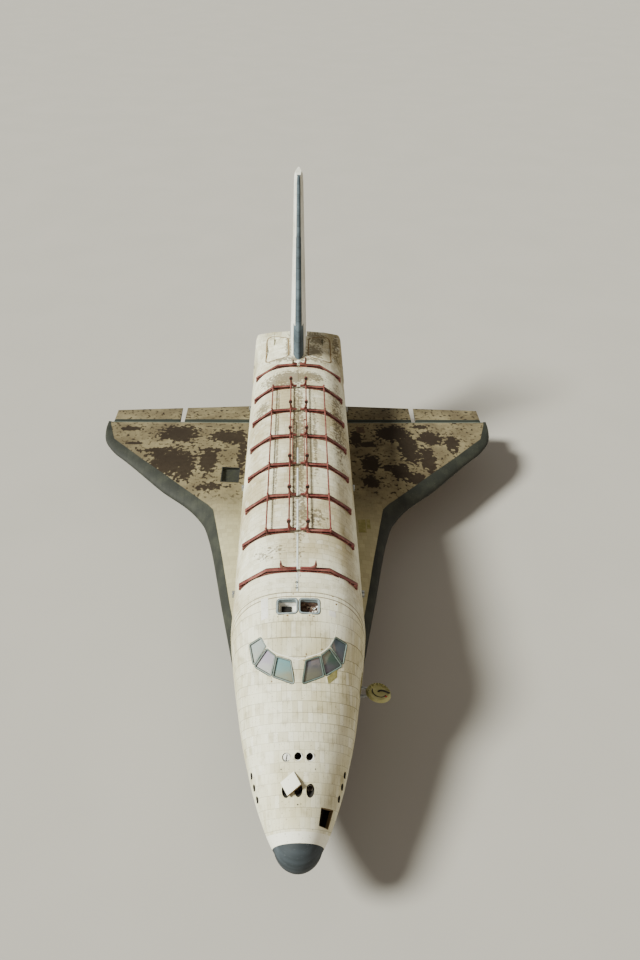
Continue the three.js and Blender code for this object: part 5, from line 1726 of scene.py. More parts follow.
@dataclass
class PayloadBay:
    """The middle body with its open trough, its two doors and the red lifting frames bolted on them."""

    shape: BodyShape
    use: Finishes
    front: float = 8.9
    back: float = 27.6 - SEAT
    sill: float = 5.88
    radius: float = 2.35
    centre: float = 5.2
    trough: Pair = (9.15, 27.35)
    door: float = 0.11
    run: float = 0.008
    hinges: tuple[float, ...] = (10.8, 18.25, 25.7)
    joints: tuple[float, ...] = (12.02, 16.7, 21.4, 24.6)  # stations of the joints between the door panels
    beams: int = 8
    first: float = 10.1
    second: float = 12.55
    pitch: float = 2.421
    rods: Pair = (0.41, 1.4)
    deep: float = 0.17  # height and width of a beam
    flange: float = 0.042  # width of each of its two edges
    inner: float = 0.07  # X of the inner ends of the front and rear beams
    short: float = 0.34  # X of the inner ends of the beams between them
    outer: float = 2.47
    feet: Pair = (0.44, 2.38)
    arm: float = 0.105  # width of a claw's arm and neck
    point: float = 0.21  # height of a claw's head

    def sill_run(self, half: np.ndarray, z: float) -> float:
        """Distance run along a half section where it passes a height on its upper part."""
        start = int(np.argmax(half[:, 0]))
        return float(np.interp(z, half[start:, 1], half[start:, 2]))

    def hull(self) -> None:
        """The lower middle body: sides, belly and the bay's trough."""
        half = self.shape.half(10.0)
        outer = self.shape.stretch(half, 0, self.sill_run(half, self.sill), 60)
        angle = np.linspace(0, math.pi / 2, 25)
        inner = np.column_stack([self.radius * np.cos(angle), self.centre - self.radius * np.sin(angle)])
        inner = np.concatenate([[[self.radius, self.sill]], inner])
        port = np.concatenate([outer[:, :2], inner])
        loop = np.concatenate([port, (port[::-1] * [-1, 1])[1:-1]])
        roof = half[-1, 2]
        away = np.concatenate([roof - outer[:, 2], np.full(len(inner), 1.0)])
        away = np.concatenate([away, -away[::-1][1:-1], [-roof]])
        stations = np.linspace(self.front, self.back, 40)
        rings = [upright(loop, s) for s in stations]
        piece = skin("middle_hull", rings, uv=lambda r, i: (away[i], stations[r]))
        dressed(piece, self.use.sides, self.use.primer)
        for face in piece.data.polygons:
            x, _, z = face.center
            reach = math.hypot(x, min(0.0, z - self.centre))
            inside = reach < self.radius + 0.02 and abs(face.normal.y) < 0.5
            face.material_index = int(inside or face.normal.z > 0.9 and z > 5.8)
        first, last = NOSE_BAY
        bay = block("nose_bay_tool", (-0.56, at(first), 1.0), (0.56, at(last), 2.65))
        cut(piece, dressed(bay, self.use.primer))
        place_on(piece, AIRFRAME, [self.use.sides, self.use.primer], ["mid_fuselage"], 30)

    def bulkheads(self) -> None:
        """The two end walls of the bay and the frames along it."""
        angle = np.linspace(-math.pi / 2, math.pi / 2, 41)
        arc = [(self.radius * math.sin(a), self.centre - self.radius * math.cos(a)) for a in angle]
        loop = [(-self.radius, self.sill), *arc, (self.radius, self.sill)]
        walls = []
        for s0, s1 in ((self.front + 0.001, self.trough[0]), (self.trough[1], self.back)):
            wall = skin("wall", [upright(loop, s) for s in (s0, s1)])
            walls.append(stepped(wall, (0, 1 if s0 < 20 else -1, 0), (0.12, -0.06), (0.5, 0.04)))
        for s in np.arange(10.3, 27.0, 1.3):
            outer, inner = (
                [(r * math.sin(a), self.centre - r * math.cos(a)) for a in angle]
                for r in (self.radius + 0.01, self.radius - 0.09)
            )
            walls.append(skin("rib", [upright(outer + inner[::-1], s + d) for d in (0, 0.05)]))
        place_on(joined("bay_frames", walls), AIRFRAME, [self.use.primer])

    def hinge_parts(self) -> None:
        """Knuckles on the sills, and the lugs on the doors that turn on them."""
        x, z = 2.8, self.sill
        fixed, turning = [], []
        for s in self.hinges:
            for edge in (-1, 1):
                y = at(s) + edge * 0.0603
                ear = block("knuckle", (x - 0.12, y - 0.03, z - 0.2), (x + 0.045, y + 0.03, z + 0.03))
                fixed.append(bevel(ear, 0.012, 2))
            fixed.append(rod("door_pin", (x, at(s) - 0.095, z), (x, at(s) + 0.095, z), 0.015, 16))
            lug = block("lug", (x - 0.17, at(s) - 0.03, z + 0.022), (x + 0.04, at(s) + 0.03, z + 0.12))
            eye = rod("eye", (x, at(s) - 0.03, z), (x, at(s) + 0.03, z), 0.042, 24)
            turning.append(joined("lug", [bevel(lug, 0.01, 2), eye]))
        place_pair(joined("knuckles", fixed), "door_knuckles_*", AIRFRAME, [self.use.alloy])
        place_pair(joined("lugs", turning), "door_lugs_*", "bay_door_*", [self.use.alloy])

    def doors(self) -> None:
        """The two curved doors, with joints between their panels and ribs inside."""
        low = self.sill + self.run
        gap = self.run / 2
        outlines = {}
        for inset in (0.0, 0.012, self.door):
            half = self.shape.half(10.0, inset)
            end = float(np.interp(gap, half[::-1, 0][: len(half) // 2], half[::-1, 2][: len(half) // 2]))
            outlines[inset] = self.shape.stretch(half, self.sill_run(half, low), end, 48)
        roof = self.shape.half(10.0)[-1, 2]
        rows = [(self.front + self.run, 0.0)]
        for joint in self.joints:
            rows += [
                (joint - 0.014, 0.0), (joint - 0.009, 0.012), (joint + 0.009, 0.012), (joint + 0.014, 0.0)
            ]
        rows.append((self.back - self.run, 0.0))
        count = len(outlines[0.0])
        rings = []
        for s, inset in rows:
            loop = np.concatenate([outlines[inset][:, :2], outlines[self.door][::-1, :2]])
            rings.append(upright(loop, s))

        def chart(r: int, i: int) -> Pair:
            """Pattern coordinates of a ring and point."""
            i = min(i % (2 * count), 2 * count - 1)
            k = i if i < count else 2 * count - 1 - i
            return roof - outlines[0.0][k, 2], rows[r][0]

        door = dressed(skin("bay_door_skin_port", rings, uv=chart), self.use.doors, self.use.alloy)
        middle = Vector((0, 0, self.centre))
        for face in door.data.polygons:
            out = Vector(face.center) - middle
            out.y = 0
            face.material_index = int(face.normal.dot(out.normalized()) < -0.5)
        twin = copied(door, "bay_door_skin_starboard")
        layer = twin.data.uv_layers[SURFACE]
        for loop in layer.data:
            loop.uv.x = -loop.uv.x
        finishes = [self.use.doors, self.use.alloy]
        place_on(door, "bay_door_port", finishes, ["bay_door_port"])
        place_on(twin, "bay_door_starboard", finishes, ["bay_door_starboard"])
        ribs = []
        inner = outlines[self.door]
        deeper = self.shape.half(10.0, self.door + 0.05)
        deeper = self.shape.stretch(deeper, self.sill_run(deeper, low), deeper[-1, 2] - 0.05, 48)
        for s in np.arange(9.6, 27.3, 1.55):
            loop = np.concatenate([inner[2:-2, :2], deeper[2:-2, :2][::-1]])
            ribs.append(skin("rib", [upright(loop, s + d) for d in (0, 0.04)]))
        place_pair(joined("ribs", ribs), "door_ribs_*", "bay_door_*", [self.use.primer])

    def seam_strip(self) -> None:
        """The pale strip along the starboard door's inner edge, in lengths between the frames."""
        strips = []
        for s0, s1 in (
            (8.95, 9.6), (9.66, 10.0), (10.24, 12.4), (12.7, 14.8), (15.1, 17.2), (17.6, 18.9)
        ):
            z = self.shape.height(0.0, 10.0)
            strip = block("strip", (-0.075, at(s0), z - 0.004), (-0.006, at(s1), z + 0.008))
            strips.append(bevel(strip, 0.004, 2))
        place_on(joined("seam_strips", strips), "bay_door_starboard", [self.use.strip])
        dots = []
        for x, s, r in ((-0.07, 9.44, 0.055), (-0.07, 9.13, 0.045), (-0.08, 9.24, 0.02)):
            ring = spun(
                "dot", [(r * 0.5, -0.01), (r, -0.01), (r, 0.014), (r * 0.8, 0.02), (r * 0.5, 0.014)], 20
            )
            dots.append(placed(ring, self.shape.on(x, s, 0.004), (0, 0, 1)))
        place_on(joined("seam_fittings", dots), "bay_door_starboard", [self.use.seal])

    def station(self, number: int) -> float:
        """Station of a beam."""
        return self.second + (number - 1) * self.pitch if number else self.first

    def top(self, x: float, bend: float) -> float:
        """Height of a beam's top line at a place."""
        return float(np.interp(x, [self.inner, bend, self.outer], [8.03, 7.93, 7.08]))

    def bar(self, bend: float, span: Pair, sides: Pair, drops: Pair) -> Piece:
        """A bent bar that follows a beam's line.

        Args:
            bend: X of the bend.
            span: X of the inner and the outer end.
            sides: Y of the two sides.
            drops: How far its top and its underside lie below the beam's top.

        Returns:
            The bar.
        """
        x0, x1 = span
        z0, z1, z2 = (self.top(x, bend) for x in (x0, bend, x1))
        piece = block("bar", (x0, sides[0], z0 - drops[1]), (bend, sides[1], z0 - drops[0]))
        with editing(piece) as mesh:
            for vertex in mesh.verts:
                if vertex.co.x > bend - 0.01:
                    vertex.co.z += z1 - z0
            pick(mesh, lambda f: f.normal.x > 0.9)
            bpy.ops.mesh.extrude_region_move(TRANSFORM_OT_translate={"value": (x1 - bend, 0, z2 - z1)})
        return bevel(piece, 0.004, 2)

    def beam(self, bend: float, inner: float) -> Piece:
        """Half a beam at station zero: two wide flanges on a deep web, forked at its ends, on two feet.

        Args:
            bend: X of the bend.
            inner: X of the inner end.

        Returns:
            The beam, centred on Y 0.
        """
        half, deep, web = self.deep / 2, self.deep, 0.03
        whole, short = (inner, self.outer), (inner + 0.03, self.outer - 0.1)
        # the web and the strip along the far top edge take the darker red as painted shade
        parts = [
            dressed(self.bar(bend, whole, (-half, half), (0.008, self.flange)), self.use.red),
            dressed(self.bar(bend, whole, (-half, half), (deep - 0.034, deep)), self.use.red),
            dressed(
                self.bar(bend, short, (-web, web), (self.flange - 0.002, deep - 0.032)), self.use.groove
            ),
            dressed(self.bar(bend, short, (half - 0.03, half), (0.0, 0.02)), self.use.groove),
        ]
        for x in np.linspace(inner + 0.25, self.outer - 0.3, 5):
            top = self.top(x, bend)
            for side in (-1, 1):
                edges = sorted((side * web, side * (half - 0.015)))
                rib = block(
                    "rib",
                    (x - 0.01, edges[0], top - deep + 0.03),
                    (x + 0.01, edges[1], top - self.flange),
                )
                parts.append(dressed(rib, self.use.red))
        for x in self.feet:
            top, ground = self.top(x, bend) - self.deep / 2, self.shape.height(x, 12.0)
            foot = bevel(block("foot", (x - 0.06, -0.06, ground - 0.01), (x + 0.06, 0.06, top)), 0.006, 2)
            pad = bevel(
                block("pad", (x - 0.09, -0.08, ground - 0.03), (x + 0.09, 0.08, ground + 0.014)), 0.006, 2
            )
            parts += [dressed(foot, self.use.red), dressed(pad, self.use.red)]
        return joined("beam", parts)

    def claw(self, kind: Claw) -> Piece:
        """A slim curved claw at station zero, with a head of two cheeks and a pin through it."""
        arm, point = self.arm, self.point
        foot, heel, reach, low, tip, head = astuple(kind)
        middle, neck = reach - arm / 2, tip - point
        outer = swept((heel, low), (reach - 0.01, low + arm / 2), (reach, neck))
        inner = swept(
            (reach - arm, neck), (reach - arm - 0.01, low + 1.5 * arm), (heel - 0.06, low + arm)
        )
        crown = [(head, -point / 2), (head * 0.8, -point * 0.2), (head / 2, 0)]
        crown += [(-x, z) for x, z in crown[::-1]]
        crown = [(middle + x, tip + z) for x, z in crown]
        loop = [(foot, low), *outer, *crown, *inner, (foot, low + arm)]
        plate = bevel(
            skin("claw", [np.array([(x, y, z) for x, z in loop]) for y in (-0.045, 0.045)]), 0.008, 2
        )
        parts = [dressed(plate, self.use.red)]
        if head > 0.035:
            plan = [(0.8, -0.75), (1, -0.5), (0.45, -0.04)]
            plan += [(-x, z) for x, z in plan[::-1]]
            cheek = [(middle + x * head, tip + z * point) for x, z in plan]
            # the cheeks and the pin take the darker red as painted shade
            for y in (-0.06, 0.044):
                side = skin("cheek", [np.array([(x, y + d, z) for x, z in cheek]) for d in (0, 0.016)])
                parts.append(dressed(side, self.use.groove))
        z = tip - point / 2
        parts.append(
            dressed(rod("claw_pin", (middle, -0.07, z), (middle, 0.07, z), 0.024, 16), self.use.groove)
        )
        boss = rod(
            "claw_boss", (foot + 0.07, -0.06, low + 0.05), (foot + 0.07, 0.06, low + 0.05), 0.035, 16
        )
        parts.append(dressed(boss, self.use.red))
        return joined("claw", parts)

    def rails(self) -> list[Piece]:
        """The long rods over the beams with their clamps, and the short spare ones beside the inner rods."""
        last = self.beams - 1
        ends = at(self.station(1)) - 0.09, at(self.station(last - 1)) + 0.09
        parts, red = [], self.use.red
        for x in self.rods:
            z = self.top(x, self.rods[1]) + 0.02
            parts.append(dressed(rod("bar", (x, ends[0], z), (x, ends[1], z), 0.036, 20), red))
            for number in range(1, last):
                for edge in (-0.1, 0.1):
                    y = at(self.station(number)) + edge
                    clamp = bevel(rod("clamp", (x, y - 0.02, z), (x, y + 0.02, z), 0.056, 24), 0.004, 2)
                    parts.append(dressed(clamp, red))
        x, z = self.rods[0] - 0.12, 8.03
        for s0, s1 in ((17.5, 19.75), (19.95, 21.2)):
            parts.append(dressed(rod("spare", (x, at(s0), z), (x, at(s1), z), 0.024, 16), red))
            for s in (s0 + 0.03, s1 - 0.03):
                link = block(
                    "link", (x, at(s) - 0.02, z - 0.015), (self.rods[0], at(s) + 0.02, z + 0.015)
                )
                parts.append(dressed(link, red))
        return parts

    def lifting_frames(self) -> None:
        """All the red beams, rods and claws, each side as the doors carry them."""
        last = self.beams - 1
        between = self.beam(1.4, self.short)
        front_beam, rear_beam = (self.beam(bend, self.inner) for bend in (1.3, 1.2))
        hooked = self.claw(Claw(0.09, 0.30, 0.465, 7.95, 8.56, 0.095))
        prong = self.claw(Claw(0.09, 0.54, 0.765, 7.95, 8.40, 0.034))
        short = self.claw(Claw(0.09, 0.33, 0.47, 7.97, 8.42, 0.045))
        bent = self.claw(Claw(0.09, 0.20, 0.36, 7.97, 8.29, 0.045))
        parts = []
        for number in range(1, last):
            move = moved(y=at(self.station(number)))
            parts += [copied(between, "part", move), copied(hooked, "part", move)]
        whole, finishes = joined("lifting_frame", parts + self.rails()), [self.use.red, self.use.groove]
        place_pair(whole, "lifting_frame_*", "bay_door_*", finishes, ["door_frame_*"])
        start, finish = (moved(y=at(self.station(number))) for number in (0, last))
        ends = {
            "front": {1: (front_beam, prong, start), -1: (front_beam, prong, start)},
            "rear": {1: (rear_beam, short, finish), -1: (rear_beam, bent, finish)},
        }
        for side, sign in SIDES.items():
            for end, kinds in ends.items():
                half_beam, claw, move = kinds[sign]
                move = move if sign > 0 else MIRROR @ move
                name = f"{end}_lifting_beam_{side}"
                piece = joined(name, [copied(half_beam, "part", move), copied(claw, "part", move)])
                place_on(piece, "bay_door_" + side, finishes, [f"{end}_beam_{side}"])
        for piece in (between, front_beam, rear_beam, hooked, prong, short, bent):
            bpy.data.objects.remove(piece)

    def build(self) -> None:
        """Builds the middle body and all on it."""
        self.hull()
        self.bulkheads()
        self.hinge_parts()
        self.doors()
        self.seam_strip()
        self.lifting_frames()


@dataclass
class TailEnd:
    """The aft body, its base, the thruster pods, the engine bells, the chute housing and the body flap."""

    shape: BodyShape
    use: Finishes
    front: float = 27.6
    back: float = 31.5
    engine: Pair = (0.72, 4.55)  # x and z of a bell's axis
    hinge: Pair = (31.72, 2.33)  # station and z of the flap's hinge
    places: tuple[float, ...] = (-1.5, 0.0, 1.5)
    panel: tuple[Pair, ...] = ((0.52, 28.15), (1.98, 28.15), (1.98, 31.9), (0.6, 31.3))
    pod_back: float = 32.25
    pod_rows: tuple[Pair, ...] = ((29.2, 0.76), (30.2, 0.17), (31.0, 0.0), (31.8, 0.0), (32.25, 0.04))
    pod_corners: tuple[Pair, ...] = ((1.5, 4.3), (2.955, 4.3), (2.629, 7.225), (1.5, 7.43))
    deck: tuple[Pair, ...] = ((0.52, 6.75), (1.56, 6.45), (1.56, 7.40), (0.52, 7.49))
    deck_front: float = 31.3

    def hull(self) -> None:
        """The aft body with a panelled base."""
        rows = [
            (self.front, 0.0),
            (27.62, 0.0),
            *[(s, 0.0) for s in np.linspace(27.8, 31.45, 16)],
            (self.back, 0.0),
        ]
        piece = self.shape.body("aft_shell", rows)
        stepped(piece, (0, 1, 0), (0.12, -0.05), (0.25, 0.03))
        dressed(piece, self.use.aft, self.use.black)
        for face in piece.data.polygons:
            face.material_index = int(face.center.y > at(self.back) - 0.06 and face.normal.y > 0.5)
        place_on(piece, AIRFRAME, [self.use.aft, self.use.black], ["aft_fuselage"], 30)
        panels = []
        for side in (1, -1):
            plan = [Vector((side * x, s, 0)) for x, s in self.panel]
            outline = rounded(plan, 0.6, 10)
            loops = []
            for by, lift in (
                (0.0, -0.03), (0.0, 0.008), (-0.02, 0.014), (-0.05, 0.014), (-0.07, 0.008), (-0.07, -0.03)
            ):
                loops.append(
                    [Vector((p.x, at(p.y), self.top(p.x, p.y) + lift)) for p in grown(outline, by)]
                )
            panels.append(collar("panel", loops))
        place_on(joined("aft_panel_edges", panels), AIRFRAME, [self.use.bare_tile])
        plates = []
        for x in self.places:
            y, z = at(self.hinge[0]), self.hinge[1]
            plate = block(
                "plate", (x - 0.03, at(self.back) - 0.05, z - 0.045), (x + 0.03, y + 0.04, z + 0.045)
            )
            plates += [bevel(plate, 0.01, 2), rod("pin", (x - 0.076, y, z), (x + 0.076, y, z), 0.015, 16)]
        place_on(joined("flap_brackets", plates), AIRFRAME, [self.use.alloy])

    def section(self, s: float) -> list[Pair]:
        """Corners of a pod's section, drawn in towards its front."""
        drawn = float(steady([row[0] for row in self.pod_rows], [row[1] for row in self.pod_rows], s))
        foot, side, shoulder, crest = self.pod_corners
        side, shoulder = (side[0] - drawn, side[1]), (shoulder[0] - drawn, shoulder[1] - drawn / 2)
        return [foot, side, shoulder, (crest[0], crest[1] - drawn / 2)]

    def top(self, x: float, s: float) -> float:
        """Height of the top at a place, over the body, the pods and the deck between them."""
        heights = [self.shape.height(x, s)]
        _, _, shoulder, crest = self.section(s)
        if s > self.pod_rows[0][0] and crest[0] < abs(x) < shoulder[0]:
            heights.append(float(np.interp(abs(x), [crest[0], shoulder[0]], [crest[1], shoulder[1]])))
        inner, outer = self.deck[3], self.deck[2]
        if s > self.deck_front and inner[0] < abs(x) < outer[0]:
            heights.append(float(np.interp(abs(x), [inner[0], outer[0]], [inner[1], outer[1]])))
        return max(heights)

    def pods(self) -> None:
        """The thruster pods with their nozzles, and the flat shoulders of the deck beside the fin."""
        rings = []
        for s in np.linspace(self.pod_rows[0][0], self.pod_back, 20):
            plan = [Vector((x, z, 0)) for x, z in self.section(s)]
            rings.append(np.array([(p.x, at(s), p.y) for p in rounded(plan, (0.02, 0.3, 0.3, 0.02), 8)]))
        pod = dressed(skin("thruster_pod", rings), self.use.pods)
        ends = at(self.deck_front), at(self.pod_back)
        shoulder = skin("shoulder", [np.array([(x, y, z) for x, z in self.deck]) for y in ends])
        shoulder = dressed(bevel(shoulder, 0.03, 3), self.use.pods)
        back_mouths = ((2.15, 5.0), (2.15, 5.5), (2.15, 6.0), (2.5, 5.25), (2.5, 5.75))
        nozzle = [
            (0.04, -0.2), (0.06, -0.16), (0.1, -0.02), (0.112, 0.012), (0.104, 0.012), (0.09, -0.03)
        ]
        nozzle += [(0.05, -0.16), (0.03, -0.2)]
        # the holes cut for the pod nozzles take near-black as painted shade
        parts = []
        for x, z in back_mouths:
            tool = rod("tool", (x, at(self.pod_back - 0.3), z), (x, at(self.pod_back + 0.1), z), 0.13, 32)
            cut(pod, dressed(tool, self.use.dark))
            parts.append(placed(spun("nozzle", nozzle, 32), (x, at(self.pod_back) - 0.03, z), (0, 1, 0)))
        for s in (30.8, 31.25, 31.7):
            tool = rod("tool", (2.48, at(s), 5.7), (3.1, at(s), 5.7), 0.12, 32)
            cut(pod, dressed(tool, self.use.dark))
            part = spun("nozzle", [(a * 0.9, b) for a, b in nozzle], 32)
            parts.append(placed(part, (2.77, at(s), 5.7), (1, 0, 0.11)))
        shell, nozzles = joined("pod", [pod, shoulder]), joined("nozzles", parts)
        name, node = "thruster_pod_shell_*", "thruster_pod_*"
        place_pair(shell, name, AIRFRAME, [self.use.pods], [node], fresh=True)
        place_pair(nozzles, "pod_nozzles_*", AIRFRAME, [self.use.steel])

    def bells(self) -> None:
        """The two orbital engine bells with stiffening bands."""
        outer = [
            (0.0, 0.0), (0.25, 0.0), (0.25, 0.26), (0.21, 0.30), (0.19, 0.33), (0.215, 0.42),
            (0.255, 0.54),
        ]
        outer += [
            (0.30, 0.70), (0.345, 0.86), (0.385, 1.0), (0.395, 1.0), (0.405, 1.03), (0.4, 1.03),
            (0.408, 1.1),
        ]
        outer += [(0.42, 1.11), (0.42, 1.15)]
        inner = [
            (0.395, 1.15), (0.375, 1.0), (0.32, 0.86), (0.27, 0.70), (0.2, 0.5), (0.15, 0.38), (0.0, 0.36)
        ]
        bell = spun("bell", outer + inner, 56)
        placed(bell, (self.engine[0], at(self.back + SEAT), self.engine[1]), (0, 1, 0))
        ring = spun("ring", [(0.251, 0.0), (0.43, 0.0), (0.41, 0.05), (0.33, 0.09), (0.251, 0.1)], 56)
        placed(ring, (self.engine[0], at(self.back) - 0.02, self.engine[1]), (0, 1, 0))
        place_pair(bell, "bell_shell_*", AIRFRAME, [self.use.steel], ["engine_bell_*"], 40)
        place_pair(ring, "bell_collar_*", AIRFRAME, [self.use.black])

    def chute(self) -> None:
        """The brake chute housing under the fin, with a lid set into its back."""
        housing = block("chute_box", (-0.48, at(self.back), 6.48), (0.48, at(31.96), 7.12))
        bevel(stepped(housing, (0, 1, 0), (0.09, -0.03), (0.03, 0.025)), 0.03, 3)
        place_on(housing, AIRFRAME, [self.use.fin], ["chute_housing"])

    def flap(self) -> None:
        """The body flap under the base."""
        s, z = self.hinge
        half, r, trail = 2.35, 0.17, 33.3
        angle = np.linspace(math.pi / 2, 3 * math.pi / 2, 17)
        loop = [(at(s) + r * math.cos(a), z + r * math.sin(a)) for a in angle]
        loop += [(at(trail), z - 0.02), (at(trail), z + 0.02)]
        piece = skin("body_flap_skin", [np.array([(x, y, zz) for y, zz in loop]) for x in (-half, half)])
        for x in self.places:
            slot = block(
                "slot", (x - 0.05, at(s) - r - 0.04, z - r - 0.04), (x + 0.05, at(s) + 0.06, z + r + 0.04)
            )
            cut(piece, slot)
        bevel(piece, 0.01, 2, 50)
        place_on(piece, "body_flap", [self.use.black], ["body_flap"], 40)

    def build(self) -> None:
        """Builds the whole tail end."""
        self.hull()
        self.pods()
        self.bells()
        self.chute()
        self.flap()


@dataclass(frozen=True)
class WingRow:
    """A wing section: x, station of its front, thickness, height of its plane and station of its back."""

    x: float
    lead: float
    thick: float
    plane: float
    trail: float


@dataclass
class Wing:
    """The delta wings with their hard leading edges and elevons."""

    use: Finishes
    rows: tuple[WingRow, ...] = (
        WingRow(2.2, 6.45, 1.25, 2.43, 31.35),
        WingRow(2.88, 9.47, 1.24, 2.43, 31.30),
        WingRow(3.64, 13.04, 1.22, 2.44, 31.235),
        WingRow(4.72, 18.10, 1.16, 2.455, 31.145),
        WingRow(5.116, 19.26, 1.11, 2.46, 31.11),
        WingRow(7.91, 22.38, 0.78, 2.52, 30.875),
        WingRow(10.4, 25.15, 0.50, 2.59, 30.665),
        WingRow(10.85, 25.60, 0.44, 2.60, 30.625),
        WingRow(11.4, 26.35, 0.37, 2.615, 30.58),
        WingRow(11.7, 26.90, 0.32, 2.622, 30.555),
        WingRow(11.88, 27.50, 0.27, 2.628, 30.54),
        WingRow(11.96, 28.15, 0.20, 2.63, 30.53),
    )
    hinge: float = 29.13
    nose_share: float = 0.35
    up_share: float = 0.62
    inner_edge: tuple[Pair, ...] = (
        (1.9, 7.3), (2.5, 9.47), (3.26, 13.04), (3.80, 15.95), (4.28, 18.35), (4.59, 19.85),
        (4.99, 20.45), (5.85, 21.38), (7.76, 23.34), (9.28, 24.9), (11.23, 27.0), (11.76, 28.8),
        (11.77, 29.14),
    )
    elevons: tuple[tuple[str, float, float], ...] = (("inboard", 2.93, 7.2), ("outboard", 7.5, 11.62))
    slot: float = 0.75
    hole: tuple[Pair, Pair] = ((3.42, 4.35), (22.3, 23.7))  # the starboard wing's opening

    def read(self, column: str, x: float) -> float:
        """Reads a column of the rows at a span position."""
        keys, values = [row.x for row in self.rows], [getattr(row, column) for row in self.rows]
        return float(steady(keys, values, x) if column == "lead" else np.interp(x, keys, values))

    def nose_radius(self, x: float) -> float:
        """Radius of the elevons' round front."""
        return float(np.interp(x, [2.2, 11.96], [0.262, 0.092]))

    def hinge_z(self, x: float) -> float:
        """Height of the hinge line."""
        return float(np.interp(x, [2.2, 11.96], [2.5, 2.64]))

    def edge(self, x: float) -> float:
        """Share of the chord where the hard leading edge ends."""
        s = float(np.interp(x, [p[0] for p in self.inner_edge], [p[1] for p in self.inner_edge]))
        lead = self.read("lead", x)
        return float(np.clip((s - lead) / (self.hinge - lead), 0.012, 0.985))

    def surface(self, x: float, share: float) -> Triple:
        """Station, top and bottom of the wing at a place."""
        lead, plane, thick = self.read("lead", x), self.read("plane", x), self.read("thick", x)
        r, z = self.nose_radius(x), self.hinge_z(x)
        plump = math.sqrt(max(0.0, 1 - max(0.0, (self.nose_share - share) / self.nose_share) ** 2))
        fade = max(0.0, (share - self.nose_share) / (1 - self.nose_share)) ** 1.5
        top = plane + thick * self.up_share * plump
        low = plane - thick * (1 - self.up_share) * plump
        return lead + (self.hinge - lead) * share, top + (z + r - top) * fade, low + (z - r - low) * fade

    def columns(self) -> np.ndarray:
        """Span positions, close together where the outline turns."""
        return np.concatenate(
            [np.linspace(2.2, 5.6, 62), np.linspace(5.7, 10.8, 34), np.linspace(10.9, 11.955, 26)]
        )

    def panel(self) -> Piece:
        """The felt-covered part of the port wing."""
        rings = []
        for x in self.columns():
            r, z = self.nose_radius(x), self.hinge_z(x)
            lead = self.read("lead", x)
            end = (self.hinge - r * self.slot - lead) / (self.hinge - lead)
            start = min(self.edge(x), end - 0.02)
            shares = np.linspace(start, end, 22)
            places = [self.surface(x, share) for share in shares]
            lip = r * math.sqrt(1.03**2 - self.slot**2)
            back = self.hinge - r * self.slot
            upper = [(x, at(s), top) for s, top, _ in places]
            lower = [(x, at(s), low) for s, _, low in places]
            groove = [(x, at(back), z + lip), (x, at(self.hinge - r * 1.04), z), (x, at(back), z - lip)]
            rings.append(np.array(upper + groove + lower[::-1]))
        return skin("wing_skin", rings)

    def leading_edge(self) -> Piece:
        """The hard leading edge of the port wing, from the body to the tip."""
        rings, runs, run, last = [], [], 0.0, None
        for x in self.columns():
            share = self.edge(x)
            steps = [share * (k / 14) ** 2 for k in range(15)]
            places = [self.surface(x, t) for t in steps]
            lift = 0.006
            ring = [(x, at(s), top + lift) for s, top, _ in places[::-1]]
            ring += [(x, at(s), low - lift) for s, _, low in places[1:]]
            ring[14] = (x, at(places[0][0]) - 0.004, (places[0][1] + places[0][2]) / 2)
            point = Vector((x, at(places[0][0]), 0))
            run += (point - last).length if last else 0.0
            last = point
            runs.append(run)
            rings.append(np.array(ring))
        return skin("edge_skin", rings, uv=lambda r, i: (runs[r], i * 0.1))

    def elevon(self, name: str, x0: float, x1: float) -> Piece:
        """An elevon with a round front and a thin back edge."""
        rings = []
        for x in np.linspace(x0, x1, 9):
            r, z = self.nose_radius(x) - 0.001, self.hinge_z(x)
            angle = np.linspace(math.pi / 2, 3 * math.pi / 2, 17)
            loop = [(x, at(self.hinge) + r * math.cos(a), z + r * math.sin(a)) for a in angle]
            trail = at(self.read("trail", x))
            loop += [(x, trail, z - 0.018), (x, trail, z + 0.018)]
            rings.append(np.array(loop))
        piece = skin("elevon_" + name, rings)
        return bevel(piece, 0.012, 2, 50)

    def build(self) -> None:
        """Builds both wings."""
        wing, edge = self.panel(), self.leading_edge()
        first, last = MAIN_BAY
        bay = block("bay_tool", (2.98, at(first), 0.5), (4.48, at(last), 2.78))
        cut(dressed(wing, self.use.wing_port), dressed(bay, self.use.primer))
        wing.name = "wing_skin_port"
        place_on(wing, AIRFRAME, [self.use.wing_port], ["wing_port"])
        twin = copied(wing, "wing_skin_starboard")
        (x0, x1), (s0, s1) = self.hole
        hole = block("hole_tool", (-x1, at(s0), 2.92), (-x0, at(s1), 4.5))
        cut(twin, dressed(bevel(hole, 0.03, 2), self.use.pit))
        place_on(twin, AIRFRAME, [self.use.wing_starboard], ["wing_starboard"])
        place_pair(edge, "edge_skin_*", AIRFRAME, [self.use.edge], ["leading_edge_*"], 50)
        for name, x0, x1 in self.elevons:
            body = f"elevon_{name}_*"
            piece = self.elevon(name, x0, x1)
            place_pair(piece, body + "_skin", body, [self.use.elevons], [body], 40, True)
        self.seal_strips()
        self.plates()

    def plate(self, span: Pair, stations: Pair, height: float) -> Piece:
        """A thin plate that follows the wing's top between two span positions and two stations."""
        rings = []
        for x in np.linspace(*span, 4):
            lead = self.read("lead", x)
            low, high = (self.surface(x, (s - lead) / (self.hinge - lead))[1] for s in stations)
            front, back = (at(s) for s in stations)
            loop = [
                (front, low + height), (back, high + height), (back, high - 0.02), (front, low - 0.02)
            ]
            rings.append(np.array([(x, y, z) for y, z in loop]))
        return skin("plate", rings)

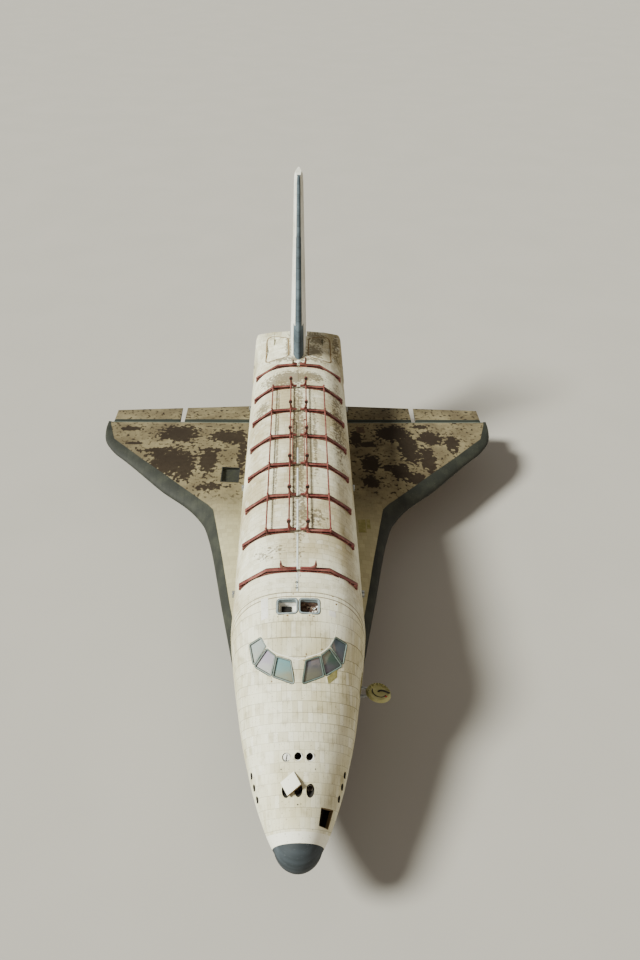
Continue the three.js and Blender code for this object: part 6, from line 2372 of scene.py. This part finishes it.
    def plates(self) -> None:
        """Odd patches on the wings: two bare primer panels, a brown one, and the frame of the open hole."""
        bare = [
            self.plate((3.15, 3.56), (17.85, 18.9), 0.006), self.plate((3.6, 3.8), (18.15, 18.9), 0.005)
        ]
        place_on(joined("bare_panels", bare), AIRFRAME, [self.use.primer])
        brown = bevel(self.plate((3.62, 4.12), (27.66, 28.38), 0.012), 0.005, 1)
        brown.name = "brown_panel"
        place_on(brown, AIRFRAME, [self.use.rust])
        (x0, x1), (s0, s1) = self.hole
        sides = [
            self.plate((x0 - 0.05, x0), (s0 - 0.05, s1 + 0.05), 0.012),
            self.plate((x1, x1 + 0.05), (s0 - 0.05, s1 + 0.05), 0.012),
            self.plate((x0 - 0.05, x1 + 0.05), (s0 - 0.05, s0), 0.013),
            self.plate((x0 - 0.05, x1 + 0.05), (s1, s1 + 0.05), 0.013),
        ]
        frame_piece = joined("hole_frame", sides)
        frame_piece.data.transform(MIRROR)
        frame_piece.data.flip_normals()
        place_on(frame_piece, AIRFRAME, [self.use.seal])

    def seal_strips(self) -> None:
        """The dark strip along the back of each wing, over the elevons' hinges."""
        rings = []
        for x in np.linspace(2.9, 11.7, 30):
            r = self.nose_radius(x)
            lead = self.read("lead", x)
            end = self.hinge - r * self.slot
            points = []
            for back, lift in ((end - 0.07, 0.002), (end - 0.06, 0.006), (end, 0.006), (end, -0.01)):
                share = (back - lead) / (self.hinge - lead)
                points.append((x, at(back), self.surface(x, share)[1] + lift))
            points.append((x, at(end - 0.07), points[0][2] - 0.02))
            rings.append(np.array(points))
        place_pair(skin("strip", rings), "hinge_seal_*", AIRFRAME, [self.use.seal_paint])


@dataclass
class Fin:
    """The fin with its hard leading edge and split rudder."""

    shape: BodyShape
    use: Finishes
    rows: tuple[tuple[float, float, float, float], ...] = (
        # height, stations of the front and the back, and thickness
        (7.2, 27.4, 31.9, 0.94),
        (8.6, 28.49, 32.6, 0.92),
        (15.9, 34.1, 36.15, 0.56),
        (16.2, 34.33, 36.3, 0.50),
        (16.35, 34.52, 36.37, 0.34),
    )
    axis0: Pair = (31.15, 8.72)  # station and z of the hinge line's ends
    axis1: Pair = (35.33, 15.88)
    edge_share: float = 0.17
    run: float = 0.008
    slot: float = 0.75

    def read(self, column: int, z: float) -> float:
        """Reads a column of the rows at a height."""
        return float(np.interp(z, [r[0] for r in self.rows], [r[column] for r in self.rows]))

    def axis(self, z: float) -> Vector:
        """The point of the hinge line at a height."""
        share = (z - self.axis0[1]) / (self.axis1[1] - self.axis0[1])
        return Vector((0, at(self.axis0[0] + (self.axis1[0] - self.axis0[0]) * share), z))

    def width(self, share: float) -> float:
        """Half width of the section over the fin's half thickness, from its front to the hinge line."""
        return float(steady([0, 0.02, 0.08, 0.45, 1.0], [0, 0.2, 0.36, 0.82, 1.0], share))

    def side(self, z: float, first: float, last: float, steps: int) -> list[Pair]:
        """Points of the port side between two shares of the way from the front to the hinge line."""
        lead, half = self.read(1, z), self.read(3, z) / 2
        hinge = self.axis(z).y + HALF_LENGTH
        shares = first + (last - first) * np.linspace(0, 1, steps) ** 1.7
        return [(self.width(t) * half, lead + (hinge - lead) * t) for t in shares]

    def split(self, z: float) -> float:
        """Share of the way to the hinge line where the hard edge ends."""
        lead, trail = self.read(1, z), self.read(2, z)
        return (trail - lead) * self.edge_share / (self.axis(z).y + HALF_LENGTH - lead)

    def heights(self, low: float, high: float) -> np.ndarray:
        """Heights of the sections, close together at the tip."""
        return np.unique(np.concatenate([np.linspace(low, 15.9, 26), np.linspace(15.9, high, 8)]))

    def whole(self, name: str, first: Callable[[float], float]) -> Piece:
        """The fin from a share of its chord to its back edge."""
        rings = []
        for z in self.heights(self.rows[0][0], HEIGHT):
            port = self.side(z, first(z), 1.0, 16)
            port.append((0.03, self.read(2, z)))
            ring = [(x, at(s), z) for x, s in port] + [(-x, at(s), z) for x, s in port[::-1]]
            rings.append(np.array(ring))
        return skin(name, rings)

    def square(self, z0: float, z1: float, ahead: Pair, x0: float, x1: float) -> Piece:
        """A slab cut square to the hinge line, from ahead of it to far behind."""
        lean = math.atan2(self.axis1[0] - self.axis0[0], self.axis1[1] - self.axis0[1])
        aft = Vector((0, math.cos(lean), -math.sin(lean)))
        low, high = self.axis(z0), self.axis(z1)
        corners = [low - aft * ahead[0], low + aft * 3, high + aft * 3, high - aft * ahead[1]]
        return skin("slab", [np.array([(x, p.y, p.z) for p in corners]) for x in (x0, x1)])

    def cone(self, grow: float, z0: float, z1: float) -> Piece:
        """The round body about the hinge line that fits the fin's thickness."""
        radii = [self.read(3, z) / 2 + grow for z in (z0, z1)]
        return rod("cone", self.axis(z0), self.axis(z1), radii[0], 56, radii[1])

    def build(self) -> None:
        """Builds the fin, its edge and the rudder."""
        z0, z1 = self.axis0[1], self.axis1[1]
        radius = [self.read(3, z) / 2 * self.slot for z in (z0, z1)]
        body = self.whole("fin_skin", self.split)
        cut(body, self.square(z0 - self.run, z1 + self.run, (radius[0], radius[1]), -0.9, 0.9))
        cut(body, self.cone(self.run, z0 - self.run, z1 + self.run))
        place_on(body, AIRFRAME, [self.use.fin], ["fin"])
        rings, runs = [], []
        for z in self.heights(self.rows[0][0], HEIGHT - 0.02):
            port = self.side(z, 0.0, self.split(z), 14)
            ring = [(x + 0.004 * min(1, x / 0.02), at(s) - 0.004, z) for x, s in port[::-1]]
            ring += [(-x, y, zz) for x, y, zz in ring[:-1][::-1]]
            rings.append(np.array(ring))
            runs.append(z * 1.26)
        edge = skin("fin_edge_skin", rings, uv=lambda r, i: (runs[r], i * 0.1))
        for face in edge.data.polygons:
            z = face.center.z
            share = float(np.interp(z, [8.7, 9.4, 16.0], [1.1, 0.46, 0.4]))
            face.material_index = int(abs(face.center.x) > share * self.read(3, z) / 2)
        place_on(edge, AIRFRAME, [self.use.fin_edge, self.use.fin], ["fin_leading_edge"], 50)
        half = self.whole("rudder_skin", lambda z: 0.9)
        cut(half, self.square(z0 + self.run, z1 - self.run, (0.0, 0.0), 0.004, 0.9), how="INTERSECT")
        cut(half, self.cone(self.run - 0.06, z0 + 0.16, z1 - 0.16))
        rudder_round = rod("round", self.axis(z0 - 0.1), self.axis(z1 + 0.1), 0.066, 40)
        cut(half, rudder_round)
        node = "rudder_half_*"
        place_pair(half, "rudder_skin_*", node, [self.use.fin], [node])
        spar = self.cone(-0.062, z0 + 0.16, z1 - 0.16)
        journal = rod("journal", self.axis(z0 + 0.044), self.axis(z1 - 0.044), 0.06, 40)
        place_on(
            joined("rudder_spar_round", [spar, journal]),
            "rudder",
            [self.use.alloy],
            ["rudder_spar"],
        )
        knob = spun("fin_root_knob", [(0, 0), (0.13, 0), (0.14, 0.06), (0.1, 0.13), (0, 0.16)], 32)
        place_on(placed(knob, self.shape.on(0, 27.5), (0, 0, 1)), AIRFRAME, [self.use.fin])


@dataclass
class WheelPair:
    """Sizes of a pair of tyres on one axle."""

    name: str
    body: str
    x: float
    s: float
    r: float
    wide: float
    gap: float
    axle: float


@dataclass
class Gear:
    """The landing gear: wheels, legs, braces, hoses and doors."""

    use: Finishes
    main_wheel: Point = (3.5, 24.0, 0.63, 0.08)  # x, station, radius and radius of the axle
    nose_wheel: Point = (0.0, 11.0, 0.42, 0.06)
    tyre_sides: int = 18
    nose_top: float = 2.65
    main_top: float = 2.78

    def centre(self, r: float) -> float:
        """Height of an axle whose tyres stand on a flat."""
        return r * math.cos(math.pi / self.tyre_sides)

    def tyre(self, pair: WheelPair) -> list[Piece]:
        """A tyre, and its rim with holes and bolts, at the origin along Z."""
        r, h = self.centre(pair.r), pair.wide / 2
        groove = 0.012
        wall = [(0.56, 0.62), (0.62, 0.9), (0.72, 1.0), (0.86, 0.98), (0.95, 0.86), (0.99, 0.66)]
        profile = [(r * a, -h * b) for a, b in wall]
        for k in (-2, -1, 0, 1, 2):
            top, deep = r - abs(k) * 0.0015, r - groove
            for radius, share in ((top, -0.05), (deep, -0.035), (deep, 0.035), (top, 0.05)):
                profile.append((radius, h * (0.24 * k + share)))
        profile += [(r * a, h * b) for a, b in wall[::-1]]
        rubber = spun("tyre", profile, 72)
        half = [
            (pair.axle * 0.9, 0.5), (r * 0.3, 0.5), (r * 0.34, 0.36), (r * 0.5, 0.42), (r * 0.57, 0.7)
        ]
        half.append((r * 0.6, 0.7))
        rim = spun("rim", [(a, -h * b) for a, b in half] + [(a, h * b) for a, b in half[::-1]], 64)
        for k in range(8):
            a = math.tau * k / 8
            x, y = r * 0.42 * math.cos(a), r * 0.42 * math.sin(a)
            cut(rim, rod("tool", (x, y, -h), (x, y, h), r * 0.055, 20))
        bolts = []
        for k in range(10):
            a = math.tau * (k + 0.5) / 10
            x, y = r * 0.26 * math.cos(a), r * 0.26 * math.sin(a)
            bolts.append(rod("bolt", (x, y, -h * 0.54), (x, y, h * 0.54), r * 0.022, 6))
        return [rubber, joined("rim", [rim, *bolts])]

    def wheels(self, pair: WheelPair) -> None:
        """Two wheels and their axle."""
        z = self.centre(pair.r)
        reach = (pair.gap + pair.wide) / 2
        rubber, rim = self.tyre(pair)
        tyres, rims = [], []
        for side in (1, -1):
            turn = Matrix.Rotation(math.pi / 2 * side, 4, "Y")
            move = moved(pair.x + side * reach, at(pair.s), z) @ turn
            tyres.append(copied(rubber, "t", move))
            rims.append(copied(rim, "r", move))
        rims.append(
            rod("axle", (pair.x - reach, at(pair.s), z), (pair.x + reach, at(pair.s), z), pair.axle, 40)
        )
        for side in (1, -1):
            ends = [(pair.x + side * (reach + pair.wide * share), at(pair.s), z) for share in (0.2, 0.36)]
            cap = rod("cap", *ends, pair.axle * 0.9, 32, pair.axle * 0.6)
            rims.append(bevel(cap, 0.008, 2))
        for piece in (rubber, rim):
            bpy.data.objects.remove(piece)
        place_on(
            joined(pair.name + "_tyres", tyres), pair.body, [self.use.rubber], [pair.name], 40
        )
        place_on(joined(pair.name + "_rims", rims), pair.body, [self.use.alloy])

    def main_leg(self) -> None:
        """A main leg with its brace, torque links and brake hoses."""
        x, s, r, axle = self.main_wheel
        y, z, top = at(s), self.centre(r), self.main_top - SEAT
        half = 0.2854  # half the hub's length
        knee = (z + 1.35) / 2
        painted = [
            bevel(rod("barrel", (x, y, 1.35), (x, y, top), 0.15, 48), 0.015, 3),
            bevel(rod("collar", (x, y, 1.33), (x, y, 1.47), 0.165, 48), 0.012, 2),
            bevel(rod("collar_b", (x, y, 2.2), (x, y, 2.3), 0.165, 48), 0.012, 2),
            rod("brace", (x, y - 0.15, 1.45), (x, y - 1.5, top - 0.06), 0.055, 32),
            bevel(block("head", (x - 0.12, y - 1.65, top - 0.16), (x + 0.12, y - 1.38, top)), 0.02, 2),
            rod("cross", (x - 0.48, y, top - 0.13), (x + 0.48, y, top - 0.13), 0.075, 32),
            bevel(rod("hub", (x - half, y, z), (x + half, y, z), axle + 0.06, 48), 0.015, 3),
        ]
        for low, high in (((0.06, z + 0.08), (0.33, knee)), ((0.33, knee), (0.06, 1.43))):
            for side in (-0.055, 0.055):
                bar = rod(
                    "link",
                    (x + side, y + low[0], low[1]),
                    (x + side * 0.5, y + high[0], high[1]),
                    0.028,
                    20,
                )
                painted.append(bar)
        painted.append(rod("knee", (x - 0.08, y + 0.33, knee), (x + 0.08, y + 0.33, knee), 0.035, 24))
        bright = [rod("piston", (x, y, z + 0.05), (x, y, 1.36), 0.093, 48)]
        line = [(0.16, -0.06, 2.6), (0.17, -0.06, 1.8), (0.19, -0.1, 1.3), (0.16, -0.14, 0.95)]
        line.append((0.2, -0.05, z + 0.12))
        lines = [hose("line", [(x + side * a, y + b, c) for a, b, c in line], 0.012) for side in (1, -1)]
        for parts, name, slot, finish, nodes in (
            (painted, "main_leg_barrel_*", Slot.ALLOY, self.use.white, ["main_leg_*"]),
            (bright, "main_leg_piston_*", Slot.ALLOY, self.use.chrome, []),
            (lines, "main_leg_hoses_*", Slot.TYRE, self.use.rubber, []),
        ):
            place_pair(joined("part", parts), name, AIRFRAME, [finish], nodes)

    def nose_leg(self) -> None:
        """The fixed nose leg and the fork that steers below it."""
        _, s, r, axle = self.nose_wheel
        y, z, top = at(s), self.centre(r), self.nose_top - SEAT
        fixed = [
            bevel(rod("barrel", (0, y, 1.5), (0, y, top), 0.12, 40), 0.012, 2),
            rod("cross", (-0.53, y, top - 0.11), (0.53, y, top - 0.11), 0.065, 32),
            rod("brace", (0, y + 0.1, 1.65), (0, y + 1.45, top - 0.07), 0.05, 28),
            bevel(block("head", (-0.11, y + 1.33, top - 0.15), (0.11, y + 1.56, top)), 0.015, 2),
            bevel(rod("band", (0, y, 1.62), (0, y, 1.72), 0.135, 40), 0.01, 2),
        ]
        place_on(joined("nose_leg_barrel", fixed), AIRFRAME, [self.use.white], ["nose_leg"])
        half = 0.2204  # half the hub's length
        turning = [
            bevel(rod("collar", (0, y, 1.18), (0, y, 1.4997), 0.15, 40), 0.012, 2),
            bevel(rod("hub", (-half, y, z), (half, y, z), axle + 0.05, 40), 0.012, 2),
            bevel(block("lamp_bar", (-0.16, y - 0.15, 1.27), (0.16, y - 0.09, 1.36)), 0.01, 2),
        ]
        for side in (-1, 1):
            row = (0.04, 0.05, z + 0.08), (0.03, 0.22, 0.78), (0.04, 0.1, 1.2)
            bends = [(side * a, y + b, c) for a, b, c in row]
            turning += [rod("link", *ends, 0.02, 16) for ends in zip(bends, bends[1:])]
            lamp = spun(
                "lamp",
                [
                    (0, -0.05), (0.035, -0.05), (0.07, -0.01), (0.072, 0.02), (0.064, 0.02),
                    (0.055, 0.0), (0, -0.01),
                ],
                28,
            )
            turning.append(placed(lamp, (side * 0.09, y - 0.17, 1.315), (0, -1, 0)))
        place_on(
            joined("nose_fork_frame", turning), "nose_steering", [self.use.white],
            ["nose_fork"],
        )
        piston = rod("nose_piston", (0, y, z + 0.04), (0, y, 1.19), 0.085, 40)
        place_on(piston, "nose_steering", [self.use.chrome])

    def door(
        self,
        wall: float,
        ends: Pair,
        top: float,
        drop: float,
        lean: float,
        thick: float,
        inset: float,
        arms: Triple,
    ) -> Piece:
        """A gear door hanging from the side of its bay, with stiffeners inside.

        Args:
            wall: X of the bay's wall.
            ends: Stations of the bay's ends.
            top: Height of the door's upper edge.
            drop: How far it hangs.
            lean: How far its lower edge stands out.
            thick: Its thickness.
            inset: How far inside the wall it hangs.
            arms: Distance of the arms from the ends, their half width and their top.

        Returns:
            The port door.
        """
        x = wall - inset
        low, high = np.array([x + lean, top - drop]), np.array([x, top])
        loop = [(x, top), (x + thick, top), (x + thick + lean, top - drop), (x + lean, top - drop)]
        rings = [upright(loop, s) for s in (ends[0] + 0.04, ends[1] - 0.04)]
        finishes = self.use.black, self.use.primer
        plate = dressed(bevel(skin("plate", rings), 0.015, 2), *finishes)
        for face in plate.data.polygons:
            face.material_index = int(face.normal.x < -0.5)
        parts = [plate]
        for s in np.linspace(ends[0] + 0.25, ends[1] - 0.25, 5):
            a, b = high + (low - high) * 0.06, high + (low - high) * 0.94
            flat = ((-0.03, -0.02), (0.002, -0.02), (0.002, 0.02), (-0.03, 0.02))
            rib = skin(
                "rib", [np.array([(p[0] + dx, at(s) + dy, p[1]) for dx, dy in flat]) for p in (a, b)]
            )
            for face in dressed(rib, *finishes).data.polygons:
                face.material_index = 1
            parts.append(rib)
        for s in (ends[0] + arms[0], ends[1] - arms[0]):
            arm = block("arm", (x, at(s) - arms[1], top - 0.06), (wall - SEAT, at(s) + arms[1], arms[2]))
            parts.append(bevel(dressed(arm, *finishes), 0.008, 2))
        return joined("door", parts)

    def doors(self) -> None:
        """All four gear doors and the rods that tie the main ones to their legs."""
        main = self.door(4.48, MAIN_BAY, 2.08, 1.38, 0.12, 0.06, 0.08, (0.5, 0.04, 2.5))
        tie = rod("tie", (4.49, at(23.7), 1.45), (3.645, at(23.98), 1.62), 0.028, 20)
        main = joined("door", [main, dressed(tie, self.use.black)])
        nose = self.door(0.56, NOSE_BAY, 1.91, 0.56, 0.09, 0.045, 0.05, (0.35, 0.035, 2.3))
        for door, name in ((main, "main_gear_door_"), (nose, "nose_gear_door_")):
            finishes = [self.use.black, self.use.primer]
            place_pair(door, name + "panel_*", AIRFRAME, finishes, [name + "*"])

    def build(self) -> None:
        """Builds all the gear."""
        x, s, r, axle = self.main_wheel
        for side, sign in SIDES.items():
            name = "main_wheels_" + side
            self.wheels(WheelPair(name, name, sign * x, s, r, 0.38, 0.4, axle))
        x, s, r, axle = self.nose_wheel
        self.wheels(WheelPair("nose_wheels", "nose_wheels", x, s, r, 0.27, 0.32, axle))
        self.main_leg()
        self.nose_leg()
        self.doors()


@dataclass
class Studio:
    """The floor, the soft lights and the camera."""

    eye: Triple = (-0.003, -32.046, 30.728)
    pitch: float = 37.213  # degrees below the horizon
    yaw: float = 1.935
    roll: float = -1.206
    focal_pixels: float = 805.138
    frame_height: int = 960
    sensor: float = 36.0

    def camera(self) -> None:
        """The camera at the photograph's viewing angle."""
        data = bpy.data.cameras.new("camera")
        data.sensor_width = self.sensor
        data.lens = self.focal_pixels / self.frame_height * self.sensor
        data.clip_end = 2000
        camera = bpy.data.objects.new("camera", data)
        tilt = Euler((math.pi / 2 - math.radians(self.pitch), 0, -math.radians(self.yaw))).to_matrix()
        bank = Euler((0, 0, -math.radians(self.roll))).to_matrix()
        camera.matrix_world = Matrix.Translation(self.eye) @ (tilt @ bank).to_4x4()
        bpy.context.scene.collection.objects.link(camera)
        bpy.context.scene.camera = camera

    def floor(self) -> None:
        """A wide pale floor."""
        bpy.ops.object.select_all(action="DESELECT")
        bpy.ops.mesh.primitive_plane_add(size=1600, location=(0, 0, 0))
        plane = settle("studio_floor")
        shade = Shading("pale_floor")
        where = shade.place()
        tone = shade.blended(shade.cloud(6.0, where, 3), "A3A19B", "ABA8A2")
        shade.set(Base_Color=tone, Roughness=0.85, Specular_IOR_Level=0.2)
        plane.data.materials.append(shade.material)

    def sun(self, name: str, direction: Triple, strength: float, colour: str, angle: float) -> None:
        """A broad, soft, far light that shines along a direction."""
        data = bpy.data.lights.new(name, "SUN")
        data.energy = strength
        data.angle = math.radians(angle)
        data.color = linear(colour)[:3]
        lamp = bpy.data.objects.new(name, data)
        lamp.rotation_mode = "QUATERNION"
        lamp.rotation_quaternion = Vector(direction).to_track_quat("-Z", "Y")
        bpy.context.scene.collection.objects.link(lamp)

    def lights(self) -> None:
        """A strong key from the starboard side, a weak warm fill and a soft sky."""
        self.sun("key", (0.72, 0.14, -0.68), 8.4, "FFFFF4", 14)
        self.sun("fill", (-0.6, 0.5, -0.6), 0.5, "FFDDB0", 40)
        world = bpy.data.worlds.new("soft_sky")
        world.use_nodes = True
        back = world.node_tree.nodes["Background"]
        back.inputs[0].default_value = linear("D8D6D0")
        back.inputs[1].default_value = 0.40
        bpy.context.scene.world = world

    def build(self) -> None:
        """Builds the whole studio."""
        self.camera()
        self.floor()
        self.lights()


def dress_nodes(use: Finishes) -> None:
    """Gives the plain nodes that still show their finishes."""
    finishes = {
        "flight_deck": use.cabin,
        "forward_attach": use.alloy,
        "aft_attach_port": use.alloy,
        "aft_attach_starboard": use.alloy,
    }
    for name, material in finishes.items():
        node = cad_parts[name]
        if not node.data.materials:
            node.data.materials.append(material)
        for number in range(len(node.material_slots)):
            node.material_slots[number].material = material


def main() -> None:
    """Builds the orbiter around its frame."""
    logging.basicConfig(level=logging.INFO, format="%(message)s")
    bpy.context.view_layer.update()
    Studio().build()
    use = Finishes()
    shape = BodyShape()
    dress_nodes(use)
    Nose(shape, use).build()
    Hatch(use).build(shape)
    PayloadBay(shape, use).build()
    TailEnd(shape, use).build()
    Wing(use).build()
    Fin(shape, use).build()
    Gear(use).build()
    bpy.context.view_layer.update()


if __name__ == "__main__":
    main()
